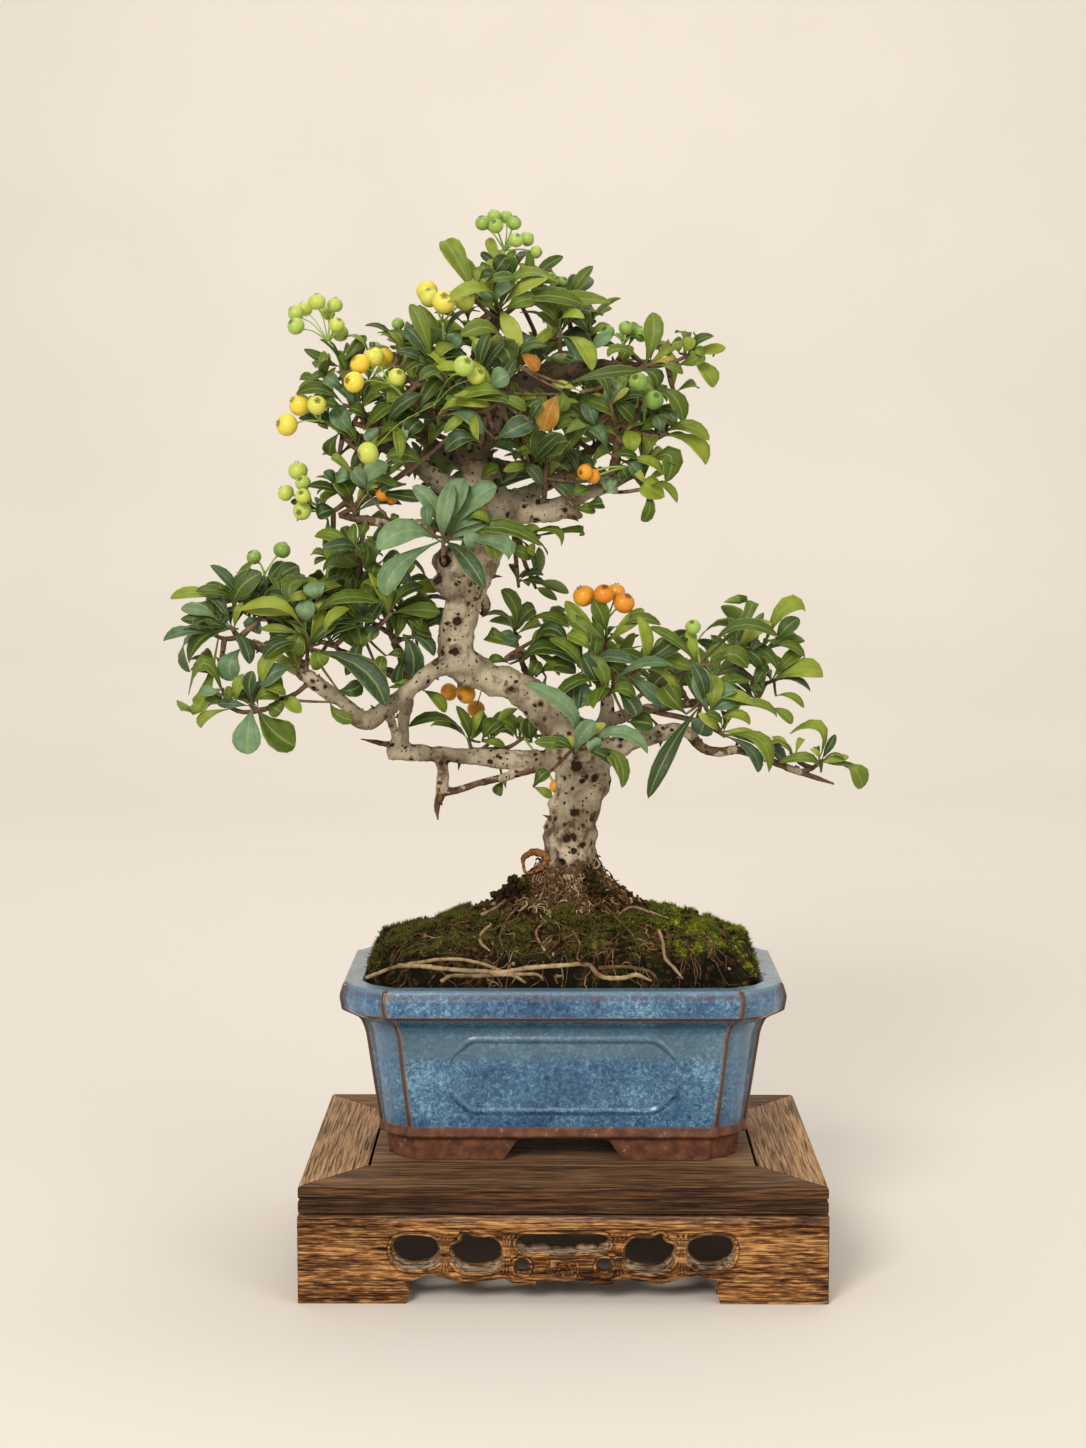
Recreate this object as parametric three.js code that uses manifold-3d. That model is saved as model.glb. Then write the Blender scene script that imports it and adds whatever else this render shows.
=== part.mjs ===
// Pyracantha bonsai in a glazed pot on a carved wooden stand, in millimetres with +Z up.
// The tree is drawn facing -Y. Places on it are read off its front view with a depth added.
import * as THREE from 'three';
import Module from 'manifold-3d';
import { mergeVertices } from 'three/addons/utils/BufferGeometryUtils.js';

const wasm = await Module();
wasm.setup();

// Driving dimensions
const CLEAR = 0.3;
const STAND = {
  length: 230, depth: 161, height: 52, topUnder: 39.8, seat: 39.1, sideRail: 28, frontRail: 33,
  apronLength: 232.5, apronDepth: 163.5, apronHeight: 38.8, apronThick: 9, panelGap: 1.1,
};
const POT = {
  length: 200, depth: 120, footHeight: 10.3, floor: 16, drainRadius: 7, drainAt: 45,
  ridgeHalf: 52, ridgeRise: 16.8, ridgeCut: 11.5, ridgeMiddle: 40.4, ridgeProud: 0.9,
};
const MESH_DISC = { radius: 10, thick: 1, hole: 2.4, pitch: 4.2 };
const MOUND = { rim: 133, rise: 43, halfLength: 88.9, halfDepth: 48.9 };
const MOSS_THICK = 3.2;
const TWIG_RADIUS = 1.5;
const SHOOT_STEP = 2.3;
const STALK_RADIUS = 0.9;
const NECK_RADIUS = 1.7;
const LEAF = { widthRatio: 0.31, least: 5, most: 9.5, thick: 1.2, arch: 0.15 };
const BACK_LEAF_DEPTH = 14;
const FAT = { twig: 0.6, stalk: 0.5, berry: 0.45, leaf: 0.34 };
const BERRY_SCALE = 1.06;
const LEAF_TRIES = 18;
const TWIG_TRIES = 16;
const MOST_PARENTS = 3;
const LEAST_FACING = 0.2;
const LEAF_ROLLS = [0, 0.4, -0.4, 0.8, -0.8];

// Front view that the places are read from: its eye, tilt and scale, with +X to the right
const VIEW = { focal: 2400, across: 543, down: 724, eye: [-2.8, -1094, 352], pitch: 5.57, yaw: 0.334 };

// Limbs of the tree as [across, down, depth, radius]; the first runs from root to crown
const LIMBS = [
  [[566, 930, 0, 15], [566, 905, 0, 15], [567, 884, 0, 13.5], [570, 862, -1, 12], [571, 838, -2, 11.8],
    [577, 800, -2, 11.6], [584, 768, 0, 12.5], [566, 737, 3, 10.5], [544, 706, 4, 8.6], [519, 688, 4, 7.4],
    [488, 677, 2, 7.2], [461, 663, -2, 8.6], [455, 641, -4, 8], [461, 612, -4, 8], [467, 588, -2, 8.8],
    [478, 560, 1, 10], [487, 533, 4, 9.6], [492, 510, 5, 9.6], [488, 486, 5, 8.6], [477, 462, 2, 7.8],
    [472, 438, -1, 7.4], [480, 414, -3, 7.2], [504, 398, -3, 7.4], [532, 382, 0, 6.8], [562, 369, 6, 4.6]],
  [[474, 566, -2, 7], [452, 561, -8, 7], [437, 567, -11, 5.6]],
  [[470, 588, -4, 5], [450, 590, -12, 4.6], [436, 576, -13, 4]],
  [[484, 418, -3, 5], [473, 385, -2, 4.4], [482, 352, 2, 3.8], [492, 330, 4, 3], [499, 302, 3, 1.9]],
  [[480, 418, -4, 4.5], [455, 412, -14, 3.6], [434, 409, -20, 3], [416, 402, -24, 2.2], [404, 397, -24, 1.6]],
  [[486, 490, 3, 6], [450, 488, -2, 4.8], [420, 467, -4, 4.2], [392, 450, -6, 3.2], [368, 441, -8, 2.4],
    [352, 437, -10, 1.7]],
  [[392, 450, -6, 3], [372, 426, -2, 2.4], [354, 404, 2, 2], [345, 386, 2, 1.5]],
  [[480, 536, -2, 4], [440, 527, -12, 3], [400, 524, -10, 2.4], [364, 520, -6, 2], [340, 515, -4, 1.5]],
  [[494, 506, 5, 7.6], [526, 509, 4, 6.4], [556, 508, 2, 5.4], [582, 496, 4, 3.8], [606, 486, 4, 2.8],
    [626, 478, 2, 1.9]],
  [[556, 508, 2, 4.6], [572, 512, 0, 3.4], [583, 517, -1, 1.2]],
  [[604, 487, 4, 2.8], [614, 470, 2, 2.4], [617, 450, 0, 2], [617, 436, -2, 1.6]],
  [[488, 470, 4, 5], [524, 468, 12, 3.2], [556, 462, 16, 2.6], [588, 452, 14, 2], [604, 440, 12, 1.5]],
  [[545, 378, 3, 4.4], [582, 368, 8, 3.4], [612, 365, 8, 2.6], [640, 366, 4, 1.8]],
  [[484, 440, 4, 5.5], [500, 420, 26, 4], [508, 406, 42, 2.8], [512, 394, 52, 2]],
  [[488, 478, 8, 5], [462, 462, 28, 3.6], [440, 448, 42, 2.6], [426, 438, 50, 1.8]],
  [[508, 502, 8, 5], [540, 488, 26, 3.4], [568, 472, 38, 2.6], [588, 458, 44, 1.8]],
  [[478, 452, -4, 4.5], [490, 436, -20, 3.2], [497, 422, -32, 2.4], [500, 408, -38, 1.7]],
  [[463, 664, -4, 6], [437, 668, -10, 4.2], [413, 687, -15, 3.7], [390, 706, -18, 3.9], [364, 721, -19, 4],
    [342, 702, -18, 3.6], [320, 686, -16, 3.4], [297, 669, -14, 3], [272, 653, -14, 2.6], [252, 643, -13, 2]],
  [[572, 760, 2, 6], [548, 761, 4, 4.8], [503, 759, 6, 4.4], [470, 757, 6, 3.7], [436, 754, 5, 3.7],
    [403, 752, 4, 3.7], [388, 753, 4, 3.3]],
  [[403, 749, 4, 3], [404, 720, 8, 2.8], [408, 697, 12, 2.6], [404, 664, 16, 2.3], [394, 642, 16, 1.8]],
  [[402, 748, 4, 2.8], [394, 730, -2, 2.4], [387, 712, -14, 2.6]],
  [[404, 680, 14, 2.4], [372, 664, 26, 2.1], [342, 652, 32, 1.7]],
  [[441, 756, 4, 3.4], [443, 773, 2, 2.8], [441, 794, 0, 2.3], [437, 806, -1, 1.5], [438, 820, -2, 0.3]],
  [[441, 792, 0, 2], [458, 790, 0, 1.6], [476, 784, 1, 1.5], [502, 778, 3, 1.6], [526, 771, 4, 1.8],
    [566, 764, 2, 2.2]],
  [[398, 747, 2, 1.6], [380, 743, -3, 1.2], [361, 739, -7, 0.3]],
  [[588, 762, 0, 8], [612, 750, -2, 5.6], [634, 740, -4, 4.6], [660, 734, -6, 4], [684, 731, -8, 3.2],
    [700, 746, -10, 2.2], [716, 752, -11, 2.1], [738, 750, -12, 1.9], [762, 757, -12, 1.7],
    [788, 768, -12, 1.5], [814, 777, -12, 1.2], [834, 784, -12, 0.5]],
  [[590, 752, 3, 6.5], [602, 730, 6, 4.8], [608, 708, 6, 3.2], [600, 682, 2, 2.4], [604, 664, 0, 1.8]],
  [[604, 722, 8, 4], [636, 712, 18, 3], [668, 706, 26, 2.4], [706, 702, 28, 2], [744, 700, 26, 1.6]],
  [[580, 730, 6, 4], [556, 704, 16, 2.6], [534, 684, 18, 2.1], [524, 668, 16, 1.6]],
  [[596, 756, -6, 5], [584, 756, -18, 2.8], [576, 758, -24, 1.8]],
  [[472, 586, 4, 3], [486, 604, 8, 2.4], [482, 616, 8, 1.2]],
  [[500, 404, -2, 4.4], [516, 410, -9, 4], [524, 413, -12, 3.8]],
];

// Root flare: bearing in degrees round the trunk, reach, and radius where each root leaves it
const ROOTS = [[-160, 30, 5], [-118, 26, 4.6], [-75, 24, 5], [-28, 29, 4.6], [25, 29, 4.4], [80, 24, 4],
  [140, 27, 4.4]];
const ROOT_CENTRE = [2, 0];
const ROOT_RING = { at: [534, 861, -9], radius: 4.6, tube: 1.2, stalk: [556, 858, -4] };

// Leafy sprays: the limb point that each leaves, its rosettes as [across, down, depth, leaves, length of
// leaf], and the tips of single long leaves as [rosette, across, down, depth]
const SPRAYS = {
  spray_crown_top: {
    from: [493, 324, 3],
    rosettes: [[500, 308, -8, 2, 22], [476, 302, -14, 1, 20], [501, 268, 2, 3, 17], [530, 284, 8, 3, 18]],
    tips: [[0, 588, 303, -10], [0, 548, 278, -16], [0, 446, 296, -22], [1, 444, 237, -12], [0, 520, 352, -30],
      [2, 480, 252, 4], [2, 516, 248, 0]],
  },
  spray_crown_top_right: {
    from: [560, 371, 5],
    rosettes: [[560, 330, 0, 4, 22], [588, 336, 8, 3, 22], [566, 300, 10, 3, 20]],
    tips: [[0, 611, 302, 4], [0, 553, 352, -14], [0, 596, 366, -18], [1, 589, 318, 2]],
  },
  spray_crown_right_high: {
    from: [640, 366, 4],
    rosettes: [[650, 364, 2, 3, 22], [692, 354, 0, 4, 14], [622, 348, 12, 3, 21]],
    tips: [[0, 652, 310, 0], [1, 718, 386, -4], [1, 704, 340, 2], [0, 606, 352, -12], [0, 640, 330, 14]],
  },
  spray_crown_right_mid: {
    from: [617, 436, -2],
    rosettes: [[614, 410, -6, 4, 21], [644, 424, 4, 3, 22], [668, 434, 0, 2, 20]],
    tips: [[0, 576, 400, -6], [0, 572, 426, 4], [1, 684, 408, 2], [2, 710, 440, -4], [2, 707, 465, 2],
      [0, 624, 372, -14]],
  },
  spray_crown_right_low: {
    from: [626, 478, 2],
    rosettes: [[642, 468, -4, 3, 22], [648, 488, -4, 2, 16]],
    tips: [[0, 672, 484, -10], [1, 640, 524, -4], [1, 666, 496, -6], [0, 655, 428, 6]],
  },
  spray_crown_inner_right: {
    from: [540, 508, 3],
    rosettes: [[548, 478, -8, 4, 20], [528, 462, -16, 3, 20]],
    tips: [[0, 566, 434, -14], [0, 572, 498, -18], [1, 504, 470, -26]],
  },
  spray_crown_under: {
    from: [506, 508, 5],
    rosettes: [[520, 540, 10, 3, 17]],
    tips: [[0, 562, 546, 4], [0, 534, 570, 8], [0, 582, 536, 12]],
  },
  spray_crown_face: {
    from: [500, 408, -38],
    rosettes: [[496, 392, -42, 3, 20], [476, 372, -38, 3, 20], [512, 362, -30, 4, 20],
      [470, 412, -40, 3, 20]],
    tips: [[3, 442, 432, -48], [3, 478, 440, -50], [0, 530, 410, -46], [2, 548, 340, -34]],
  },
  spray_crown_upper_left: {
    from: [404, 397, -24],
    rosettes: [[426, 366, -26, 3, 20], [444, 342, -16, 3, 22], [400, 344, -10, 3, 18],
      [448, 386, -34, 2, 20]],
    tips: [[0, 415, 312, -24], [1, 420, 304, -14], [2, 388, 330, -8], [0, 466, 350, -30],
      [3, 470, 358, -40]],
  },
  spray_crown_left_high: {
    from: [345, 386, 2],
    rosettes: [[340, 360, 2, 4, 16], [324, 384, 0, 3, 18], [372, 380, -4, 3, 20]],
    tips: [[0, 304, 349, 0], [0, 368, 334, 4], [1, 306, 382, -4], [1, 312, 406, -6]],
  },
  spray_crown_left_mid: {
    from: [352, 437, -10],
    rosettes: [[336, 428, -8, 3, 19], [362, 406, -14, 3, 20], [392, 424, -20, 4, 20]],
    tips: [[0, 303, 400, -8], [0, 330, 456, -4], [2, 420, 392, -26], [2, 400, 458, -34]],
  },
  spray_crown_left_low: {
    from: [340, 515, -4],
    rosettes: [[366, 490, -12, 4, 22], [340, 494, -6, 3, 20], [322, 512, -2, 2, 18]],
    tips: [[0, 330, 458, -14], [0, 392, 462, -20], [0, 424, 500, -22], [1, 316, 476, -10]],
  },
  spray_crown_left_hanging: {
    from: [366, 520, -7],
    rosettes: [[356, 560, -10, 3, 22], [378, 566, -4, 3, 22]],
    tips: [[0, 312, 528, -14], [0, 330, 566, -16], [1, 384, 524, -8]],
  },
  spray_knot_blue: {
    from: [444, 566, -10],
    rosettes: [[443, 538, -24, 2, 24]],
    tips: [[0, 376, 548, -36], [0, 386, 594, -38], [0, 452, 478, -34], [0, 497, 486, -30],
      [0, 541, 546, -38], [0, 481, 580, -40], [0, 412, 484, -28], [0, 508, 560, -24]],
  },
  spray_crown_back_high: {
    from: [512, 394, 52],
    rosettes: [[506, 372, 50, 5, 23], [478, 350, 42, 5, 23], [540, 364, 44, 5, 23], [508, 408, 62, 5, 22],
      [470, 398, 54, 4, 22]],
    tips: [],
  },
  spray_crown_back_left: {
    from: [426, 438, 50],
    rosettes: [[410, 424, 46, 5, 23], [386, 402, 36, 4, 22], [388, 452, 42, 5, 22], [440, 426, 60, 5, 22],
      [414, 378, 34, 4, 22], [440, 490, 46, 4, 22]],
    tips: [],
  },
  spray_crown_back_right: {
    from: [588, 458, 44],
    rosettes: [[598, 440, 40, 5, 23], [566, 424, 50, 5, 23], [624, 420, 30, 4, 22], [562, 480, 54, 5, 22],
      [608, 396, 34, 4, 22], [520, 448, 54, 4, 22]],
    tips: [],
  },
  spray_left_tip: {
    from: [252, 643, -13],
    rosettes: [[230, 626, -14, 3, 21], [236, 600, -8, 4, 21], [212, 634, -18, 2, 20]],
    tips: [[1, 166, 592, -12], [1, 209, 589, -4], [2, 184, 697, -24], [2, 188, 672, -10],
      [0, 252, 662, -26]],
  },
  spray_left_mid: {
    from: [305, 675, -15],
    rosettes: [[308, 646, -22, 3, 22], [330, 622, -26, 2, 22], [304, 612, -14, 3, 22], [276, 618, -6, 2, 20],
      [262, 590, 2, 3, 22]],
    tips: [[0, 386, 706, -38], [0, 258, 650, -34], [0, 262, 682, -30], [1, 352, 590, -30],
      [4, 298, 562, 0], [2, 308, 577, -8], [4, 236, 572, 8], [2, 243, 606, -24]],
  },
  spray_left_inner: {
    from: [394, 642, 16],
    rosettes: [[386, 618, 4, 4, 23], [352, 596, 2, 4, 22], [398, 590, 12, 3, 22], [362, 632, -8, 3, 22],
      [416, 636, 0, 3, 21]],
    tips: [[0, 438, 616, -8], [1, 340, 566, 6], [1, 312, 606, -8], [2, 392, 556, 16], [4, 404, 682, -16],
      [3, 346, 676, -18]],
  },
  spray_left_back: {
    from: [342, 652, 32],
    rosettes: [[328, 636, 30, 5, 22], [296, 622, 28, 5, 22], [362, 612, 36, 5, 22], [332, 596, 30, 4, 22],
      [268, 612, 24, 4, 21], [300, 650, 36, 4, 21]],
    tips: [],
  },
  spray_left_hanging: {
    from: [312, 680, -16],
    rosettes: [[280, 698, -22, 3, 17], [250, 706, -24, 2, 16], [226, 706, -22, 2, 13]],
    tips: [[1, 247, 755, -30], [1, 296, 746, -24], [2, 196, 729, -24], [2, 185, 694, -24],
      [0, 302, 712, -28]],
  },
  spray_right_left: {
    from: [524, 668, 16],
    rosettes: [[514, 630, 14, 4, 18], [532, 652, 8, 4, 21], [548, 632, 20, 3, 20]],
    tips: [[0, 501, 590, 12], [0, 537, 606, 10], [1, 486, 632, 8], [1, 568, 640, -4], [1, 562, 674, -8]],
  },
  spray_right_centre: {
    from: [604, 664, 0],
    rosettes: [[606, 640, -2, 4, 21], [588, 672, -8, 3, 22], [640, 668, -8, 3, 23], [612, 690, -16, 3, 21]],
    tips: [[0, 562, 600, -4], [0, 648, 606, -4], [2, 690, 630, -10], [1, 576, 716, -26], [3, 550, 690, -30],
      [3, 636, 716, -26], [2, 680, 706, -18]],
  },
  spray_right_front: {
    from: [576, 758, -24],
    rosettes: [[574, 748, -34, 2, 14]],
    tips: [[0, 524, 682, -46], [0, 654, 748, -44], [0, 623, 784, -40], [0, 534, 742, -44],
      [0, 606, 722, -40]],
  },
  spray_right_mid: {
    from: [690, 736, -8],
    rosettes: [[702, 700, -14, 4, 22], [700, 664, -6, 4, 22], [724, 736, -18, 3, 20]],
    tips: [[0, 652, 784, -20], [0, 756, 700, -24], [2, 762, 774, -22], [2, 788, 770, -14], [1, 724, 602, 2],
      [1, 650, 650, -8]],
  },
  spray_right_tip: {
    from: [744, 700, 26],
    rosettes: [[762, 652, 14, 4, 21], [774, 680, 10, 3, 20], [734, 656, 8, 4, 22], [754, 700, 2, 3, 21]],
    tips: [[0, 722, 600, 14], [0, 810, 606, 12], [1, 828, 667, 8], [0, 796, 634, 20], [1, 812, 690, 4],
      [0, 690, 624, 6]],
  },
  spray_right_end: {
    from: [800, 772, -12],
    rosettes: [[822, 760, -10, 2, 12], [790, 752, -8, 2, 14]],
    tips: [[0, 868, 780, -12], [0, 788, 730, -6], [0, 836, 734, -12]],
  },
  spray_right_back: {
    from: [690, 703, 27],
    rosettes: [[680, 684, 36, 5, 22], [650, 688, 32, 5, 22], [716, 676, 40, 5, 22], [620, 668, 24, 4, 22],
      [742, 668, 36, 4, 21]],
    tips: [],
  },
  spray_under_arch: {
    from: [476, 757, 6],
    rosettes: [[468, 738, 12, 3, 18], [494, 738, 14, 4, 18], [524, 738, 16, 3, 18]],
    tips: [[0, 408, 726, 6], [1, 480, 718, 10], [2, 538, 716, 12]],
  },
};

// Berry bunches: the twig point that carries each, and its berries as [across, down, depth, radius]
const BUNCHES = {
  berries_apex_green: {
    colour: 0x9dbb4a,
    from: [501, 268, 2],
    berries: [[483, 223, -2, 3.4], [494, 216, 6, 3], [506, 217, 8, 3], [514, 223, 0, 3.2],
      [496, 226, -6, 3.2], [516, 240, -6, 3.2], [527, 239, 4, 3.2], [536, 252, 0, 2.8]],
  },
  berries_top_yellow: {
    colour: 0xdcc94a,
    from: [444, 342, -16],
    berries: [[427, 291, -12, 4.6], [430, 298, -24, 4.2], [444, 302, -30, 4.9], [464, 300, -22, 4.6]],
  },
  berries_left_top: {
    colour: 0xb4c44e,
    from: [340, 360, 2],
    berries: [[296, 313, 0, 3.6], [305, 309, 8, 3.4], [317, 302, -4, 3.8], [335, 305, 2, 3.4],
      [296, 326, -6, 3.8], [328, 313, 10, 3.2], [337, 325, -6, 3.4], [340, 333, 4, 3.8]],
  },
  berries_left_orange: {
    colour: 0xe3b23c,
    from: [404, 398, -24],
    berries: [[374, 357, -26, 4.4], [384, 358, -18, 4.4], [360, 364, -32, 4.2], [354, 382, -36, 4.4],
      [397, 377, -30, 3.8]],
  },
  berries_left_yellow: {
    colour: 0xd9c748,
    from: [336, 428, -8],
    berries: [[300, 405, -16, 4.8], [317, 405, -20, 4.2], [287, 425, -18, 4.8]],
  },
  berries_left_green: {
    colour: 0xb3c951,
    from: [322, 512, -2],
    berries: [[298, 471, -6, 4.2], [303, 483, -10, 3.4], [286, 493, -4, 3.6], [303, 496, -16, 3.4],
      [302, 511, -10, 4]],
  },
  berries_face_green: {
    colour: 0xa9c455,
    from: [434, 409, -20],
    berries: [[464, 366, -50, 4.4], [476, 376, -48, 3.8], [368, 453, -40, 4.7]],
  },
  berries_right_crown: {
    colour: 0x8fb544,
    from: [644, 424, 4],
    berries: [[638, 382, -10, 4.2], [645, 385, -2, 4], [654, 400, -8, 4.2]],
  },
  berries_right_high: {
    colour: 0x7da33e,
    from: [622, 348, 12],
    berries: [[626, 328, 10, 3.2], [641, 335, 14, 3.2], [608, 332, 8, 3]],
  },
  berries_left_pad: {
    colour: 0x86ab3f,
    from: [262, 590, 2],
    berries: [[254, 557, 0, 3.3], [282, 550, 4, 3.8]],
  },
  berries_orange: {
    colour: 0xe08a22,
    from: [606, 640, -2],
    berries: [[584, 596, -4, 4.9], [604, 594, -8, 4.4], [616, 592, 2, 4], [624, 603, -6, 4.7]],
  },
  berries_right_green: {
    colour: 0x86ab3f,
    from: [700, 664, -6],
    berries: [[693, 627, -12, 3.4]],
  },
  berries_fork_orange: {
    colour: 0xe08a22,
    from: [488, 677, 2],
    berries: [[449, 692, 24, 4], [466, 694, 10, 4.4], [476, 709, 26, 4]],
  },
};

// Seeded draws in [0, 1): the Park-Miller rule, warmed up so that near seeds differ
function draws(seed) {
  let state = (seed * 7919 + 17) % 2147483647;
  const next = () => {
    state = (state * 16807) % 2147483647;
    return state / 2147483647;
  };
  next();
  next();
  next();
  return next;
}

// Real place of a point of the front view at a given depth
function place([across, down, depth]) {
  const pitch = THREE.MathUtils.degToRad(VIEW.pitch);
  const yaw = THREE.MathUtils.degToRad(VIEW.yaw);
  const forward = new THREE.Vector3(-Math.sin(yaw) * Math.cos(pitch), Math.cos(yaw) * Math.cos(pitch),
    -Math.sin(pitch));
  const right = new THREE.Vector3(Math.cos(yaw), Math.sin(yaw), 0);
  const up = new THREE.Vector3().crossVectors(right, forward);
  const ray = forward.clone()
    .addScaledVector(right, (across - VIEW.across) / VIEW.focal)
    .addScaledVector(up, (VIEW.down - down) / VIEW.focal);
  const eye = new THREE.Vector3(...VIEW.eye);
  return eye.addScaledVector(ray, (depth - eye.y) / ray.y);
}

// Solids and meshes
function toSolid(geometry) {
  const bare = geometry.clone();
  bare.deleteAttribute('normal');
  bare.deleteAttribute('uv');
  const merged = mergeVertices(bare, 1e-4);
  return new wasm.Manifold(new wasm.Mesh({
    numProp: 3,
    vertProperties: new Float32Array(merged.attributes.position.array),
    triVerts: new Uint32Array(merged.index.array),
  }));
}

function toGeometry(solid) {
  const mesh = solid.getMesh();
  const geometry = new THREE.BufferGeometry();
  geometry.setAttribute('position', new THREE.BufferAttribute(new Float32Array(mesh.vertProperties), 3));
  geometry.setIndex(new THREE.BufferAttribute(new Uint32Array(mesh.triVerts), 1));
  return geometry;
}

function join(solids) {
  return solids.reduce((whole, solid) => whole.add(solid));
}

// The largest connected body of a solid, with any loose scrap left off
function largestBody(solid) {
  const geometry = toGeometry(solid);
  const index = geometry.index.array;
  const parent = Array.from({ length: geometry.attributes.position.count }, (_, i) => i);
  const find = (i) => {
    let top = i;
    while (parent[top] !== top) {
      parent[top] = parent[parent[top]];
      top = parent[top];
    }
    return top;
  };
  for (let t = 0; t < index.length; t += 3) {
    parent[find(index[t])] = find(index[t + 1]);
    parent[find(index[t + 1])] = find(index[t + 2]);
  }
  const counts = new Map();
  for (let t = 0; t < index.length; t += 3) {
    const body = find(index[t]);
    counts.set(body, (counts.get(body) ?? 0) + 1);
  }
  const largest = [...counts].sort((a, b) => b[1] - a[1])[0][0];
  const kept = [];
  for (let t = 0; t < index.length; t += 3) {
    if (find(index[t]) === largest) {
      kept.push(index[t], index[t + 1], index[t + 2]);
    }
  }
  geometry.setIndex(kept);
  return geometry;
}

// Closed skin through rings of points that turn anticlockwise about the way they advance
function loft(rings) {
  const points = [];
  const faces = [];
  const starts = rings.map((ring) => {
    points.push(...ring);
    return points.length - ring.length;
  });
  for (let r = 0; r + 1 < rings.length; r += 1) {
    const [a, b] = [starts[r], starts[r + 1]];
    const count = Math.max(rings[r].length, rings[r + 1].length);
    for (let j = 0; j < count; j += 1) {
      const k = (j + 1) % count;
      if (rings[r].length === 1) {
        faces.push(a, b + k, b + j);
      } else if (rings[r + 1].length === 1) {
        faces.push(a + j, a + k, b);
      } else {
        faces.push(a + j, a + k, b + k, a + j, b + k, b + j);
      }
    }
  }
  const cap = (ring, start, turn) => {
    if (ring.length === 1) {
      return;
    }
    const middle = ring.length > 10;
    if (middle) {
      points.push(ring.reduce((sum, p) => sum.add(p), new THREE.Vector3()).divideScalar(ring.length));
    }
    const hub = middle ? points.length - 1 : start;
    for (let j = middle ? 0 : 1; j < (middle ? ring.length : ring.length - 1); j += 1) {
      const pair = [start + j, start + ((j + 1) % ring.length)];
      faces.push(hub, pair[1 - turn], pair[turn]);
    }
  };
  cap(rings[0], starts[0], 0);
  cap(rings.at(-1), starts.at(-1), 1);
  return new THREE.BufferGeometry()
    .setFromPoints(points)
    .setIndex(faces);
}

// Round limb of changing radius through [point, radius] stations
function tube(stations, sides, extra = 0, wobble = 0, seed = 1) {
  const draw = draws(seed);
  const centres = stations.map(([point]) => point);
  const tangents = centres.map((_, i) => new THREE.Vector3()
    .subVectors(centres[Math.min(i + 1, centres.length - 1)], centres[Math.max(i - 1, 0)])
    .normalize());
  let side = new THREE.Vector3(0, -1, 0.01);
  const rings = stations.map(([point, radius], i) => {
    const tangent = tangents[i];
    side = side.clone().addScaledVector(tangent, -side.dot(tangent));
    if (side.lengthSq() < 0.01) {
      side.set(1, 0, 0).addScaledVector(tangent, -tangent.x);
    }
    side.normalize();
    const across = new THREE.Vector3().crossVectors(tangent, side);
    const end = i === 0 ? -extra : (i === stations.length - 1 ? extra : 0);
    return Array.from({ length: sides }, (_, j) => {
      const turn = (2 * Math.PI * j) / sides;
      const reach = radius * (1 + wobble * (draw() - 0.5)) + extra;
      return point.clone()
        .addScaledVector(side, reach * Math.cos(turn))
        .addScaledVector(across, reach * Math.sin(turn))
        .addScaledVector(tangent, end);
    });
  });
  return toSolid(loft(rings));
}

function ball(centre, radius, detail = 0) {
  const geometry = new THREE.IcosahedronGeometry(radius, detail);
  geometry.translate(centre.x, centre.y, centre.z);
  return toSolid(geometry);
}

function block(x0, x1, y0, y1, z0, z1) {
  const geometry = new THREE.BoxGeometry(x1 - x0, y1 - y0, z1 - z0);
  geometry.translate((x0 + x1) / 2, (y0 + y1) / 2, (z0 + z1) / 2);
  return toSolid(geometry);
}

function upright(shape, z0, z1) {
  const geometry = new THREE.ExtrudeGeometry(shape, { depth: z1 - z0, bevelEnabled: false });
  geometry.translate(0, 0, z0);
  return toSolid(geometry);
}

function outline(points) {
  return new THREE.Shape(points.map(([x, y]) => new THREE.Vector2(x, y)));
}

function circlePoints(x, y, radius, count) {
  return Array.from({ length: count }, (_, i) => {
    const turn = (2 * Math.PI * i) / count;
    return [x + radius * Math.cos(turn), y + radius * Math.sin(turn)];
  });
}

// Solids of each node with the slightly larger ones that others must stay clear of
const nodes = new Map();
const keepOut = [];

function addNode(name, look, geometry = null) {
  nodes.set(name, { look, body: null, geometry });
}

function addSolid(name, look, solid) {
  addNode(name, look, toGeometry(solid));
}

// A kept-out solid with its plain form: others stay clear of both, and its own rosette of the plain one
function keepClear(name, kind, fat, plain = null, order = -1) {
  keepOut.push({ name, kind, fat, plain, order, box: fat.boundingBox() });
}

function boxesMeet(a, b) {
  return [0, 1, 2].every((i) => a.min[i] <= b.max[i] && b.min[i] <= a.max[i]);
}

function crossed(a, b) {
  const shared = a.intersect(b);
  const volume = Math.abs(shared.volume());
  shared.delete();
  return volume;
}

function isClear(solid, name, skip, order = -2) {
  const box = solid.boundingBox();
  return keepOut.every((item) => {
    if (skip(item) || !boxesMeet(box, item.box)) {
      return true;
    }
    const near = item.name === name && item.plain && (order === null || item.order === order);
    return (near || crossed(solid, item.fat) < 1e-6) && (!item.plain || crossed(solid, item.plain) < 1e-6);
  });
}

// Stand
const LOOKS = {
  rail: { color: 0x4d3421, roughness: 0.62 },
  panel: { color: 0x9a7655, roughness: 0.6 },
  apron: { color: 0x865a33, roughness: 0.68 },
  glaze: { color: 0x50768f, roughness: 0.22 },
  mesh: { color: 0x2b2f2c, roughness: 0.6 },
  soil: { color: 0x423818, roughness: 0.95 },
  mossLeft: { color: 0x5c5a26, roughness: 0.95 },
  mossRight: { color: 0x626031, roughness: 0.95 },
  bark: { color: 0x86735a, roughness: 0.85 },
  leaf: { color: 0x4f5f2e, roughness: 0.42 },
};

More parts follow.
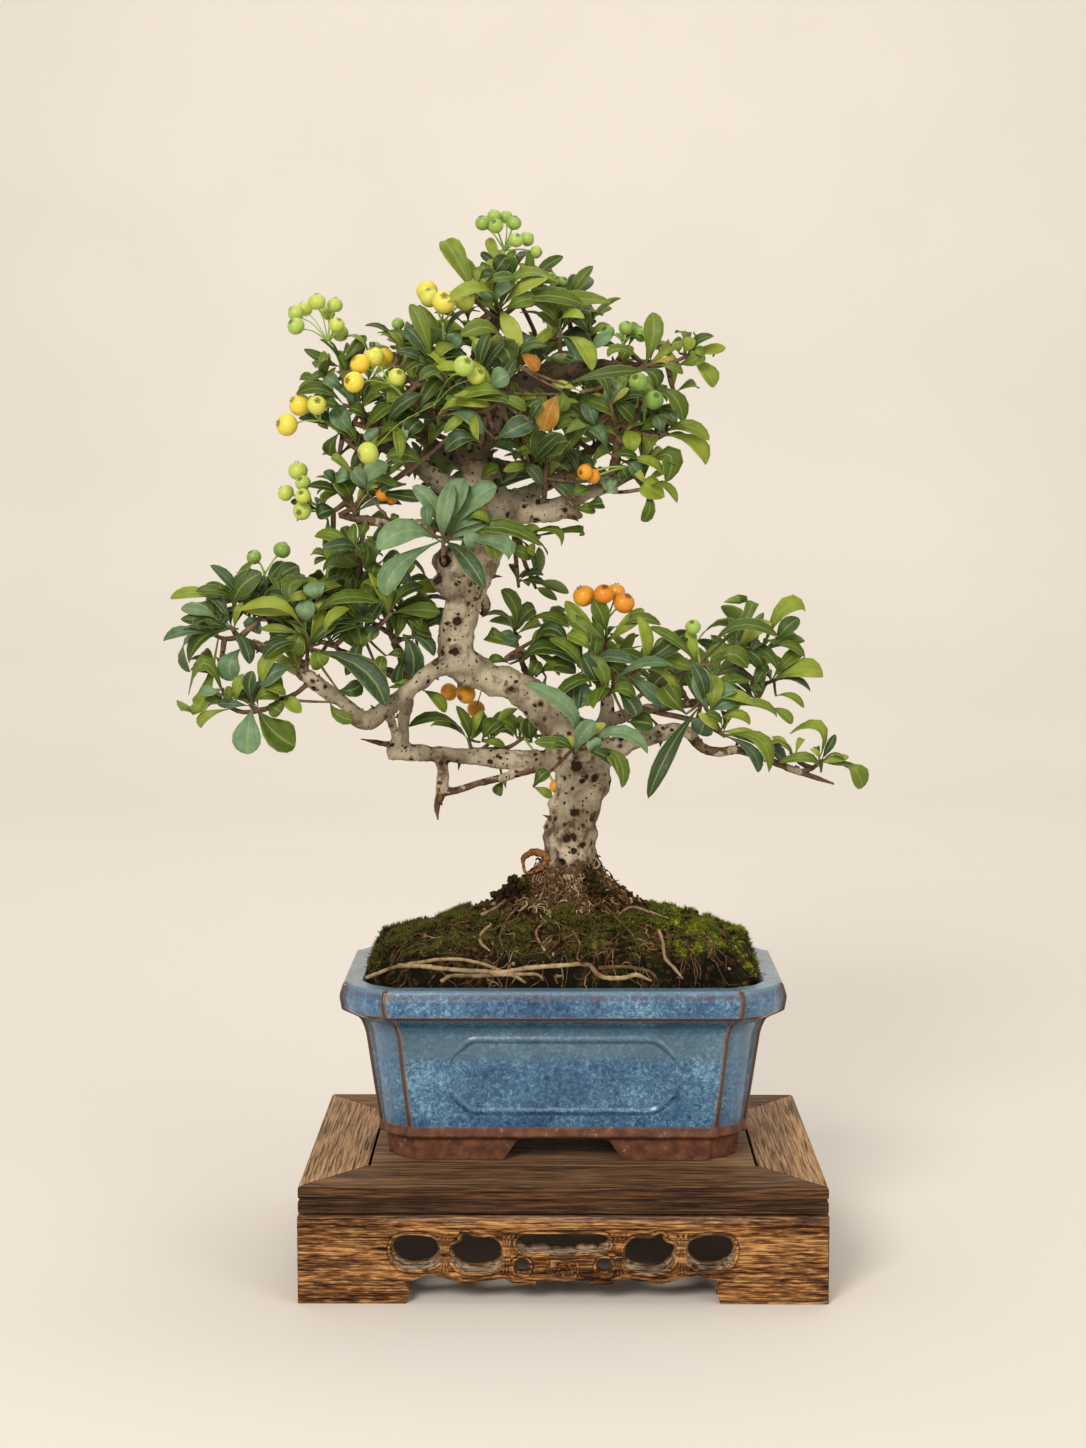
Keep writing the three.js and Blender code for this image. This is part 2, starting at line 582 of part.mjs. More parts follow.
// Plan of one side of a mitred frame: outer edge on y = -depth / 2, mitres towards the inner corners
function mitrePlan(length, depth, across, along) {
  const [x, y, gap] = [length / 2, depth / 2, CLEAR / 2];
  const slope = along / across;
  return outline([[-x + gap * slope + 0.01, -y - 0.01], [x - gap * slope - 0.01, -y - 0.01],
    [x - along - gap * slope, -y + across + 0.01], [-x + along + gap * slope, -y + across + 0.01]]);
}

// Rail profile as [inward, up]: two beads with a groove between, a slot for the panel, a shadow step under
function railProfile(width) {
  const [under, seat, top] = [STAND.topUnder, STAND.seat, STAND.height];
  const middle = (under + top) / 2;
  const slot = { top: top - 4.3, floor: top - 9.3, depth: width - 5 };
  return outline([[0.6, under], [0, under + 0.8], [0, middle - 1], [0.9, middle], [0, middle + 1],
    [0, top - 1.2], [0.5, top - 0.35], [1.4, top], [width, top], [width, slot.top], [slot.depth, slot.top],
    [slot.depth, slot.floor], [width, slot.floor], [width, seat], [4, seat], [4, under]]);
}

function rail(length, depth, width, along) {
  const geometry = new THREE.ExtrudeGeometry(railProfile(width), { depth: length, bevelEnabled: false });
  geometry.rotateX(Math.PI / 2);
  geometry.rotateZ(Math.PI / 2);
  geometry.translate(-length / 2, -depth / 2, 0);
  return toSolid(geometry).intersect(upright(mitrePlan(length, depth, width, along), 0, STAND.height + 1));
}

// Half outline of an apron's lower edge from the middle to the foot, as [from middle, up]
const FRONT_EDGE = [[0, 10], [11.4, 10.4], [11.8, 8.3], [21.3, 8.8], [25.6, 11.2], [42.9, 8.8], [58.5, 13],
  [65.1, 10.4], [69.3, 9.9], [66.3, 5.2], [68.4, 0]];
const SIDE_EDGE = [[0, 10], [11.4, 10.4], [11.8, 8.3], [24, 8.8], [34, 12.6], [40.1, 10.4], [44.3, 9.9],
  [41.3, 5.2], [43.4, 0]];

// Pierced openings of half an apron as closed rings of [from middle, up]
const OVAL_HOLE = [[56, 20.5], [61, 18.2], [67, 18], [72, 21], [73.8, 25.5], [71.5, 29], [66, 29.8],
  [60, 29.3], [55.5, 27.5], [54.3, 24]];
const CURL_HOLE = [[28, 19.5], [34, 17.1], [42, 17.2], [46.5, 20.5], [48.2, 25], [44, 27.4],
  [42.5, 30.7], [38, 28.8], [31, 28.6], [27.4, 25]];
const SLOT_HOLE = [[19.3, 27.5], [17, 30], [8, 30.3], [-8, 30.3], [-17, 30], [-19.3, 27.5],
  [-15, 24.6], [-9, 25.4], [-4, 23.8], [4, 23.8], [9, 25.4], [15, 24.6]];
const ROUND_HOLE = { x: 17.9, z: 17, radius: 2.9 };

function smoothRing(points, count) {
  const curve = new THREE.SplineCurve([...points, points[0]].map(([x, z]) => new THREE.Vector2(x, z)));
  return new THREE.Path(curve.getPoints(count).slice(0, -1));
}

function mirrored(points) {
  return points.map(([x, z]) => [-x, z]).reverse();
}

function apron(length, depth, edge, rings, rounds) {
  const half = length / 2;
  const lower = [...mirrored(edge), ...edge.slice(1)];
  const top = STAND.apronHeight;
  const shape = outline([[-half, 0], ...lower, [half, 0], [half, top], [-half, top]]);
  shape.holes = rings.map((ring) => smoothRing(ring, ring.length + 2));
  shape.holes.push(...rounds.map((x) => outline(circlePoints(x, ROUND_HOLE.z, ROUND_HOLE.radius, 10))));
  const geometry = new THREE.ExtrudeGeometry(shape, { depth: STAND.apronThick, bevelEnabled: false });
  geometry.rotateX(Math.PI / 2);
  geometry.translate(0, -depth / 2 + STAND.apronThick, 0);
  const plan = mitrePlan(length, depth, STAND.apronThick, STAND.apronThick);
  return toSolid(geometry).intersect(upright(plan, -1, top + 1));
}

function buildStand() {
  const { length, depth, sideRail, frontRail, apronLength, apronDepth } = STAND;
  const front = rail(length, depth, frontRail, sideRail);
  const side = rail(depth, length, sideRail, frontRail);
  const longRings = [OVAL_HOLE, CURL_HOLE, SLOT_HOLE, mirrored(CURL_HOLE), mirrored(OVAL_HOLE)];
  const shortRings = [SLOT_HOLE];
  const longApron = apron(apronLength, apronDepth, FRONT_EDGE, longRings, [-ROUND_HOLE.x, ROUND_HOLE.x]);
  const shortApron = apron(apronDepth, apronLength, SIDE_EDGE, shortRings, [-ROUND_HOLE.x, ROUND_HOLE.x]);
  const turns = { front: 0, right: 90, back: 180, left: 270 };
  for (const [where, turn] of Object.entries(turns)) {
    const [railSolid, apronSolid] = turn % 180 ? [side, shortApron] : [front, longApron];
    addSolid(`stand_rail_${where}`, LOOKS.rail, railSolid.rotate([0, 0, turn]));
    addSolid(`stand_apron_${where}`, LOOKS.apron, apronSolid.rotate([0, 0, turn]));
  }
  const [x, y] = [length / 2 - sideRail, depth / 2 - frontRail];
  const [top, tongue] = [STAND.height, 4.7];
  const body = block(-x + STAND.panelGap, x - STAND.panelGap, -y + CLEAR, y - CLEAR, top - 9, top);
  const lip = block(-x - tongue, x + tongue, -y - tongue, y + tongue, top - 9, top - 4.6);
  addSolid('stand_panel', LOOKS.panel, body.add(lip));
}

// Pot
const POT_BASE = STAND.height + CLEAR;

// Plan of the pot at one height: flats, a small step at each, and a bowed corner between them
function potRing(inset, chamfer, step, z) {
  const [x, y] = [POT.length / 2 - inset, POT.depth / 2 - inset];
  const corner = (sx, sy) => {
    const bow = chamfer * 0.14;
    const lobe = [[x - chamfer, y], [x - chamfer, y - step], [x - chamfer * 0.5 + bow - step * 0.4,
      y - chamfer * 0.5 + bow - step * 0.4], [x - step, y - chamfer], [x, y - chamfer]];
    const ordered = sx * sy > 0 ? [...lobe].reverse() : lobe;
    return ordered.map(([px, py]) => new THREE.Vector3(px * sx, py * sy, z + POT_BASE));
  };
  return [...corner(1, 1), ...corner(-1, 1), ...corner(-1, -1), ...corner(1, -1)];
}

// Outer and inner profile of the pot as [height, inset, corner cut, step]
const POT_OUTSIDE = [[0, 21, 13, 1.5], [9.5, 20, 13, 1.5], [11.5, 16.5, 13.4, 1.8], [15.8, 17, 13.6, 1.8],
  [36, 14.2, 14, 2.3], [58, 11.2, 15, 2.6], [64, 9, 15.6, 2.6], [68.6, 1, 19.6, 2], [75, 0, 20, 1.8],
  [80.8, 1.8, 19.4, 1.6]];
const POT_INSIDE = [[80.8, 10.5, 15, 0.4], [66, 14, 13, 0.4], [POT.floor, 23, 10, 0.4]];

// Lean of the front and back walls as [height, inset], which the raised frames follow
const WALL_LEAN = [[22, 16], [30, 15], [45, 13.2], [60, 10.6]];

function buildPot() {
  const ring = ([z, inset, chamfer, step]) => potRing(inset, chamfer, step, z);
  let pot = toSolid(loft([...POT_OUTSIDE, ...POT_INSIDE].map(ring)));
  const ridge = (wider) => {
    const [x, z, cut] = [POT.ridgeHalf + wider, POT.ridgeRise + wider, POT.ridgeCut];
    return outline([[-x, -z + cut], [-x + cut, -z], [x - cut, -z], [x, -z + cut], [x, z - cut],
      [x - cut, z], [-x + cut, z], [-x, z - cut]].map(([px, pz]) => [px, pz + POT.ridgeMiddle]));
  };
  const shape = ridge(1);
  shape.holes = [ridge(-1)];
  const wall = (y0, y1) => {
    const geometry = new THREE.ExtrudeGeometry(shape, { depth: y1 - y0, bevelEnabled: false });
    geometry.rotateX(Math.PI / 2);
    geometry.translate(0, y1, POT_BASE);
    return toSolid(geometry);
  };
  const slab = (proud) => toSolid(loft(WALL_LEAN.map(([z, inset]) => {
    const [x, y] = [POT.length * 0.35, POT.depth / 2 - inset + proud];
    return [[x, -y], [x, y], [-x, y], [-x, -y]].map(([px, py]) => new THREE.Vector3(px, py, z + POT_BASE));
  })));
  const frames = wall(-60, -36).add(wall(36, 60)).intersect(slab(POT.ridgeProud)).subtract(slab(-2));
  pot = pot.add(frames);
  const arch = (half, flare, reach) => {
    const geometry = new THREE.ExtrudeGeometry(outline([[-half - flare, -1], [half + flare, -1],
      [half, POT.footHeight], [-half, POT.footHeight]]), { depth: 2 * reach, bevelEnabled: false });
    geometry.rotateX(Math.PI / 2);
    geometry.translate(0, reach, POT_BASE);
    return toSolid(geometry);
  };
  pot = pot.subtract(arch(20, 7.5, 70)).subtract(arch(12, 6, 110).rotate([0, 0, 90]));
  pot = pot.subtract(block(-70, 70, -30, 30, POT_BASE - 1, POT_BASE + POT.footHeight));
  for (const side of [-1, 1]) {
    const bore = new THREE.CylinderGeometry(POT.drainRadius, POT.drainRadius, 30, 14);
    bore.rotateX(Math.PI / 2);
    bore.translate(side * POT.drainAt, 0, POT_BASE + POT.floor);
    pot = pot.subtract(toSolid(bore));
  }
  addSolid('pot', LOOKS.glaze, pot);
}

// Net over each drain hole, on the pot's floor
function buildDrainMeshes() {
  const { radius, thick, hole, pitch } = MESH_DISC;
  const shape = outline(circlePoints(0, 0, radius, 12));
  shape.holes = circlePoints(0.2, 0.1, pitch, 5).map(([x, y]) => outline(circlePoints(x, y, hole / 2, 4)));
  const z = POT_BASE + POT.floor + CLEAR;
  for (const [name, side] of [['drain_mesh_left', -1], ['drain_mesh_right', 1]]) {
    addSolid(name, LOOKS.mesh, upright(shape, z, z + thick).translate([side * POT.drainAt, 0, 0]));
  }
}

// Soil mound: its share of the rise at each share of the way from the trunk to the pot's rim
const MOUND_PROFILE = [[0, 1], [0.22, 0.88], [0.42, 0.73], [0.62, 0.6], [0.8, 0.47], [0.92, 0.33], [1, 0]];
const MOUND_SPOKES = 22;

function moundShare(share) {
  const at = MOUND_PROFILE.findIndex(([s]) => s >= share);
  if (at <= 0) {
    return at === 0 ? 1 : 0;
  }
  const [[s0, g0], [s1, g1]] = [MOUND_PROFILE[at - 1], MOUND_PROFILE[at]];
  return g0 + ((g1 - g0) * (share - s0)) / (s1 - s0);
}

function moundPoint(share, spoke) {
  const turn = (2 * Math.PI * spoke) / MOUND_SPOKES;
  const [c, s] = [Math.cos(turn), Math.sin(turn)];
  const reach = (Math.abs(c) ** 3 + Math.abs(s) ** 3) ** (-1 / 3);
  const [x, y] = [MOUND.halfLength * share * reach * c, MOUND.halfDepth * share * reach * s];
  const bumps = 1.5 * Math.sin(x * 0.17 + 1) * Math.cos(y * 0.23) + 0.9 * Math.sin(x * 0.41 - y * 0.33);
  const ease = Math.min(1, 4 * (1 - share)) * Math.min(1, 3 * share);
  return new THREE.Vector3(x, y, MOUND.rim + MOUND.rise * moundShare(share) + bumps * ease);
}

function moundHeight(x, y) {
  const share = ((Math.abs(x) / MOUND.halfLength) ** 3 + (Math.abs(y) / MOUND.halfDepth) ** 3) ** (1 / 3);
  return MOUND.rim + MOUND.rise * moundShare(share);
}

function buildSoil(woodFat) {
  const spokes = Array.from({ length: MOUND_SPOKES }, (_, j) => j);
  const shares = MOUND_PROFILE.map(([share]) => share).filter((share) => share > 0).reverse();
  const wall = ([z, inset, gap]) => spokes.map((j) => {
    const rim = moundPoint(1, j);
    const x = (rim.x * (POT.length / 2 - inset)) / MOUND.halfLength - Math.sign(rim.x) * gap;
    const y = (rim.y * (POT.depth / 2 - inset)) / MOUND.halfDepth - Math.sign(rim.y) * gap;
    return new THREE.Vector3(x, y, POT_BASE + z);
  });
  const rings = [wall([POT.floor + CLEAR, 23.5, 0.4]), wall([66, 14.6, 0.2])];
  shares.forEach((share) => rings.push(spokes.map((j) => moundPoint(share, j))));
  rings.push([moundPoint(0, 0)]);
  let soil = toSolid(loft(rings)).subtract(woodFat);
  for (const side of [-1, 1]) {
    const room = new THREE.CylinderGeometry(MESH_DISC.radius + 0.5, MESH_DISC.radius + 0.5, 8, 14);
    room.rotateX(Math.PI / 2);
    room.translate(side * POT.drainAt, 0, POT_BASE + POT.floor + MESH_DISC.thick + 2 * CLEAR - 4);
    soil = soil.subtract(toSolid(room));
  }
  addNode('soil', LOOKS.soil, largestBody(soil));
}

// Moss cushion over a patch of the mound: share rings i0 to i1, spokes j0 to j1
function mossPatch(name, look, i0, i1, j0, j1, woodFat) {
  const draw = draws(name.length * 31 + j1);
  const bottom = [];
  const top = [];
  for (let i = i0; i <= i1; i += 1) {
    for (let j = j0; j <= j1; j += 1) {
      const point = moundPoint(MOUND_PROFILE[i][0], j);
      const edge = i === i0 || i === i1 || j === j0 || j === j1;
      bottom.push(point.clone().setZ(point.z + CLEAR));
      top.push(point.clone().setZ(point.z + CLEAR + (edge ? 0.9 : MOSS_THICK * (0.7 + 0.5 * draw()))));
    }
  }
  const columns = j1 - j0 + 1;
  const rows = i1 - i0 + 1;
  const faces = [];
  const upper = bottom.length;
  for (let i = 0; i + 1 < rows; i += 1) {
    for (let j = 0; j + 1 < columns; j += 1) {
      const [a, d] = [i * columns + j, (i + 1) * columns + j];
      const [b, c] = [a + 1, d + 1];
      faces.push(a, b, d, b, c, d);
      faces.push(upper + a, upper + d, upper + b, upper + b, upper + d, upper + c);
    }
  }
  const rim = [];
  for (let j = 0; j < columns; j += 1) {
    rim.push(j);
  }
  for (let i = 1; i < rows; i += 1) {
    rim.push(i * columns + columns - 1);
  }
  for (let j = columns - 2; j >= 0; j -= 1) {
    rim.push((rows - 1) * columns + j);
  }
  for (let i = rows - 2; i > 0; i -= 1) {
    rim.push(i * columns);
  }
  rim.forEach((a, n) => {
    const b = rim[(n + 1) % rim.length];
    faces.push(a, upper + a, upper + b, a, upper + b, b);
  });
  const geometry = new THREE.BufferGeometry().setFromPoints([...bottom, ...top]).setIndex(faces);
  addNode(name, look, largestBody(toSolid(geometry).subtract(woodFat)));
}

// Wood: every limb, the root flare and the looped root, in one solid with a fattened copy
function woodStations() {
  const stations = LIMBS.map((limb) => limb.map(([across, down, depth, radius]) =>
    [place([across, down, depth]), radius]));
  for (const [bearing, reach, radius] of ROOTS) {
    const turn = THREE.MathUtils.degToRad(bearing);
    const at = (share, lift) => {
      const [x, y] = [ROOT_CENTRE[0] + Math.cos(turn) * reach * share,
        ROOT_CENTRE[1] + Math.sin(turn) * reach * share * 0.8];
      return new THREE.Vector3(x, y, moundHeight(x, y) + lift);
    };
    stations.push([[at(0.12, 9), radius * 0.95], [at(0.55, 2), radius * 0.8], [at(1.05, -3), radius * 0.4]]);
  }
  return stations;
}

function buildWood() {
  const solids = [];
  const fats = [];
  woodStations().forEach((stations, i) => {
    const sides = i === 0 ? 8 : (stations[0][1] > 5 ? 5 : 4);
    const wobble = i === 0 ? 0.16 : 0.12;
    solids.push(tube(stations, sides, 0, wobble, i + 1));
    fats.push(tube(stations, sides, CLEAR / Math.cos(Math.PI / sides) + 0.03, wobble, i + 1));
  });
  const loop = ROOT_RING;
  const centre = place(loop.at);
  const loopRing = (extra) => {
    const section = circlePoints(loop.radius, 0, loop.tube + extra, 4)
      .map(([x, y]) => new THREE.Vector2(x, y));
    return toSolid(new THREE.LatheGeometry([...section, section[0].clone()], 9).translate(...centre));
  };
  const rightSide = centre.clone().setX(centre.x + loop.radius);
  const stalk = [[rightSide, loop.tube * 1.4], [place(loop.stalk), loop.tube * 2]];
  solids.push(loopRing(0), tube(stalk, 4));
  fats.push(loopRing(0.45), tube(stalk, 4, 0.45));
  const fat = join(fats);
  addNode('wood', LOOKS.bark, largestBody(join(solids)));
  fats.forEach((solid) => keepClear('wood', 'limb', solid));
  return fat;
}

// Twig from a parent point up into a rosette; later tries bend its middle another way
function twigMiddle(start, end, attempt, draw) {
  const span = end.distanceTo(start);
  const bend = span * 0.12 * attempt;
  const middle = start.clone().lerp(end, 0.55);
  middle.z -= span * 0.12;
  middle.add(new THREE.Vector3((draw() - 0.5) * 2 * bend, (draw() - 0.5) * 2 * bend, (draw() - 0.6) * bend));
  return middle;
}

// Rings of an arched blade, flat above and keeled below, with its widest place past the middle
function bladeRings(root, tip, raise, width, extra = 0) {
  const along = new THREE.Vector3().subVectors(tip, root);
  const length = along.length();
  along.normalize();
  const normal = raise.clone().addScaledVector(along, -raise.dot(along)).normalize();
  const side = new THREE.Vector3().crossVectors(along, normal);
  const bow = root.clone().lerp(tip, 0.5).addScaledVector(normal, length * LEAF.arch * 2);
  const at = (t) => root.clone().multiplyScalar((1 - t) ** 2)
    .addScaledVector(bow, 2 * t * (1 - t))
    .addScaledVector(tip, t * t);
  const ring = (t, share) => {
    const tangent = at(t + 0.01).sub(at(t - 0.01)).normalize();
    const up = new THREE.Vector3().crossVectors(side, tangent);
    const half = width * share * 0.5 + 2.2 * extra;
    return [at(t).addScaledVector(side, half).addScaledVector(up, extra),
      at(t).addScaledVector(up, -LEAF.thick - 1.6 * extra),
      at(t).addScaledVector(side, -half).addScaledVector(up, extra)];
  };
  const end = tip.clone().addScaledVector(along, 2 * extra);
  return [ring(0.32, 0.66), ring(0.72, 1), [end]];
}

// Whether a segment passes through the inside of a triangle
function pierces(from, to, [a, b, c]) {
  const way = new THREE.Vector3().subVectors(to, from);
  const [ab, ac] = [b, c].map((corner) => new THREE.Vector3().subVectors(corner, a));
  const across = new THREE.Vector3().crossVectors(way, ac);
  const size = ab.dot(across);
  if (Math.abs(size) < 1e-12) {
    return false;
  }
  const reach = new THREE.Vector3().subVectors(from, a);
  const u = reach.dot(across) / size;
  const turned = reach.cross(ab);
  const v = way.dot(turned) / size;
  const t = ac.dot(turned) / size;
  return Math.min(u, v, 1 - u - v, t, 1 - t) > 1e-6;
}

// Faces between two rings of three, split on either diagonal, and from a ring of three to a point
const BAND_SPLITS = [0, 1].map((split) => [0, 1, 2].flatMap((i) => {
  const k = (i + 1) % 3;
  return split ? [[i, k, 3 + i], [k, 3 + k, 3 + i]] : [[i, k, 3 + k], [i, 3 + k, 3 + i]];
}));
const POINT_FACES = [[0, 1, 3], [1, 2, 3], [2, 0, 3]];

function isSimple(points, faces) {
  return faces.every((face) => faces.every((other) => face.every((from, i) => {
    const to = face[(i + 1) % 3];
    return other.includes(from) || other.includes(to)
      || !pierces(points[from], points[to], other.map((v) => points[v]));
  })));
}

// A ring turned, and a split chosen, so that the faces between it and the ring before don't cross
function fitRing(before, ring) {
  if (ring.length === 1) {
    return { ring, faces: POINT_FACES };
  }
  const turned = [0, 1, 2].map((shift) => ring.map((_, i) => ring[(i + shift) % 3]));
  const cost = (order) => order.reduce((sum, p, i) => sum + p.distanceTo(before[i]), 0);
  turned.sort((a, b) => cost(a) - cost(b));
  for (const order of turned.slice(0, 2)) {
    const faces = BAND_SPLITS.find((split) => isSimple([...before, ...order], split));
    if (faces) {
      return { ring: order, faces };
    }
  }
  return null;
}

function fitRings(base, rings) {
  const fits = [];
  for (const ring of rings) {
    const fit = fitRing(fits.length ? fits.at(-1).ring : base, ring);
    if (!fit) {
      return null;
    }
    fits.push(fit);
  }
  return fits;
}

// Skin of one spray or bunch: new parts grow out of its faces, so that nothing needs a join
function faceCentre(body, face) {
  return body.faces[face].reduce((sum, i) => sum.add(body.points[i]), new THREE.Vector3()).divideScalar(3);
}

function faceNormal(body, face) {
  const [a, b, c] = body.faces[face].map((i) => body.points[i]);
  return new THREE.Vector3().subVectors(b, a).cross(new THREE.Vector3().subVectors(c, a)).normalize();
}

// Of some faces still there, the one that looks most along a way, or -1 where none looks that way enough
function bestFace(body, faces, way) {
  let best = -1;
  let facing = LEAST_FACING;
  faces.filter((face) => body.faces[face]).forEach((face) => {
    const dot = faceNormal(body, face).dot(way);
    if (dot > facing) {
      [best, facing] = [face, dot];
    }
  });
  return best;
}

// Grow fitted rings out of a face, to an open edge or to a point; lists each ring's new faces
function grow(body, face, fits) {
  let edge = body.faces[face];
  body.faces[face] = null;
  const bands = fits.map(({ ring, faces }) => {
    const base = body.points.length;
    const first = body.faces.length;
    body.points.push(...ring);
    const corners = [...edge, ...ring.map((_, i) => base + i)];
    faces.forEach((corner) => body.faces.push(corner.map((i) => corners[i])));
    edge = corners.slice(3);
    return faces.map((_, i) => first + i);
  });
  return { edge, bands };
}

function skinSolid(body) {
  const index = body.faces.filter(Boolean).flat();
  return toSolid(new THREE.BufferGeometry().setFromPoints(body.points).setIndex(index));
}

// The same growth as a closed solid of its own
function growthSolid(base, fits) {
  const body = { points: [...base], faces: [[0, 2, 1], [0, 1, 2]] };
  const { edge } = grow(body, 1, fits);
  if (edge.length === 3) {
    body.faces.push(edge);
  }
  return skinSolid(body);
}

// Tip of one leaf: try number moves it round the shoot, and an aimed leaf's tip nearer or farther
function leafTip(centre, axis, length, leaf, attempt, seed) {
  const draw = draws(seed * 131 + leaf * 17 + attempt * 5);
  const helper = Math.abs(axis.z) < 0.9 ? new THREE.Vector3(0, 0, 1) : new THREE.Vector3(0, 1, 0);
  const east = new THREE.Vector3().crossVectors(axis, helper).normalize();
  const north = new THREE.Vector3().crossVectors(axis, east);
  const turn = leaf * 2.399963 + seed + (draw() - 0.5) * 0.7 + attempt * 0.63;
  const lean = 0.62 + 0.7 * draw();
  const reach = length * (0.82 + 0.36 * draw());
  const way = axis.clone().multiplyScalar(Math.cos(lean))
    .addScaledVector(east, Math.sin(lean) * Math.cos(turn))
    .addScaledVector(north, Math.sin(lean) * Math.sin(turn));
  return centre.clone().addScaledVector(way, reach);
}

function aimedTip(target, attempt) {
  const step = Math.ceil(attempt / 2) * (attempt % 2 ? -4 : 4);
  return place([target[0], target[1], target[2] + step]);
}

// Skeletons of the sprays: three-sided twigs, each from a face of an earlier one
const rosettes = [];

// Three points round a centre, anticlockwise about a way, the first on the side that a vector shows
function triangleRing(centre, way, radius, shown = null) {
  const helper = shown ?? (Math.abs(way.z) < 0.9 ? new THREE.Vector3(0, 0, 1) : new THREE.Vector3(0, 1, 0));
  const side = helper.clone().addScaledVector(way, -helper.dot(way)).normalize();
  const across = new THREE.Vector3().crossVectors(way, side);
  return [0, 1, 2].map((j) => centre.clone()
    .addScaledVector(side, radius * Math.cos((2 * Math.PI * j) / 3))
    .addScaledVector(across, radius * Math.sin((2 * Math.PI * j) / 3)));
}

function firstSide(ring) {
  const centre = ring.reduce((sum, p) => sum.add(p), new THREE.Vector3()).divideScalar(ring.length);
  return new THREE.Vector3().subVectors(ring[0], centre);
}

// Rings of one twig from its base, through its middle, to the shoot that its leaves grow from
function twigRings(base, way, shoot, middle, centre, leaves) {
  const steps = leaves > 6 ? [2, 1, 0] : [1, 0];
  const bisector = way.clone().add(shoot).normalize();
  const rings = [triangleRing(middle, bisector, TWIG_RADIUS * 1.1, firstSide(base))];
  steps.forEach((step) => {
    const at = centre.clone().addScaledVector(shoot, -step * SHOOT_STEP);
    rings.push(triangleRing(at, shoot, TWIG_RADIUS * (step ? 1 : 0.8), firstSide(rings.at(-1))));
  });
  return rings;
}

function buildTwig(name, body, twigs, spray, number, i) {
  const entry = spray.rosettes[i];
  const centre = place(entry);
  const tips = spray.tips.filter(([owner]) => owner === i).map(([, ...target]) => target);
  const nearest = [...twigs].sort((a, b) => a.middle.distanceTo(centre) - b.middle.distanceTo(centre));
  for (const parent of nearest.length ? nearest.slice(0, MOST_PARENTS) : [null]) {
    const origin = parent ? parent.middle : place(spray.from);
    const skip = (item) => !parent && item.name === 'wood';
    for (let attempt = 0; attempt < TWIG_TRIES; attempt += 1) {
      const middle = twigMiddle(origin, centre, attempt, draws(number * 97 + i * 13 + attempt));
      const way = new THREE.Vector3().subVectors(middle, origin).normalize();
      const shoot = new THREE.Vector3().subVectors(centre, middle).normalize();
      const face = parent ? bestFace(body, parent.branchFaces, way) : 0;
      if (face < 0) {
        continue;
      }
      const base = parent
        ? body.faces[face].map((v) => body.points[v])
        : triangleRing(origin, way, TWIG_RADIUS * 1.2);
      const fits = fitRings(base, twigRings(base, way, shoot, middle, centre, entry[3] + tips.length));
      if (!fits) {
        continue;
      }
      const solid = growthSolid(base, fits);
      if (!isClear(solid, name, skip, null)) {
        continue;
      }
      if (!parent) {
        body.points.push(...base);
        body.faces.push([0, 1, 2], [0, 2, 1]);
      }
      const { edge, bands } = grow(body, face, fits);
      body.faces.push(edge);
      twigs.push({ order: i, middle, branchFaces: bands.slice(0, 2).flat() });
      const path = [[origin, TWIG_RADIUS * 1.1], [middle, TWIG_RADIUS * 1.1], [centre, TWIG_RADIUS]];
      keepClear(name, 'twig', tube(path, 4, FAT.twig), solid, i);
      const axis = shoot.clone().multiplyScalar(0.5);
      axis.z += 0.7;
      rosettes.push({ name, body, leafFaces: [...bands.slice(2).flat(), body.faces.length - 1], centre,
        axis: axis.normalize(), leaves: entry[3], length: entry[4], tips, order: i, seed: number * 10 + i });
      return;
    }
  }
}

function buildTwigs(name, spray, number) {
  addNode(name, LOOKS.leaf);
  const body = { points: [], faces: [] };
  const twigs = [];
  nodes.get(name).body = body;
  spray.rosettes.forEach((_, i) => buildTwig(name, body, twigs, spray, number, i));
}

// Berries of one bunch moved nearer or farther until none touches another
function spreadBerries(bunch) {
  const berries = bunch.berries.map((berry) => [...berry]);
  for (let round = 0; round < 40; round += 1) {
    berries.forEach((a, i) => {
      berries.slice(i + 1).forEach((b) => {
        const gap = place(a).distanceTo(place(b)) - (a[3] + b[3]) * BERRY_SCALE - 0.7;
        if (gap < 0) {
          const push = a[2] < b[2] ? 0.5 : -0.5;
          a[2] -= push;
          b[2] += push;
        }
      });
    });
  }
  return berries;
}

// Points and faces of a twenty-sided ball, added to a skin
function addBall(body, centre, radius) {
  const bare = new THREE.IcosahedronGeometry(radius, 0);
  bare.deleteAttribute('normal');
  bare.deleteAttribute('uv');
  const geometry = mergeVertices(bare, 1e-4);
  const base = body.points.length;
  const first = body.faces.length;
  for (let i = 0; i < geometry.attributes.position.count; i += 1) {
    body.points.push(new THREE.Vector3().fromBufferAttribute(geometry.attributes.position, i).add(centre));
  }
  const index = geometry.index.array;
  for (let i = 0; i < index.length; i += 3) {
    body.faces.push([index[i] + base, index[i + 1] + base, index[i + 2] + base]);
  }
  return Array.from({ length: body.faces.length - first }, (_, i) => first + i);
}

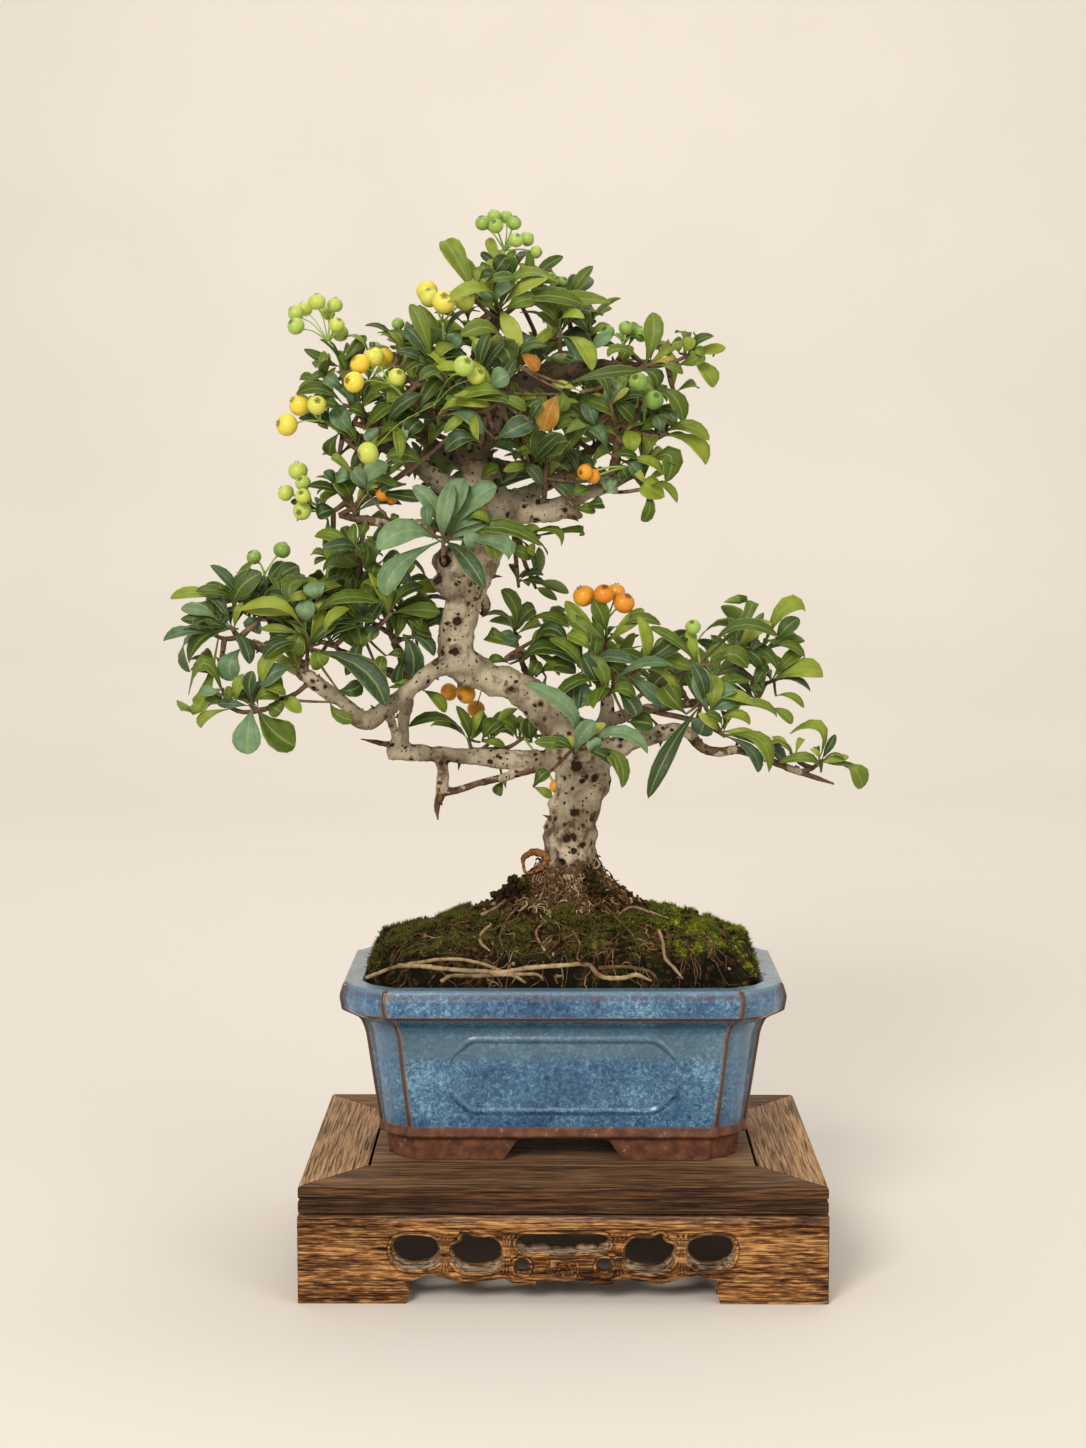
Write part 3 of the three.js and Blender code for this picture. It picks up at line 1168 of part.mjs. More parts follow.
// One berry with its stalk, between a face of the neck and the berry's face that looks back at it
function addBerry(body, neckFaces, neck, centre, radius) {
  const way = new THREE.Vector3().subVectors(centre, neck).normalize();
  const from = bestFace(body, neckFaces, way);
  if (from < 0) {
    return false;
  }
  const ballFaces = addBall(body, centre, radius);
  const into = bestFace(body, ballFaces, way.clone().negate());
  const [start, end] = [faceCentre(body, from), faceCentre(body, into)];
  const [a, b, c] = body.faces[into];
  const base = body.faces[from].map((i) => body.points[i]);
  const stalk = [0.35, 0.9].map((share) =>
    triangleRing(start.clone().lerp(end, share), way, STALK_RADIUS, firstSide(base)));
  const fits = fitRings(base, [...stalk, [a, c, b].map((i) => body.points[i])]);
  if (!fits) {
    return false;
  }
  const { edge } = grow(body, from, fits.slice(0, -1));
  body.faces[into] = null;
  const seat = fits.at(-1);
  const corners = [...edge, ...seat.ring.map((p) => [a, b, c].find((i) => body.points[i] === p))];
  seat.faces.forEach((face) => body.faces.push(face.map((i) => corners[i])));
  return true;
}

// Berry bunch: one stem to a neck, then a stalk to each berry
function buildBunch(name, bunch, number) {
  addNode(name, { color: bunch.colour, roughness: 0.35 });
  const start = place(bunch.from);
  const berries = spreadBerries(bunch);
  const centres = berries.map(place);
  const middle = centres.reduce((sum, p) => sum.add(p), new THREE.Vector3()).divideScalar(centres.length);
  const skip = (item) => item.name === name || touchesStart(item, start);
  for (let attempt = 0; attempt < TWIG_TRIES; attempt += 1) {
    const draw = draws(number * 53 + attempt + 7);
    const neck = start.clone().lerp(middle, 0.45 + 0.05 * attempt * (draw() - 0.5));
    neck.add(new THREE.Vector3((draw() - 0.5) * 1.6 * attempt, (draw() - 0.5) * 1.6 * attempt, 0));
    const body = { points: [], faces: [] };
    const neckFaces = addBall(body, neck, NECK_RADIUS);
    const down = new THREE.Vector3().subVectors(start, neck).normalize();
    const stemFace = bestFace(body, neckFaces, down);
    const stemBase = body.faces[stemFace].map((i) => body.points[i]);
    const stem = triangleRing(neck.clone().lerp(start, 0.6), down, STALK_RADIUS * 1.3, firstSide(stemBase));
    grow(body, stemFace, fitRings(stemBase, [stem, [start]]));
    const radii = berries.map((berry) => berry[3] * BERRY_SCALE);
    const whole = centres.map((centre, i) => addBerry(body, neckFaces, neck, centre, radii[i]));
    const simple = whole.every(Boolean) && isSimple(body.points, body.faces.filter(Boolean));
    if ((simple && isClear(skinSolid(body), name, skip)) || attempt === TWIG_TRIES - 1) {
      nodes.get(name).body = body;
      keepClear(name, 'stalk', tube([[start, STALK_RADIUS * 1.3], [neck, NECK_RADIUS]], 4, FAT.stalk));
      centres.forEach((centre, i) => {
        keepClear(name, 'stalk', tube([[neck, STALK_RADIUS], [centre, STALK_RADIUS]], 3, FAT.twig));
        keepClear(name, 'berry', ball(centre, radii[i] + FAT.berry));
      });
      return;
    }
  }
}

// Whether a kept-out solid is the one that a bunch grows from
function touchesStart(item, start) {
  const p = [start.x, start.y, start.z];
  return (item.kind === 'limb' || item.kind === 'twig')
    && [0, 1, 2].every((i) => p[i] > item.box.min[i] - 0.5 && p[i] < item.box.max[i] + 0.5);
}

// Leaves of one rosette, each from the face of the shoot that looks its way
function addLeaves(rosette) {
  const { name, body, leafFaces, centre, axis, order } = rosette;
  const front = centre.y < BACK_LEAF_DEPTH;
  const facing = new THREE.Vector3(0, front ? -0.9 : 0.9, 0.5).addScaledVector(axis, 0.4);
  const total = rosette.tips.length + rosette.leaves;
  for (let leaf = 0; leaf < total; leaf += 1) {
    const target = rosette.tips[leaf];
    for (let attempt = 0; attempt < LEAF_TRIES; attempt += 1) {
      const tip = target
        ? aimedTip(target, attempt)
        : leafTip(centre, axis, rosette.length, leaf, attempt, rosette.seed);
      const way = new THREE.Vector3().subVectors(tip, centre);
      const width = Math.min(LEAF.most, Math.max(LEAF.least, way.length() * LEAF.widthRatio));
      way.normalize();
      const face = bestFace(body, leafFaces, way);
      if (face < 0) {
        continue;
      }
      const root = faceCentre(body, face);
      const base = body.faces[face].map((i) => body.points[i]);
      const raises = LEAF_ROLLS.map((roll) => facing.clone().applyAxisAngle(way, roll));
      const raise = raises.find((side) => fitRings(base, bladeRings(root, tip, side, width)));
      if (!raise) {
        continue;
      }
      const fits = fitRings(base, bladeRings(root, tip, raise, width));
      const solid = growthSolid(base, fits);
      if (isClear(solid, name, () => false, order)) {
        grow(body, face, fits);
        const fatRings = [triangleRing(root, way, 1.2), ...bladeRings(root, tip, raise, width, FAT.leaf)];
        keepClear(name, 'leaf', toSolid(loft(fatRings)), solid, order);
        break;
      }
    }
  }
}

// Cut each spray and bunch clear of what carries it
function seat(name, carriers) {
  const node = nodes.get(name);
  let solid = skinSolid(node.body);
  for (const item of keepOut) {
    if (carriers(item) && item.name !== name && boxesMeet(solid.boundingBox(), item.box)) {
      solid = solid.subtract(item.fat);
    }
  }
  node.geometry = largestBody(solid);
}

buildStand();
buildPot();
buildDrainMeshes();
const woodFat = buildWood();
buildSoil(woodFat);
mossPatch('moss_left', LOOKS.mossLeft, 2, 6, 8, 15, woodFat);
mossPatch('moss_right', LOOKS.mossRight, 2, 6, 17, 25, woodFat);
Object.entries(SPRAYS).forEach(([name, spray], number) => buildTwigs(name, spray, number + 1));
Object.entries(BUNCHES).forEach(([name, bunch], number) => buildBunch(name, bunch, number + 1));
rosettes.forEach((rosette) => addLeaves(rosette));
Object.keys(SPRAYS).forEach((name) => seat(name, (item) => item.kind === 'limb'));
Object.keys(BUNCHES).forEach((name) => seat(name, (item) => ['limb', 'twig'].includes(item.kind)));

// Group with the middle of its box over the origin
const group = new THREE.Group();
for (const [name, { look, geometry }] of nodes) {
  const mesh = new THREE.Mesh(geometry, new THREE.MeshStandardMaterial({ metalness: 0, ...look }));
  mesh.name = name;
  group.add(mesh);
}
const box = new THREE.Box3().setFromObject(group);
const middle = box.getCenter(new THREE.Vector3());
group.position.set(-middle.x, -middle.y, -box.min.z);

export default group;
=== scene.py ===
"""Pyracantha bonsai in a glazed pot on a carved stand: the fine pieces, materials, light and camera."""

import math
import random

import bpy
import numpy as np
from mathutils import Matrix, Vector, noise
from mathutils.kdtree import KDTree


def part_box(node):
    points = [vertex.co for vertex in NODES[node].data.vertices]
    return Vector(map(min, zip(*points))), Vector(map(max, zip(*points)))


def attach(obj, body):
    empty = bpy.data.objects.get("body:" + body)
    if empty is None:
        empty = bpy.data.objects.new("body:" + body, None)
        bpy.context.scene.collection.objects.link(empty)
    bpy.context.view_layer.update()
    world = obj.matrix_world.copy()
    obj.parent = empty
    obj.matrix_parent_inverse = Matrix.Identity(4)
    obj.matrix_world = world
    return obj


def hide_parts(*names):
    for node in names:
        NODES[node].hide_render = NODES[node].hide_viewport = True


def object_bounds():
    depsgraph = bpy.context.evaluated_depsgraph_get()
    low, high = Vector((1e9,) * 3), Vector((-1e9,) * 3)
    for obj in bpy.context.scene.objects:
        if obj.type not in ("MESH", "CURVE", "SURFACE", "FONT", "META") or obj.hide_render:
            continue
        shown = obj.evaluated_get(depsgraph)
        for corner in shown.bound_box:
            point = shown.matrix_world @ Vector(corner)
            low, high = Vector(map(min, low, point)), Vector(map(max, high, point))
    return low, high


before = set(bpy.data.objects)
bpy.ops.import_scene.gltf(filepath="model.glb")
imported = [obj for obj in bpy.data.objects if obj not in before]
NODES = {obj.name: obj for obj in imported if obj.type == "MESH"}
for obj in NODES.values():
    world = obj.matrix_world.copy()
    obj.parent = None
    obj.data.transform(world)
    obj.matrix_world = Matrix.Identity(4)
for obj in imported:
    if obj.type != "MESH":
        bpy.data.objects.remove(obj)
CAD_BOX = [list(corner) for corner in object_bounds()]

# Lengths are in millimetres, in the stand's own frame, until a piece is made
MM = 0.001
PANEL_LOW, PANEL_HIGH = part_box("stand_panel")
SHIFT = Vector(((PANEL_LOW.x + PANEL_HIGH.x) / 2 / MM, (PANEL_LOW.y + PANEL_HIGH.y) / 2 / MM, 0))
# Limbs as [across, down, depth, radius]; the first runs from root to crown
LIMBS = [
    [[566, 930, 0, 15], [566, 905, 0, 15], [567, 884, 0, 13.5], [570, 862, -1, 12], [571, 838, -2, 11.8],
        [577, 800, -2, 11.6], [584, 768, 0, 12.5], [566, 737, 3, 10.5], [544, 706, 4, 8.6],
        [519, 688, 4, 7.4], [488, 677, 2, 7.2], [461, 663, -2, 8.6], [455, 641, -4, 8],
        [461, 612, -4, 8], [467, 588, -2, 8.8], [478, 560, 1, 10], [487, 533, 4, 9.6],
        [492, 510, 5, 9.6], [488, 486, 5, 8.6], [477, 462, 2, 7.8], [472, 438, -1, 7.4],
        [480, 414, -3, 7.2], [504, 398, -3, 7.4], [532, 382, 0, 6.8], [562, 369, 6, 4.6]],
    [[474, 566, -2, 7], [452, 561, -8, 7], [437, 567, -11, 5.6]],
    [[470, 588, -4, 5], [450, 590, -12, 4.6], [436, 576, -13, 4]],
    [[484, 418, -3, 5], [473, 385, -2, 4.4], [482, 352, 2, 3.8], [492, 330, 4, 3], [499, 302, 3, 1.9]],
    [[480, 418, -4, 4.5], [455, 412, -14, 3.6], [434, 409, -20, 3], [416, 402, -24, 2.2],
        [404, 397, -24, 1.6]],
    [[486, 490, 3, 6], [450, 488, -2, 4.8], [420, 467, -4, 4.2], [392, 450, -6, 3.2], [368, 441, -8, 2.4],
        [352, 437, -10, 1.7]],
    [[392, 450, -6, 3], [372, 426, -2, 2.4], [354, 404, 2, 2], [345, 386, 2, 1.5]],
    [[480, 536, -2, 4], [440, 527, -12, 3], [400, 524, -10, 2.4], [364, 520, -6, 2], [340, 515, -4, 1.5]],
    [[494, 506, 5, 7.6], [526, 509, 4, 6.4], [556, 508, 2, 5.4], [582, 496, 4, 3.8], [606, 486, 4, 2.8],
        [626, 478, 2, 1.9]],
    [[556, 508, 2, 4.6], [572, 512, 0, 3.4], [583, 517, -1, 1.2]],
    [[604, 487, 4, 2.8], [614, 470, 2, 2.4], [617, 450, 0, 2], [617, 436, -2, 1.6]],
    [[488, 470, 4, 5], [524, 468, 12, 3.2], [556, 462, 16, 2.6], [588, 452, 14, 2], [604, 440, 12, 1.5]],
    [[545, 378, 3, 4.4], [582, 368, 8, 3.4], [612, 365, 8, 2.6], [640, 366, 4, 1.8]],
    [[484, 440, 4, 5.5], [500, 420, 26, 4], [508, 406, 42, 2.8], [512, 394, 52, 2]],
    [[488, 478, 8, 5], [462, 462, 28, 3.6], [440, 448, 42, 2.6], [426, 438, 50, 1.8]],
    [[508, 502, 8, 5], [540, 488, 26, 3.4], [568, 472, 38, 2.6], [588, 458, 44, 1.8]],
    [[478, 452, -4, 4.5], [490, 436, -20, 3.2], [497, 422, -32, 2.4], [500, 408, -38, 1.7]],
    [[463, 664, -4, 6], [437, 668, -10, 4.2], [413, 687, -15, 3.7], [390, 706, -18, 3.9],
        [364, 721, -19, 4], [342, 702, -18, 3.6], [320, 686, -16, 3.4], [297, 669, -14, 3],
        [272, 653, -14, 2.6], [252, 643, -13, 2]],
    [[572, 760, 2, 6], [548, 761, 4, 4.8], [503, 759, 6, 4.4], [470, 757, 6, 3.7], [436, 754, 5, 3.7],
        [403, 752, 4, 3.7], [388, 753, 4, 3.3]],
    [[403, 749, 4, 3], [404, 720, 8, 2.8], [408, 697, 12, 2.6], [404, 664, 16, 2.3], [394, 642, 16, 1.8]],
    [[402, 748, 4, 2.8], [394, 730, -2, 2.4], [387, 712, -14, 2.6]],
    [[404, 680, 14, 2.4], [372, 664, 26, 2.1], [342, 652, 32, 1.7]],
    [[441, 756, 4, 3.4], [443, 773, 2, 2.8], [441, 794, 0, 2.3], [437, 806, -1, 1.5],
        [438, 820, -2, 0.3]],
    [[441, 792, 0, 2], [458, 790, 0, 1.6], [476, 784, 1, 1.5], [502, 778, 3, 1.6], [526, 771, 4, 1.8],
        [566, 764, 2, 2.2]],
    [[398, 747, 2, 1.6], [380, 743, -3, 1.2], [361, 739, -7, 0.3]],
    [[588, 762, 0, 8], [612, 750, -2, 5.6], [634, 740, -4, 4.6], [660, 734, -6, 4], [684, 731, -8, 3.2],
        [700, 746, -10, 2.2], [716, 752, -11, 2.1], [738, 750, -12, 1.9], [762, 757, -12, 1.7],
        [788, 768, -12, 1.5], [814, 777, -12, 1.2], [834, 784, -12, 0.5]],
    [[590, 752, 3, 6.5], [602, 730, 6, 4.8], [608, 708, 6, 3.2], [600, 682, 2, 2.4], [604, 664, 0, 1.8]],
    [[604, 722, 8, 4], [636, 712, 18, 3], [668, 706, 26, 2.4], [706, 702, 28, 2], [744, 700, 26, 1.6]],
    [[580, 730, 6, 4], [556, 704, 16, 2.6], [534, 684, 18, 2.1], [524, 668, 16, 1.6]],
    [[596, 756, -6, 5], [584, 756, -18, 2.8], [576, 758, -24, 1.8]],
    [[472, 586, 4, 3], [486, 604, 8, 2.4], [482, 616, 8, 1.2]],
    [[500, 404, -2, 4.4], [516, 410, -9, 4], [524, 413, -12, 3.8]],
]

# Sprays: where each leaves its limb, its rosettes as [across, down, depth, leaves, leaf length], and the
# tips of single long leaves as [rosette, across, down, depth]
SPRAYS = {
    "spray_crown_top": {
        "from": [493, 324, 3],
        "rosettes": [[500, 308, -8, 2, 22], [476, 302, -14, 1, 20], [501, 268, 2, 3, 17],
            [530, 284, 8, 3, 18]],
        "tips": [[0, 588, 303, -10], [0, 548, 278, -16], [0, 446, 296, -22], [1, 444, 237, -12],
            [0, 520, 352, -30], [2, 480, 252, 4], [2, 516, 248, 0]],
    },
    "spray_crown_top_right": {
        "from": [560, 371, 5],
        "rosettes": [[560, 330, 0, 4, 22], [588, 336, 8, 3, 22], [566, 300, 10, 3, 20]],
        "tips": [[0, 611, 302, 4], [0, 553, 352, -14], [0, 596, 366, -18], [1, 589, 318, 2]],
    },
    "spray_crown_right_high": {
        "from": [640, 366, 4],
        "rosettes": [[650, 364, 2, 3, 22], [692, 354, 0, 4, 14], [622, 348, 12, 3, 21]],
        "tips": [[0, 652, 310, 0], [1, 718, 386, -4], [1, 704, 340, 2], [0, 606, 352, -12],
            [0, 640, 330, 14]],
    },
    "spray_crown_right_mid": {
        "from": [617, 436, -2],
        "rosettes": [[614, 410, -6, 4, 21], [644, 424, 4, 3, 22], [668, 434, 0, 2, 20]],
        "tips": [[0, 576, 400, -6], [0, 572, 426, 4], [1, 684, 408, 2], [2, 710, 440, -4],
            [2, 707, 465, 2], [0, 624, 372, -14]],
    },
    "spray_crown_right_low": {
        "from": [626, 478, 2],
        "rosettes": [[642, 468, -4, 3, 22], [648, 488, -4, 2, 16]],
        "tips": [[0, 672, 484, -10], [1, 640, 524, -4], [1, 666, 496, -6], [0, 655, 428, 6]],
    },
    "spray_crown_inner_right": {
        "from": [540, 508, 3],
        "rosettes": [[548, 478, -8, 4, 20], [528, 462, -16, 3, 20]],
        "tips": [[0, 566, 434, -14], [0, 572, 498, -18], [1, 504, 470, -26]],
    },
    "spray_crown_under": {
        "from": [506, 508, 5],
        "rosettes": [[520, 540, 10, 3, 17]],
        "tips": [[0, 562, 546, 4], [0, 534, 570, 8], [0, 582, 536, 12]],
    },
    "spray_crown_face": {
        "from": [500, 408, -38],
        "rosettes": [[496, 392, -42, 3, 20], [476, 372, -38, 3, 20], [512, 362, -30, 4, 20],
            [470, 412, -40, 3, 20]],
        "tips": [[3, 442, 432, -48], [3, 478, 440, -50], [0, 530, 410, -46], [2, 548, 340, -34]],
    },
    "spray_crown_upper_left": {
        "from": [404, 397, -24],
        "rosettes": [[426, 366, -26, 3, 20], [444, 342, -16, 3, 22], [400, 344, -10, 3, 18],
            [448, 386, -34, 2, 20]],
        "tips": [[0, 415, 312, -24], [1, 420, 304, -14], [2, 388, 330, -8], [0, 466, 350, -30],
            [3, 470, 358, -40]],
    },
    "spray_crown_left_high": {
        "from": [345, 386, 2],
        "rosettes": [[340, 360, 2, 4, 16], [324, 384, 0, 3, 18], [372, 380, -4, 3, 20]],
        "tips": [[0, 304, 349, 0], [0, 368, 334, 4], [1, 306, 382, -4], [1, 312, 406, -6]],
    },
    "spray_crown_left_mid": {
        "from": [352, 437, -10],
        "rosettes": [[336, 428, -8, 3, 19], [362, 406, -14, 3, 20], [392, 424, -20, 4, 20]],
        "tips": [[0, 303, 400, -8], [0, 330, 456, -4], [2, 420, 392, -26], [2, 400, 458, -34]],
    },
    "spray_crown_left_low": {
        "from": [340, 515, -4],
        "rosettes": [[366, 490, -12, 4, 22], [340, 494, -6, 3, 20], [322, 512, -2, 2, 18]],
        "tips": [[0, 330, 458, -14], [0, 392, 462, -20], [0, 424, 500, -22], [1, 316, 476, -10]],
    },
    "spray_crown_left_hanging": {
        "from": [366, 520, -7],
        "rosettes": [[356, 560, -10, 3, 22], [378, 566, -4, 3, 22]],
        "tips": [[0, 312, 528, -14], [0, 330, 566, -16], [1, 384, 524, -8]],
    },
    "spray_knot_blue": {
        "from": [444, 566, -10],
        "rosettes": [[443, 538, -24, 2, 24]],
        "tips": [[0, 376, 548, -36], [0, 386, 594, -38], [0, 452, 478, -34], [0, 497, 486, -30],
            [0, 541, 546, -38], [0, 481, 580, -40], [0, 412, 484, -28], [0, 508, 560, -24]],
    },
    "spray_crown_back_high": {
        "from": [512, 394, 52],
        "rosettes": [[506, 372, 50, 5, 23], [478, 350, 42, 5, 23], [540, 364, 44, 5, 23],
            [508, 408, 62, 5, 22], [470, 398, 54, 4, 22]],
        "tips": [],
    },
    "spray_crown_back_left": {
        "from": [426, 438, 50],
        "rosettes": [[410, 424, 46, 5, 23], [386, 402, 36, 4, 22], [388, 452, 42, 5, 22],
            [440, 426, 60, 5, 22], [414, 378, 34, 4, 22], [440, 490, 46, 4, 22]],
        "tips": [],
    },
    "spray_crown_back_right": {
        "from": [588, 458, 44],
        "rosettes": [[598, 440, 40, 5, 23], [566, 424, 50, 5, 23], [624, 420, 30, 4, 22],
            [562, 480, 54, 5, 22], [608, 396, 34, 4, 22], [520, 448, 54, 4, 22]],
        "tips": [],
    },
    "spray_left_tip": {
        "from": [252, 643, -13],
        "rosettes": [[230, 626, -14, 3, 21], [236, 600, -8, 4, 21], [212, 634, -18, 2, 20]],
        "tips": [[1, 166, 592, -12], [1, 209, 589, -4], [2, 184, 697, -24], [2, 188, 672, -10],
            [0, 252, 662, -26]],
    },
    "spray_left_mid": {
        "from": [305, 675, -15],
        "rosettes": [[308, 646, -22, 3, 22], [330, 622, -26, 2, 22], [304, 612, -14, 3, 22],
            [276, 618, -6, 2, 20], [262, 590, 2, 3, 22]],
        "tips": [[0, 386, 706, -38], [0, 258, 650, -34], [0, 262, 682, -30], [1, 352, 590, -30],
            [4, 298, 562, 0], [2, 308, 577, -8], [4, 236, 572, 8], [2, 243, 606, -24]],
    },
    "spray_left_inner": {
        "from": [394, 642, 16],
        "rosettes": [[386, 618, 4, 4, 23], [352, 596, 2, 4, 22], [398, 590, 12, 3, 22],
            [362, 632, -8, 3, 22], [416, 636, 0, 3, 21]],
        "tips": [[0, 438, 616, -8], [1, 340, 566, 6], [1, 312, 606, -8], [2, 392, 556, 16],
            [4, 404, 682, -16], [3, 346, 676, -18]],
    },
    "spray_left_back": {
        "from": [342, 652, 32],
        "rosettes": [[328, 636, 30, 5, 22], [296, 622, 28, 5, 22], [362, 612, 36, 5, 22],
            [332, 596, 30, 4, 22], [268, 612, 24, 4, 21], [300, 650, 36, 4, 21]],
        "tips": [],
    },
    "spray_left_hanging": {
        "from": [312, 680, -16],
        "rosettes": [[280, 698, -22, 3, 17], [250, 706, -24, 2, 16], [226, 706, -22, 2, 13]],
        "tips": [[1, 247, 755, -30], [1, 296, 746, -24], [2, 196, 729, -24], [2, 185, 694, -24],
            [0, 302, 712, -28]],
    },
    "spray_right_left": {
        "from": [524, 668, 16],
        "rosettes": [[514, 630, 14, 4, 18], [532, 652, 8, 4, 21], [548, 632, 20, 3, 20]],
        "tips": [[0, 501, 590, 12], [0, 537, 606, 10], [1, 486, 632, 8], [1, 568, 640, -4],
            [1, 562, 674, -8]],
    },
    "spray_right_centre": {
        "from": [604, 664, 0],
        "rosettes": [[606, 640, -2, 4, 21], [588, 672, -8, 3, 22], [640, 668, -8, 3, 23],
            [612, 690, -16, 3, 21]],
        "tips": [[0, 562, 600, -4], [0, 648, 606, -4], [2, 690, 630, -10], [1, 576, 716, -26],
            [3, 550, 690, -30], [3, 636, 716, -26], [2, 680, 706, -18]],
    },
    "spray_right_front": {
        "from": [576, 758, -24],
        "rosettes": [[574, 748, -34, 2, 14]],
        "tips": [[0, 524, 682, -46], [0, 654, 748, -44], [0, 623, 784, -40], [0, 534, 742, -44],
            [0, 606, 722, -40]],
    },
    "spray_right_mid": {
        "from": [690, 736, -8],
        "rosettes": [[702, 700, -14, 4, 22], [700, 664, -6, 4, 22], [724, 736, -18, 3, 20]],
        "tips": [[0, 652, 784, -20], [0, 756, 700, -24], [2, 762, 774, -22], [2, 788, 770, -14],
            [1, 724, 602, 2], [1, 650, 650, -8]],
    },
    "spray_right_tip": {
        "from": [744, 700, 26],
        "rosettes": [[762, 652, 14, 4, 21], [774, 680, 10, 3, 20], [734, 656, 8, 4, 22],
            [754, 700, 2, 3, 21]],
        "tips": [[0, 722, 600, 14], [0, 810, 606, 12], [1, 828, 667, 8], [0, 796, 634, 20],
            [1, 812, 690, 4], [0, 690, 624, 6]],
    },
    "spray_right_end": {
        "from": [800, 772, -12],
        "rosettes": [[822, 760, -10, 2, 12], [790, 752, -8, 2, 14]],
        "tips": [[0, 868, 780, -12], [0, 788, 730, -6], [0, 836, 734, -12]],
    },
    "spray_right_back": {
        "from": [690, 703, 27],
        "rosettes": [[680, 684, 36, 5, 22], [650, 688, 32, 5, 22], [716, 676, 40, 5, 22],
            [620, 668, 24, 4, 22], [742, 668, 36, 4, 21]],
        "tips": [],
    },
    "spray_under_arch": {
        "from": [476, 757, 6],
        "rosettes": [[468, 738, 12, 3, 18], [494, 738, 14, 4, 18], [524, 738, 16, 3, 18]],
        "tips": [[0, 408, 726, 6], [1, 480, 718, 10], [2, 538, 716, 12]],
    },
}

# Berry bunches: the twig point that carries each, and its berries as [across, down, depth, radius]
BUNCHES = {
    "berries_apex_green": {
        "from": [501, 268, 2],
        "berries": [[483, 223, -2, 3.4], [494, 216, 6, 3], [506, 217, 8, 3], [514, 223, 0, 3.2],
            [496, 226, -6, 3.2], [516, 240, -6, 3.2], [527, 239, 4, 3.2], [536, 252, 0, 2.8]],
    },
    "berries_top_yellow": {
        "from": [444, 342, -16],
        "berries": [[427, 291, -12, 4.6], [430, 298, -24, 4.2], [444, 302, -30, 4.9],
            [464, 300, -22, 4.6]],
    },
    "berries_left_top": {
        "from": [340, 360, 2],
        "berries": [[296, 313, 0, 3.6], [305, 309, 8, 3.4], [317, 302, -4, 3.8], [335, 305, 2, 3.4],
            [296, 326, -6, 3.8], [328, 313, 10, 3.2], [337, 325, -6, 3.4], [340, 333, 4, 3.8]],
    },
    "berries_left_orange": {
        "from": [404, 398, -24],
        "berries": [[374, 357, -26, 4.4], [384, 358, -18, 4.4], [360, 364, -32, 4.2],
            [354, 382, -36, 4.4], [397, 377, -30, 3.8]],
    },
    "berries_left_yellow": {
        "from": [336, 428, -8],
        "berries": [[300, 405, -16, 4.8], [317, 405, -20, 4.2], [287, 425, -18, 4.8]],
    },
    "berries_left_green": {
        "from": [322, 512, -2],
        "berries": [[298, 471, -6, 4.2], [303, 483, -10, 3.4], [286, 493, -4, 3.6], [303, 496, -16, 3.4],
            [302, 511, -10, 4]],
    },
    "berries_face_green": {
        "from": [434, 409, -20],
        "berries": [[464, 366, -50, 4.4], [476, 376, -48, 3.8], [368, 453, -40, 4.7]],
    },
    "berries_right_crown": {
        "from": [644, 424, 4],
        "berries": [[638, 382, -10, 4.2], [645, 385, -2, 4], [654, 400, -8, 4.2]],
    },
    "berries_right_high": {
        "from": [622, 348, 12],
        "berries": [[626, 328, 10, 3.2], [641, 335, 14, 3.2], [608, 332, 8, 3]],
    },
    "berries_left_pad": {
        "from": [262, 590, 2],
        "berries": [[254, 557, 0, 3.3], [282, 550, 4, 3.8]],
    },
    "berries_orange": {
        "from": [606, 640, -2],
        "berries": [[584, 596, -4, 4.9], [604, 594, -8, 4.4], [616, 592, 2, 4], [624, 603, -6, 4.7]],
    },
    "berries_right_green": {
        "from": [700, 664, -6],
        "berries": [[693, 627, -12, 3.4]],
    },
    "berries_fork_orange": {
        "from": [488, 677, 2],
        "berries": [[449, 692, 24, 4], [466, 694, 10, 4.4], [476, 709, 26, 4]],
    },
}

# Twigs nearer than this face the front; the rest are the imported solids' own measures and tries
SPLIT_DEPTH = 14
BERRY_SCALE = 1.06
LEAF_WIDTH = 0.31
LEAF_TRIES = 18
TWIG_TRIES = 16
TWIG_RADIUS = 1.5
NECK_RADIUS = 1.7
# The mound: heights and half widths, its share of the rise from the middle to the rim, and its spokes
MOUND = {"rim": 133, "rise": 43, "half_length": 88.9, "half_depth": 48.9}
MOUND_PROFILE = [(0, 1), (0.22, 0.88), (0.42, 0.73), (0.62, 0.6), (0.8, 0.47), (0.92, 0.33), (1, 0)]
MOUND_SPOKES = 22
# Dips of the soil's surface as [across, half width, depth]
DIPS = [[-52, 24, 3.4], [48, 22, 1.8]]

# The view that the places are read from, and its camera
FOCAL, ACROSS, DOWN = 2400, 543, 724
IMAGE_HEIGHT = 1448
EYE = Vector((-2.8, -1094, 352))
PITCH, YAW = math.radians(5.57), math.radians(0.334)
FORWARD = Vector((-math.sin(YAW) * math.cos(PITCH), math.cos(YAW) * math.cos(PITCH), -math.sin(PITCH)))
RIGHT = Vector((math.cos(YAW), math.sin(YAW), 0))
UP = RIGHT.cross(FORWARD)


def draws(seed):
    """Seeded draws in [0, 1), the same as those that placed the twigs and leaves."""
    state = (seed * 7919 + 17) % 2147483647
    count = 0
    while True:
        state = (state * 16807) % 2147483647
        count += 1
        if count > 3:
            yield state / 2147483647


def sight(across, down):
    """The way from the eye through a place of the picture."""
    return FORWARD + RIGHT * ((across - ACROSS) / FOCAL) + UP * ((DOWN - down) / FOCAL)


def place(across, down, depth):
    """Real place of a point of the front view at a given depth."""
    ray = sight(across, down)
    return EYE + ray * ((depth - EYE.y) / ray.y)


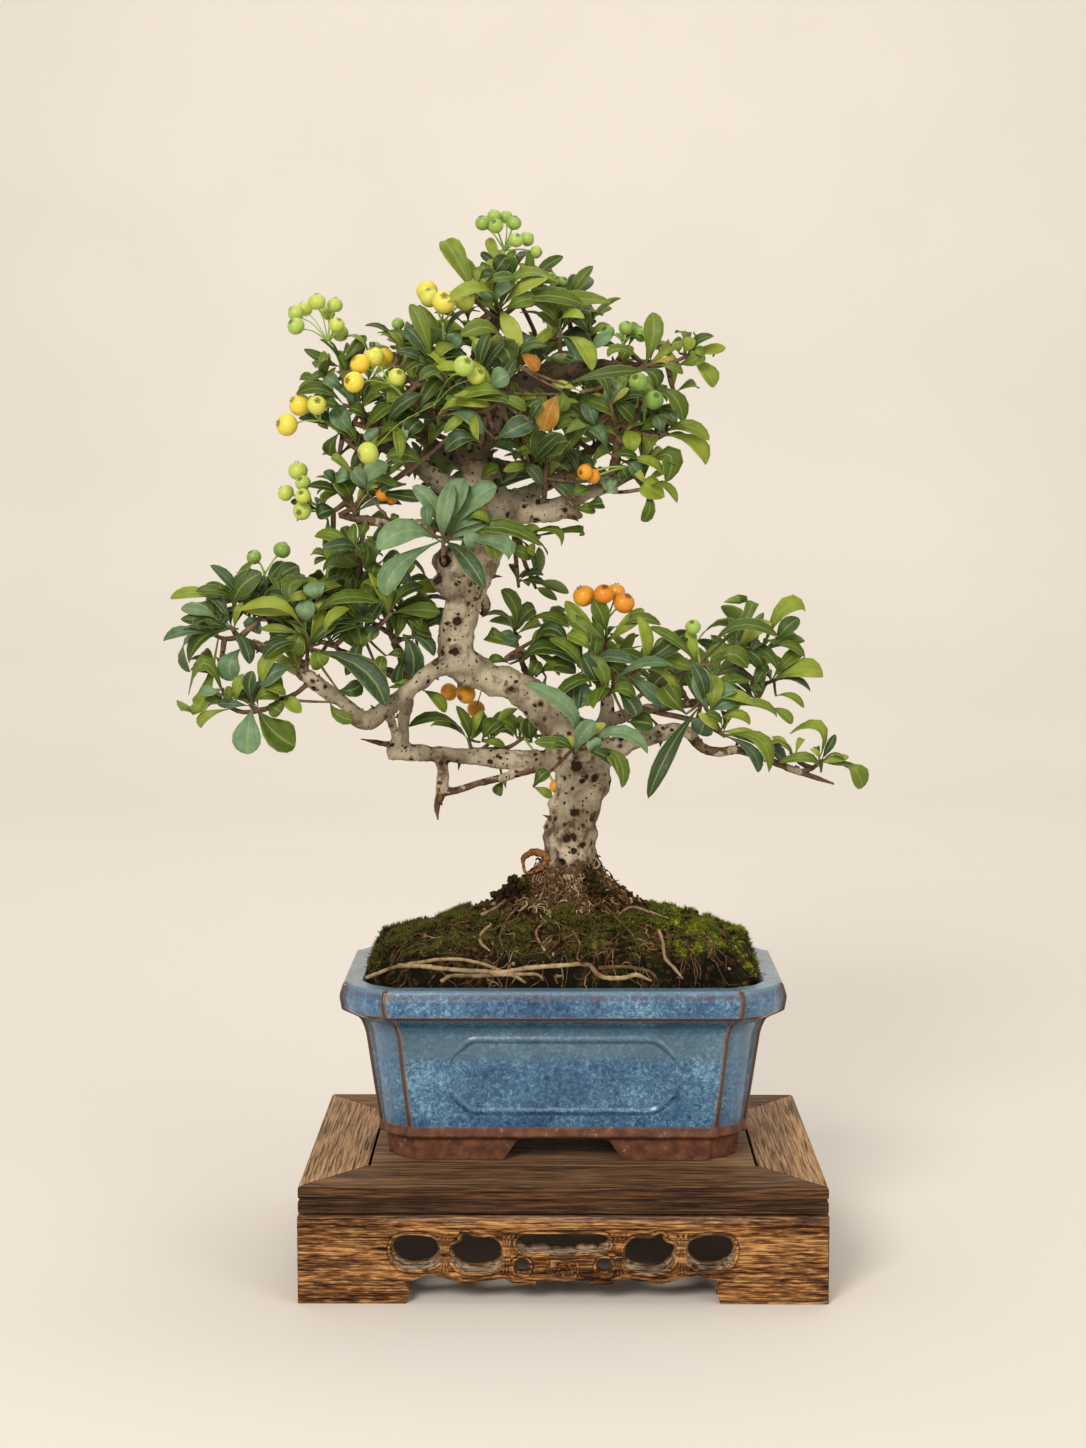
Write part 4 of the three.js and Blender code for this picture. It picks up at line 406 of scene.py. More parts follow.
def linear(part):
    """Linear share of a red, green or blue part from 0 to 255."""
    return ((part / 255 + 0.055) / 1.055) ** 2.4 if part > 10 else part / 3295


def as_colour(value):
    """A colour of three parts from 0 to 255 as a linear one, and anything else as it is."""
    if isinstance(value, tuple) and len(value) == 3:
        return tuple(linear(part) for part in value) + (1,)
    return value


def toned(colour, share):
    return tuple(min(255, int(part * share)) for part in colour)


def lifted(colour, step):
    return tuple(min(255, part + step) for part in colour)


def smooth_step(low, high, value):
    share = np.clip((value - low) / (high - low), 0, 1)
    return share * share * (3 - 2 * share)


def jitter(draw, reach):
    """A random step of up to a reach along each axis."""
    return Vector([draw.uniform(-reach, reach) for _ in range(3)])


# Making pieces
def make(name, points, faces, materials, replaces, values, slots=None):
    """A piece from points in millimetres in the stand's frame, with its finish and its numbers per point."""
    mesh = bpy.data.meshes.new(name)
    points = np.asarray(points, dtype=np.float64)
    flat = np.clip((points + np.array(SHIFT)) * MM, *CAD_BOX).astype(np.float32)
    mesh.from_pydata(flat.tolist(), [], [list(map(int, face)) for face in faces])
    mesh.update()
    mesh.shade_smooth()
    for key, numbers in values.items():
        layer = mesh.attributes.new(key, "FLOAT", "POINT")
        layer.data.foreach_set("value", np.asarray(numbers, dtype=np.float32))
    piece = bpy.data.objects.new(name, mesh)
    bpy.context.scene.collection.objects.link(piece)
    for material in materials:
        mesh.materials.append(material)
    if slots is not None:
        mesh.polygons.foreach_set("material_index", np.asarray(slots, dtype=np.int32))
    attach(piece, "root")
    if replaces:
        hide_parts(*replaces)
    return piece


class Heap:
    """Points, faces and numbers of many small forms that end up in one piece."""

    def __init__(self):
        self.points, self.faces, self.values, self.slots = [], [], {}, []
        self.count = 0

    def add(self, points, faces, slot=0, **values):
        points = np.asarray(points, dtype=np.float64)
        self.points.append(points)
        self.faces.extend([[i + self.count for i in face] for face in faces])
        self.slots.extend([slot] * len(faces))
        for key, value in values.items():
            spread_out = np.broadcast_to(np.asarray(value, float), (len(points),))
            self.values.setdefault(key, []).append(spread_out)
        self.count += len(points)

    def add_tube(self, path, radii, step, sides, rough, seed, grain=0.35, slot=0, **values):
        """A smooth tube through some points, with a radius at each."""
        fine, sizes = resample(path, radii, step)
        self.add(*tube(fine, sizes, sides, rough, seed, grain), slot, **values)

    def numbers(self):
        return {key: np.concatenate(parts) for key, parts in self.values.items()}

    def make(self, name, materials, replaces, slot):
        points = np.concatenate(self.points)
        return make(name, points, self.faces, materials, replaces, self.numbers(), self.slots)


def rings_faces(rings, sides, closed=True, first=0):
    """Faces between rings of points that follow each other."""
    faces = []
    span = sides if closed else sides - 1
    for r in range(rings - 1):
        for j in range(span):
            k = (j + 1) % sides
            a, b = first + r * sides, first + (r + 1) * sides
            faces.append((a + j, a + k, b + k, b + j))
    return faces


def end_faces(rings, sides):
    """Faces that close both ends of rings of points."""
    return [tuple(range(sides - 1, -1, -1)), tuple((rings - 1) * sides + j for j in range(sides))]


def through(p0, p1, p2, p3, t):
    """A point between p1 and p2 on the smooth curve through four points."""
    return 0.5 * (2 * p1 + (p2 - p0) * t + (2 * p0 - 5 * p1 + 4 * p2 - p3) * t ** 2
                  + (3 * p1 - p0 - 3 * p2 + p3) * t ** 3)


def resample(path, radii, step):
    """A smooth path through some points, with a radius at each, in short steps."""
    path = np.array([list(p) for p in path], dtype=float)
    radii = np.asarray(radii, dtype=float)
    if len(path) == 2:
        path = np.array([path[0], path.mean(axis=0), path[1]])
        radii = np.array([radii[0], radii.mean(), radii[1]])
    ends = np.vstack([2 * path[0] - path[1], path, 2 * path[-1] - path[-2]])
    span = np.concatenate([[radii[0]], radii, [radii[-1]]])
    out, sizes = [], []
    for i in range(1, len(ends) - 2):
        p0, p1, p2, p3 = ends[i - 1:i + 3]
        count = max(1, int(round(np.linalg.norm(p2 - p1) / step)))
        for t in np.arange(count) / count:
            out.append(through(p0, p1, p2, p3, t))
            sizes.append(span[i] + (span[i + 1] - span[i]) * (t * t * (3 - 2 * t)))
    out.append(path[-1])
    sizes.append(radii[-1])
    return np.array(out), np.array(sizes)


def tube(path, radii, sides, rough=0.0, seed=0.0, grain=0.35):
    """Points and faces of a closed tube; its radius varies by a noise where it is rough."""
    tangents = np.gradient(path, axis=0)
    tangents /= np.linalg.norm(tangents, axis=1)[:, None] + 1e-9
    side = np.cross(tangents[0], (0.3, 0.9, 0.1))
    points = []
    turns = np.arange(sides) * 2 * math.pi / sides
    for centre, tangent, radius in zip(path, tangents, radii):
        side = side - tangent * side.dot(tangent)
        side /= np.linalg.norm(side) + 1e-9
        across = np.cross(tangent, side)
        ring = np.outer(np.cos(turns), side) + np.outer(np.sin(turns), across)
        reach = np.full(sides, radius)
        if rough:
            for j in range(sides):
                spot = Vector((centre + ring[j] * radius) * grain) + Vector((seed, seed * 0.7, 0))
                reach[j] *= 1 + rough * noise.noise(spot) + rough * 0.5 * noise.noise(spot * 2.7)
        points.append(centre + ring * reach[:, None])
    points = np.concatenate(points)
    return points, rings_faces(len(path), sides) + end_faces(len(path), sides)


def ball(rings, sides):
    """Points and faces of a round ball of radius 1."""
    points = [(0, 0, -1)]
    for i in range(1, rings):
        lift = math.pi * i / rings - math.pi / 2
        for j in range(sides):
            turn = 2 * math.pi * j / sides
            points.append((math.cos(lift) * math.cos(turn), math.cos(lift) * math.sin(turn), math.sin(lift)))
    points.append((0, 0, 1))
    faces = rings_faces(rings - 1, sides, first=1)
    last = len(points) - 1
    for j in range(sides):
        k = (j + 1) % sides
        faces.append((0, 1 + k, 1 + j))
        faces.append((last, last - sides + j, last - sides + k))
    return np.array(points, dtype=float), faces


# Materials
class Look:
    """A material with short calls for the nodes that vary its colour, gloss and relief."""

    def __init__(self, name, roughness=0.5, specular=0.5, **sockets):
        self.material = bpy.data.materials.new(name)
        self.material.use_nodes = True
        self.tree = self.material.node_tree
        self.shader = self.tree.nodes["Principled BSDF"]
        sockets.update(Roughness=roughness, Specular_IOR_Level=specular)
        for key, value in sockets.items():
            self.shader.inputs[key.replace("_", " ")].default_value = value

    def put(self, socket, value):
        if isinstance(value, bpy.types.NodeSocket):
            self.tree.links.new(value, socket)
        elif value is not None:
            socket.default_value = value

    def node(self, kind, **inputs):
        made = self.tree.nodes.new(kind)
        for key, value in inputs.items():
            self.put(made.inputs[key.replace("_", " ")], value)
        return made

    def spot(self):
        return self.node("ShaderNodeTexCoord").outputs["Object"]

    def place(self, stretch=(1, 1, 1)):
        """Object coordinates in metres, stretched."""
        return self.node("ShaderNodeMapping", Vector=self.spot(), Scale=stretch).outputs[0]

    def noise(self, vector, scale, detail=3, roughness=0.55, distortion=0.0):
        return self.node("ShaderNodeTexNoise", Vector=vector, Scale=scale, Detail=detail,
                         Roughness=roughness, Distortion=distortion).outputs[0]

    def patches(self, vector, scale, detail, *stops):
        """A ramp over a noise."""
        return self.ramp(self.noise(vector, scale, detail), *stops)

    def cells(self, vector, scale):
        return self.node("ShaderNodeTexVoronoi", Vector=vector, Scale=scale, Randomness=1.0)

    def scattered(self, vector, scale, share, least, most):
        """Round spots of mixed sizes in some of the cells of a pattern, 1 inside a spot."""
        made = self.cells(vector, scale)
        chance = self.parts(made.outputs["Color"])
        size = self.calc("MULTIPLY_ADD", chance[1], most - least, least)
        inside = self.calc("SUBTRACT", 1.0, self.calc("DIVIDE", made.outputs["Distance"], size))
        soft = self.ramp(inside, (0.0, 0.0), (0.35, 1.0))
        return self.times(soft, self.calc("LESS_THAN", chance[0], share))

    def bent(self, vector, scale, amount):
        """Coordinates moved by a noise, so that round spots turn uneven."""
        made = self.node("ShaderNodeTexNoise", Vector=vector, Scale=scale, Detail=2.0)
        moved = self.node("ShaderNodeVectorMath")
        moved.operation = "MULTIPLY_ADD"
        for socket, value in zip(moved.inputs, (made.outputs["Color"], (amount, amount, amount), vector)):
            self.put(socket, value)
        return moved.outputs[0]

    def value(self, name):
        made = self.node("ShaderNodeAttribute")
        made.attribute_name = name
        return made.outputs["Fac"]

    def parts(self, vector):
        """The three numbers of a vector."""
        made = self.node("ShaderNodeSeparateXYZ")
        self.put(made.inputs[0], vector)
        return made.outputs

    def axis(self, which):
        """One of the object coordinates, in metres."""
        return self.parts(self.spot())[which]

    def ramp(self, factor, *stops):
        """Colours or shares at places from 0 to 1, blended between them."""
        made = self.node("ShaderNodeValToRGB", Fac=factor)
        marks = made.color_ramp.elements
        while len(marks) < len(stops):
            marks.new(0.5)
        for mark, (position, colour) in zip(marks, stops):
            mark.position = position
            mark.color = as_colour(colour) if isinstance(colour, tuple) else (colour, colour, colour, 1)
        return made.outputs["Color"]

    def mix(self, factor, first, second):
        made = self.node("ShaderNodeMix")
        made.data_type = "RGBA"
        for index, value in ((0, factor), (6, first), (7, second)):
            self.put(made.inputs[index], as_colour(value))
        return made.outputs[2]

    def calc(self, kind, first, second=None, third=None):
        made = self.node("ShaderNodeMath")
        made.operation = kind
        for socket, value in zip(made.inputs, (first, second, third)):
            self.put(socket, value)
        return made.outputs[0]

    def times(self, first, second):
        return self.calc("MULTIPLY", first, second)

    def around(self, name, noise, much, shift):
        """A number of the mesh, blurred by a noise."""
        return self.calc("MULTIPLY_ADD", noise, much, self.calc("SUBTRACT", self.value(name), shift))

    def colour(self, value):
        self.put(self.shader.inputs["Base Color"], value)

    def gloss(self, value):
        self.put(self.shader.inputs["Roughness"], value)

    def relief(self, height, depth):
        """Bump of a height from 0 to 1 that stands for a depth in millimetres."""
        bump = self.node("ShaderNodeBump", Height=height, Strength=1.0, Distance=depth * MM)
        self.put(self.shader.inputs["Normal"], bump.outputs[0])


# Light, floor and camera, in metres
# The paper's two tones, and the painted shade that darkens it towards the front, under the lamps
PAPER_LOW, PAPER_HIGH, PAPER_NEAR_SHADE = (224, 219, 213), (228, 223, 217), (220, 215, 209)
SKY, SKY_STRENGTH = (255, 247, 236), 0.55
LAMP_COLOUR = (1, 0.95, 0.87)
LAMPS = [
    ("key", (-0.7, -1.8, 1.35), (0, 0, 0.25), 0.8, 33),
    ("fill", (1.4, -1.5, 0.9), (0, 0, 0.25), 1.2, 9),
    ("top", (0.2, 0.2, 2.0), (0, 0, 0.2), 1.2, 6),
    ("backdrop", (0, 0.9, 2.6), (0, 2.9, 1.1), 2.0, 30),
]
# The paper as [away, up]: floor in front, a soft bend and the wall behind
PAPER_BEND = [(-3.2, 0), (1.6, 0), (2.2, 0.12), (2.6, 0.5), (2.8, 1.2), (2.9, 4.5)]
PAPER_HALF = 5
SENSOR = 36


def place_camera(scene):
    camera = bpy.data.objects.new("camera", bpy.data.cameras.new("camera"))
    scene.collection.objects.link(camera)
    camera.data.sensor_width = SENSOR
    camera.data.lens = SENSOR * FOCAL / IMAGE_HEIGHT
    camera.data.clip_start, camera.data.clip_end = 0.05, 30
    camera.location = (EYE + SHIFT) * MM
    camera.rotation_euler = (math.pi / 2 - PITCH, 0, YAW)
    scene.camera = camera


def hang_paper(scene):
    paper = Look("paper", roughness=0.95, specular=0.1)
    sheet = paper.patches(paper.place(), 3, 2, (0.3, PAPER_LOW), (0.7, PAPER_HIGH))
    # Painted shade: the paper turns darker towards the front, where the lamps light it most
    near = paper.ramp(paper.times(paper.axis(1), 0.4), (0.05, 1.0), (0.95, 0.0))
    paper.colour(paper.mix(near, sheet, PAPER_NEAR_SHADE))
    points = [(x, y, z) for y, z in PAPER_BEND for x in (-PAPER_HALF, PAPER_HALF)]
    faces = [(2 * i, 2 * i + 1, 2 * i + 3, 2 * i + 2) for i in range(len(PAPER_BEND) - 1)]
    mesh = bpy.data.meshes.new("backdrop")
    mesh.from_pydata(points, [], faces)
    mesh.shade_smooth()
    mesh.materials.append(paper.material)
    backdrop = bpy.data.objects.new("backdrop", mesh)
    scene.collection.objects.link(backdrop)


def light_studio(scene):
    world = bpy.data.worlds.new("studio")
    world.use_nodes = True
    world.node_tree.nodes["Background"].inputs["Color"].default_value = as_colour(SKY)
    world.node_tree.nodes["Background"].inputs["Strength"].default_value = SKY_STRENGTH
    scene.world = world
    scene.view_settings.view_transform = "Standard"
    scene.view_settings.look = "None"
    for name, spot, aim, size, power in LAMPS:
        lamp = bpy.data.lights.new(name, "AREA")
        lamp.shape, lamp.size = "DISK", size
        lamp.energy, lamp.color = power, LAMP_COLOUR
        holder = bpy.data.objects.new(name, lamp)
        holder.location = spot
        holder.rotation_euler = (Vector(aim) - Vector(spot)).to_track_quat("-Z", "Y").to_euler()
        scene.collection.objects.link(holder)


# Looks of the tree
def leaf_look():
    look = Look("leaf", roughness=0.4, specular=0.3, Subsurface_Weight=0.06, Subsurface_Scale=0.0008,
                Subsurface_Radius=(0.4, 0.9, 0.2))
    across, along = look.value("across"), look.value("along")
    where = look.place()
    stage = look.around("tint", look.noise(where, 220, 3), 0.2, 0.1)
    body = look.ramp(stage, (0.0, (114, 142, 104)), (0.08, (88, 118, 84)), (0.15, (66, 90, 66)),
                     (0.22, (40, 62, 30)), (0.34, (42, 64, 16)), (0.48, (66, 88, 16)), (0.6, (98, 116, 28)),
                     (0.72, (134, 148, 42)), (0.86, (160, 168, 76)), (1.0, (156, 98, 24)))
    # Painted shade: the blade darkens towards its root, deep in the rosette
    body = look.mix(look.ramp(along, (0.04, 0.5), (0.42, 0.0)), body, (34, 48, 12))
    veins = look.calc("SINE", look.calc("MULTIPLY_ADD", along, 60, look.times(across, -11)))
    veins = look.times(look.calc("GREATER_THAN", veins, 0.9), 0.05)
    body = look.mix(veins, body, (168, 186, 110))
    rib = look.ramp(across, (0.05, 0.45), (0.12, 0.0))
    body = look.mix(rib, body, (150, 158, 84))
    body = look.mix(look.ramp(across, (0.88, 0.0), (0.99, 0.6)), body, (162, 168, 90))
    body = look.mix(look.times(look.value("under"), 0.6), body, (126, 144, 74))
    spots = look.patches(where, 900, 2, (0.7, 0.0), (0.78, 0.5))
    look.colour(look.mix(look.times(spots, 0.35), body, (92, 84, 44)))
    look.gloss(look.patches(where, 400, 2, (0.3, 0.4), (0.7, 0.56)))
    look.relief(look.calc("ADD", look.times(rib, -1.0), look.times(veins, -2.0)), 0.12)
    return look.material


def bark_look(name, pale, warm, pit, spots):
    """Pale bark with grey and warm patches, dark round pits, and rugged warm wood where it is old; painted
    shade darkens its dents, the knots' hollows and the limbs high in the crown.
    """
    look = Look(name, roughness=0.86, specular=0.25)
    where = look.place()
    fine = look.noise(where, 420, 4, 0.65)
    flakes = look.noise(look.place((1, 1, 0.35)), 300, 3, 0.6, 0.6)
    grey = toned(pale, 0.8)
    base = look.patches(where, 60, 4, (0.26, warm), (0.4, grey), (0.52, pale), (0.74, lifted(pale, 22)))
    base = look.mix(look.ramp(flakes, (0.5, 0.0), (0.72, 0.5)), base, grey)
    base = look.mix(look.ramp(fine, (0.56, 0.0), (0.7, 0.45)), base, toned(warm, 0.6))
    # Painted shade: darker warm bark where the mesh's shade number is high, on the limbs in the crown
    base = look.mix(look.times(look.value("shade"), 0.85), base, toned(warm, 0.55))
    worn = look.around("age", look.noise(where, 240, 3), 1.1, 0.5)
    rugged = look.ramp(look.noise(where, 560, 4, 0.7), (0.36, toned(warm, 0.38)), (0.52, toned(warm, 0.8)),
                       (0.68, toned(warm, 1.5)))
    base = look.mix(look.ramp(worn, (0.1, 0.0), (0.42, 0.9)), base, rugged)
    uneven = look.bent(where, 500, 0.0016)
    pits = look.calc("MAXIMUM", look.scattered(uneven, 230, spots, 0.16, 0.42),
                     look.scattered(uneven, 520, spots * 0.6, 0.14, 0.36))
    # The mesh's pit number paints the knots' hollows near-black: painted shade
    knot = look.around("pit", look.noise(where, 500, 2), 0.5, 0.25)
    pits = look.calc("MAXIMUM", pits, look.ramp(knot, (0.3, 0.0), (0.5, 1.0)))
    look.colour(look.mix(pits, base, pit))
    height = look.calc("MULTIPLY_ADD", fine, 0.5, look.times(flakes, 0.4))
    look.relief(look.calc("SUBTRACT", height, pits), 0.8)
    return look.material


def skin_look():
    """Skin of the fruit and of its stalks, from green through yellow to orange, with a dark calyx."""
    look = Look("fruit", roughness=0.36, specular=0.45, Subsurface_Weight=0.12, Subsurface_Scale=0.0015,
                Subsurface_Radius=(1.0, 0.7, 0.25))
    where = look.place()
    stage = look.around("ripe", look.noise(where, 130, 2), 0.24, 0.12)
    body = look.ramp(stage, (0.0, (112, 148, 62)), (0.2, (164, 190, 92)), (0.4, (204, 208, 88)),
                     (0.6, (230, 204, 70)), (0.78, (228, 170, 50)), (1.0, (214, 132, 24)))
    body = look.mix(look.patches(where, 900, 2, (0.66, 0.0), (0.76, 0.5)), body, (150, 130, 60))
    look.colour(look.mix(look.value("calyx"), body, (58, 38, 20)))
    look.gloss(look.patches(where, 300, 2, (0.3, 0.3), (0.7, 0.44)))
    look.relief(look.noise(where, 700, 2), 0.08)
    return look.material


# Leaves
# A blade's share of its full width along its length, and its columns of points from side to side
LEAF_SPANS = [(0, 0.07), (0.11, 0.13), (0.26, 0.4), (0.42, 0.74), (0.58, 0.97), (0.74, 0.96), (0.87, 0.71),
              (0.955, 0.38), (1.0, 0.03)]
LEAF_COLUMNS = [-1, -0.55, 0, 0.55, 1]
LEAF_DEPTH = 0.34
# Turn from one leaf of a rosette to the next, in radians
GOLDEN_ANGLE = 2.399963
# What the stalks of the leaves say to the leaf's and the bark's looks
STALK = {"tint": 0.5, "across": 1, "along": 0, "under": 0, "age": 0.1}


def blade(root, tip, raise_way, width, draw, fold, arch=0.15, curl=0.0, bow=None):
    """Points, faces and numbers of one oblanceolate blade with a folded midrib, closed all round."""
    root, tip, raise_way = (np.array(list(v), dtype=float) for v in (root, tip, raise_way))
    along = tip - root
    length = np.linalg.norm(along)
    along /= length
    normal = raise_way - along * raise_way.dot(along)
    normal /= np.linalg.norm(normal) + 1e-9
    side = np.cross(along, normal)
    bow = (root + tip) / 2 + normal * length * arch * 2 if bow is None else np.array(list(bow))
    wave, twist = (next(draw) - 0.5) * 0.5, (next(draw) - 0.5) * 0.5
    phase = next(draw) * 6.28
    top, low, numbers = [], [], []
    for t, share in LEAF_SPANS:
        spot = root * (1 - t) ** 2 + bow * 2 * t * (1 - t) + tip * t * t
        tangent = (bow - root) * (1 - t) + (tip - bow) * t
        tangent /= np.linalg.norm(tangent) + 1e-9
        turn = twist * t
        flat = side * math.cos(turn) + normal * math.sin(turn)
        flat -= tangent * flat.dot(tangent)
        flat /= np.linalg.norm(flat) + 1e-9
        up = np.cross(flat, tangent)
        spot = spot - up * curl * length * t ** 3
        for u in LEAF_COLUMNS:
            half = width * 0.5 * share * u
            lift = abs(u) * width * 0.5 * share * fold
            lift += abs(u) * wave * share * math.sin(9 * t + phase + (2 if u > 0 else 0))
            point = spot + flat * half + up * lift
            top.append(point)
            low.append(point - up * LEAF_DEPTH * (1 - 0.7 * abs(u)))
            numbers.append((t, abs(u)))
    columns, rows = len(LEAF_COLUMNS), len(LEAF_SPANS)
    count = len(top)
    faces = []
    for r in range(rows - 1):
        for c in range(columns - 1):
            a = r * columns + c
            quad = (a, a + 1, a + 1 + columns, a + columns)
            faces.append(quad)
            faces.append(tuple(count + i for i in reversed(quad)))
        for c, flip in ((0, False), (columns - 1, True)):
            a = r * columns + c
            quad = (a, a + columns, count + a + columns, count + a)
            faces.append(tuple(reversed(quad)) if flip else quad)
    for r, flip in ((0, True), (rows - 1, False)):
        for c in range(columns - 1):
            a = r * columns + c
            quad = (a, a + 1, count + a + 1, count + a)
            faces.append(quad if flip else tuple(reversed(quad)))
    numbers = np.array(numbers + numbers)
    under = np.concatenate([np.zeros(count), np.ones(count)])
    return np.array(top + low), faces, {"along": numbers[:, 0], "across": numbers[:, 1], "under": under}


def leaf_tip(centre, axis, length, leaf, attempt, seed):
    """Where the tip of one leaf of a rosette lies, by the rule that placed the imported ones."""
    draw = draws(seed * 131 + leaf * 17 + attempt * 5)
    helper = Vector((0, 0, 1)) if abs(axis.z) < 0.9 else Vector((0, 1, 0))
    east = axis.cross(helper).normalized()
    north = axis.cross(east)
    turn = leaf * GOLDEN_ANGLE + seed + (next(draw) - 0.5) * 0.7 + attempt * 0.63
    lean = 0.62 + 0.7 * next(draw)
    reach = length * (0.82 + 0.36 * next(draw))
    way = (axis * math.cos(lean) + east * (math.sin(lean) * math.cos(turn))
           + north * (math.sin(lean) * math.sin(turn)))
    return centre + way * reach


def aimed_tip(target, attempt):
    step = math.ceil(attempt / 2) * (-4 if attempt % 2 else 4)
    return place(target[0], target[1], target[2] + step)


def twig_middle(start, end, attempt, draw):
    span = (end - start).length
    bend = span * 0.12 * attempt
    middle = start.lerp(end, 0.55)
    middle.z -= span * 0.12
    shift = Vector(((next(draw) - 0.5) * 2 * bend, (next(draw) - 0.5) * 2 * bend, (next(draw) - 0.6) * bend))
    return middle + shift


class Corners:
    """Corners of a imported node, in millimetres in the stand's frame, to find what was built there."""

    def __init__(self, node):
        vertices = NODES[node].data.vertices
        self.tree = KDTree(len(vertices))
        for i, vertex in enumerate(vertices):
            self.tree.insert(vertex.co / MM - SHIFT, i)
        self.tree.balance()

    def at(self, point, slack=0.06):
        return self.tree.find(point)[2] < slack

    def around(self, centre, radius, slack=0.05):
        """How many corners lie at a radius from a centre."""
        spots = {tuple(round(c, 2) for c in co) for co, _, far in self.tree.find_range(centre, radius + slack)
                 if far > radius - slack}
        return len(spots)


def find_twigs(spray, number, corners):
    """Start, middle and end of each twig of a spray as they were built."""
    twigs = []
    for i, entry in enumerate(spray["rosettes"]):
        centre = place(*entry[:3])
        near = sorted(twigs, key=lambda twig: (twig["middle"] - centre).length)[:3]
        found = None
        for parent in near or [None]:
            origin = parent["middle"] if parent else place(*spray["from"])
            for attempt in range(TWIG_TRIES):
                middle = twig_middle(origin, centre, attempt, draws(number * 97 + i * 13 + attempt))
                if corners.around(middle, TWIG_RADIUS * 1.1) >= 3:
                    found = (origin, middle)
                    break
            if found:
                break
        if not found:
            continue
        origin, middle = found
        shoot = (centre - middle).normalized()
        twigs.append({"origin": origin, "middle": middle, "centre": centre, "shoot": shoot,
                      "axis": (shoot * 0.5 + Vector((0, 0, 0.7))).normalized(), "seed": number * 10 + i,
                      "tips": [tip[1:] for tip in spray["tips"] if tip[0] == i], "leaves": entry[3],
                      "length": entry[4]})
    return twigs


def find_leaves(twig, corners):
    """Tips of a twig's leaves as they were built, and the number of each leaf."""
    found = []
    total = len(twig["tips"]) + twig["leaves"]
    for leaf in range(total):
        aimed = leaf < len(twig["tips"])
        for attempt in range(LEAF_TRIES):
            tip = (aimed_tip(twig["tips"][leaf], attempt) if aimed else
                   leaf_tip(twig["centre"], twig["axis"], twig["length"], leaf, attempt, twig["seed"]))
            if corners.at(tip):
                found.append((leaf, tip, aimed))
                break
    return found


# Sprays whose leaves are blue-green, and those whose leaves are brighter, by how much
BLUE_SPRAYS = {"spray_knot_blue"}
BRIGHT_SPRAYS = {"spray_crown_top": 0.1, "spray_crown_right_high": 0.12, "spray_right_tip": 0.1,
                 "spray_right_end": 0.1, "spray_crown_left_high": 0.1, "spray_right_mid": 0.06}


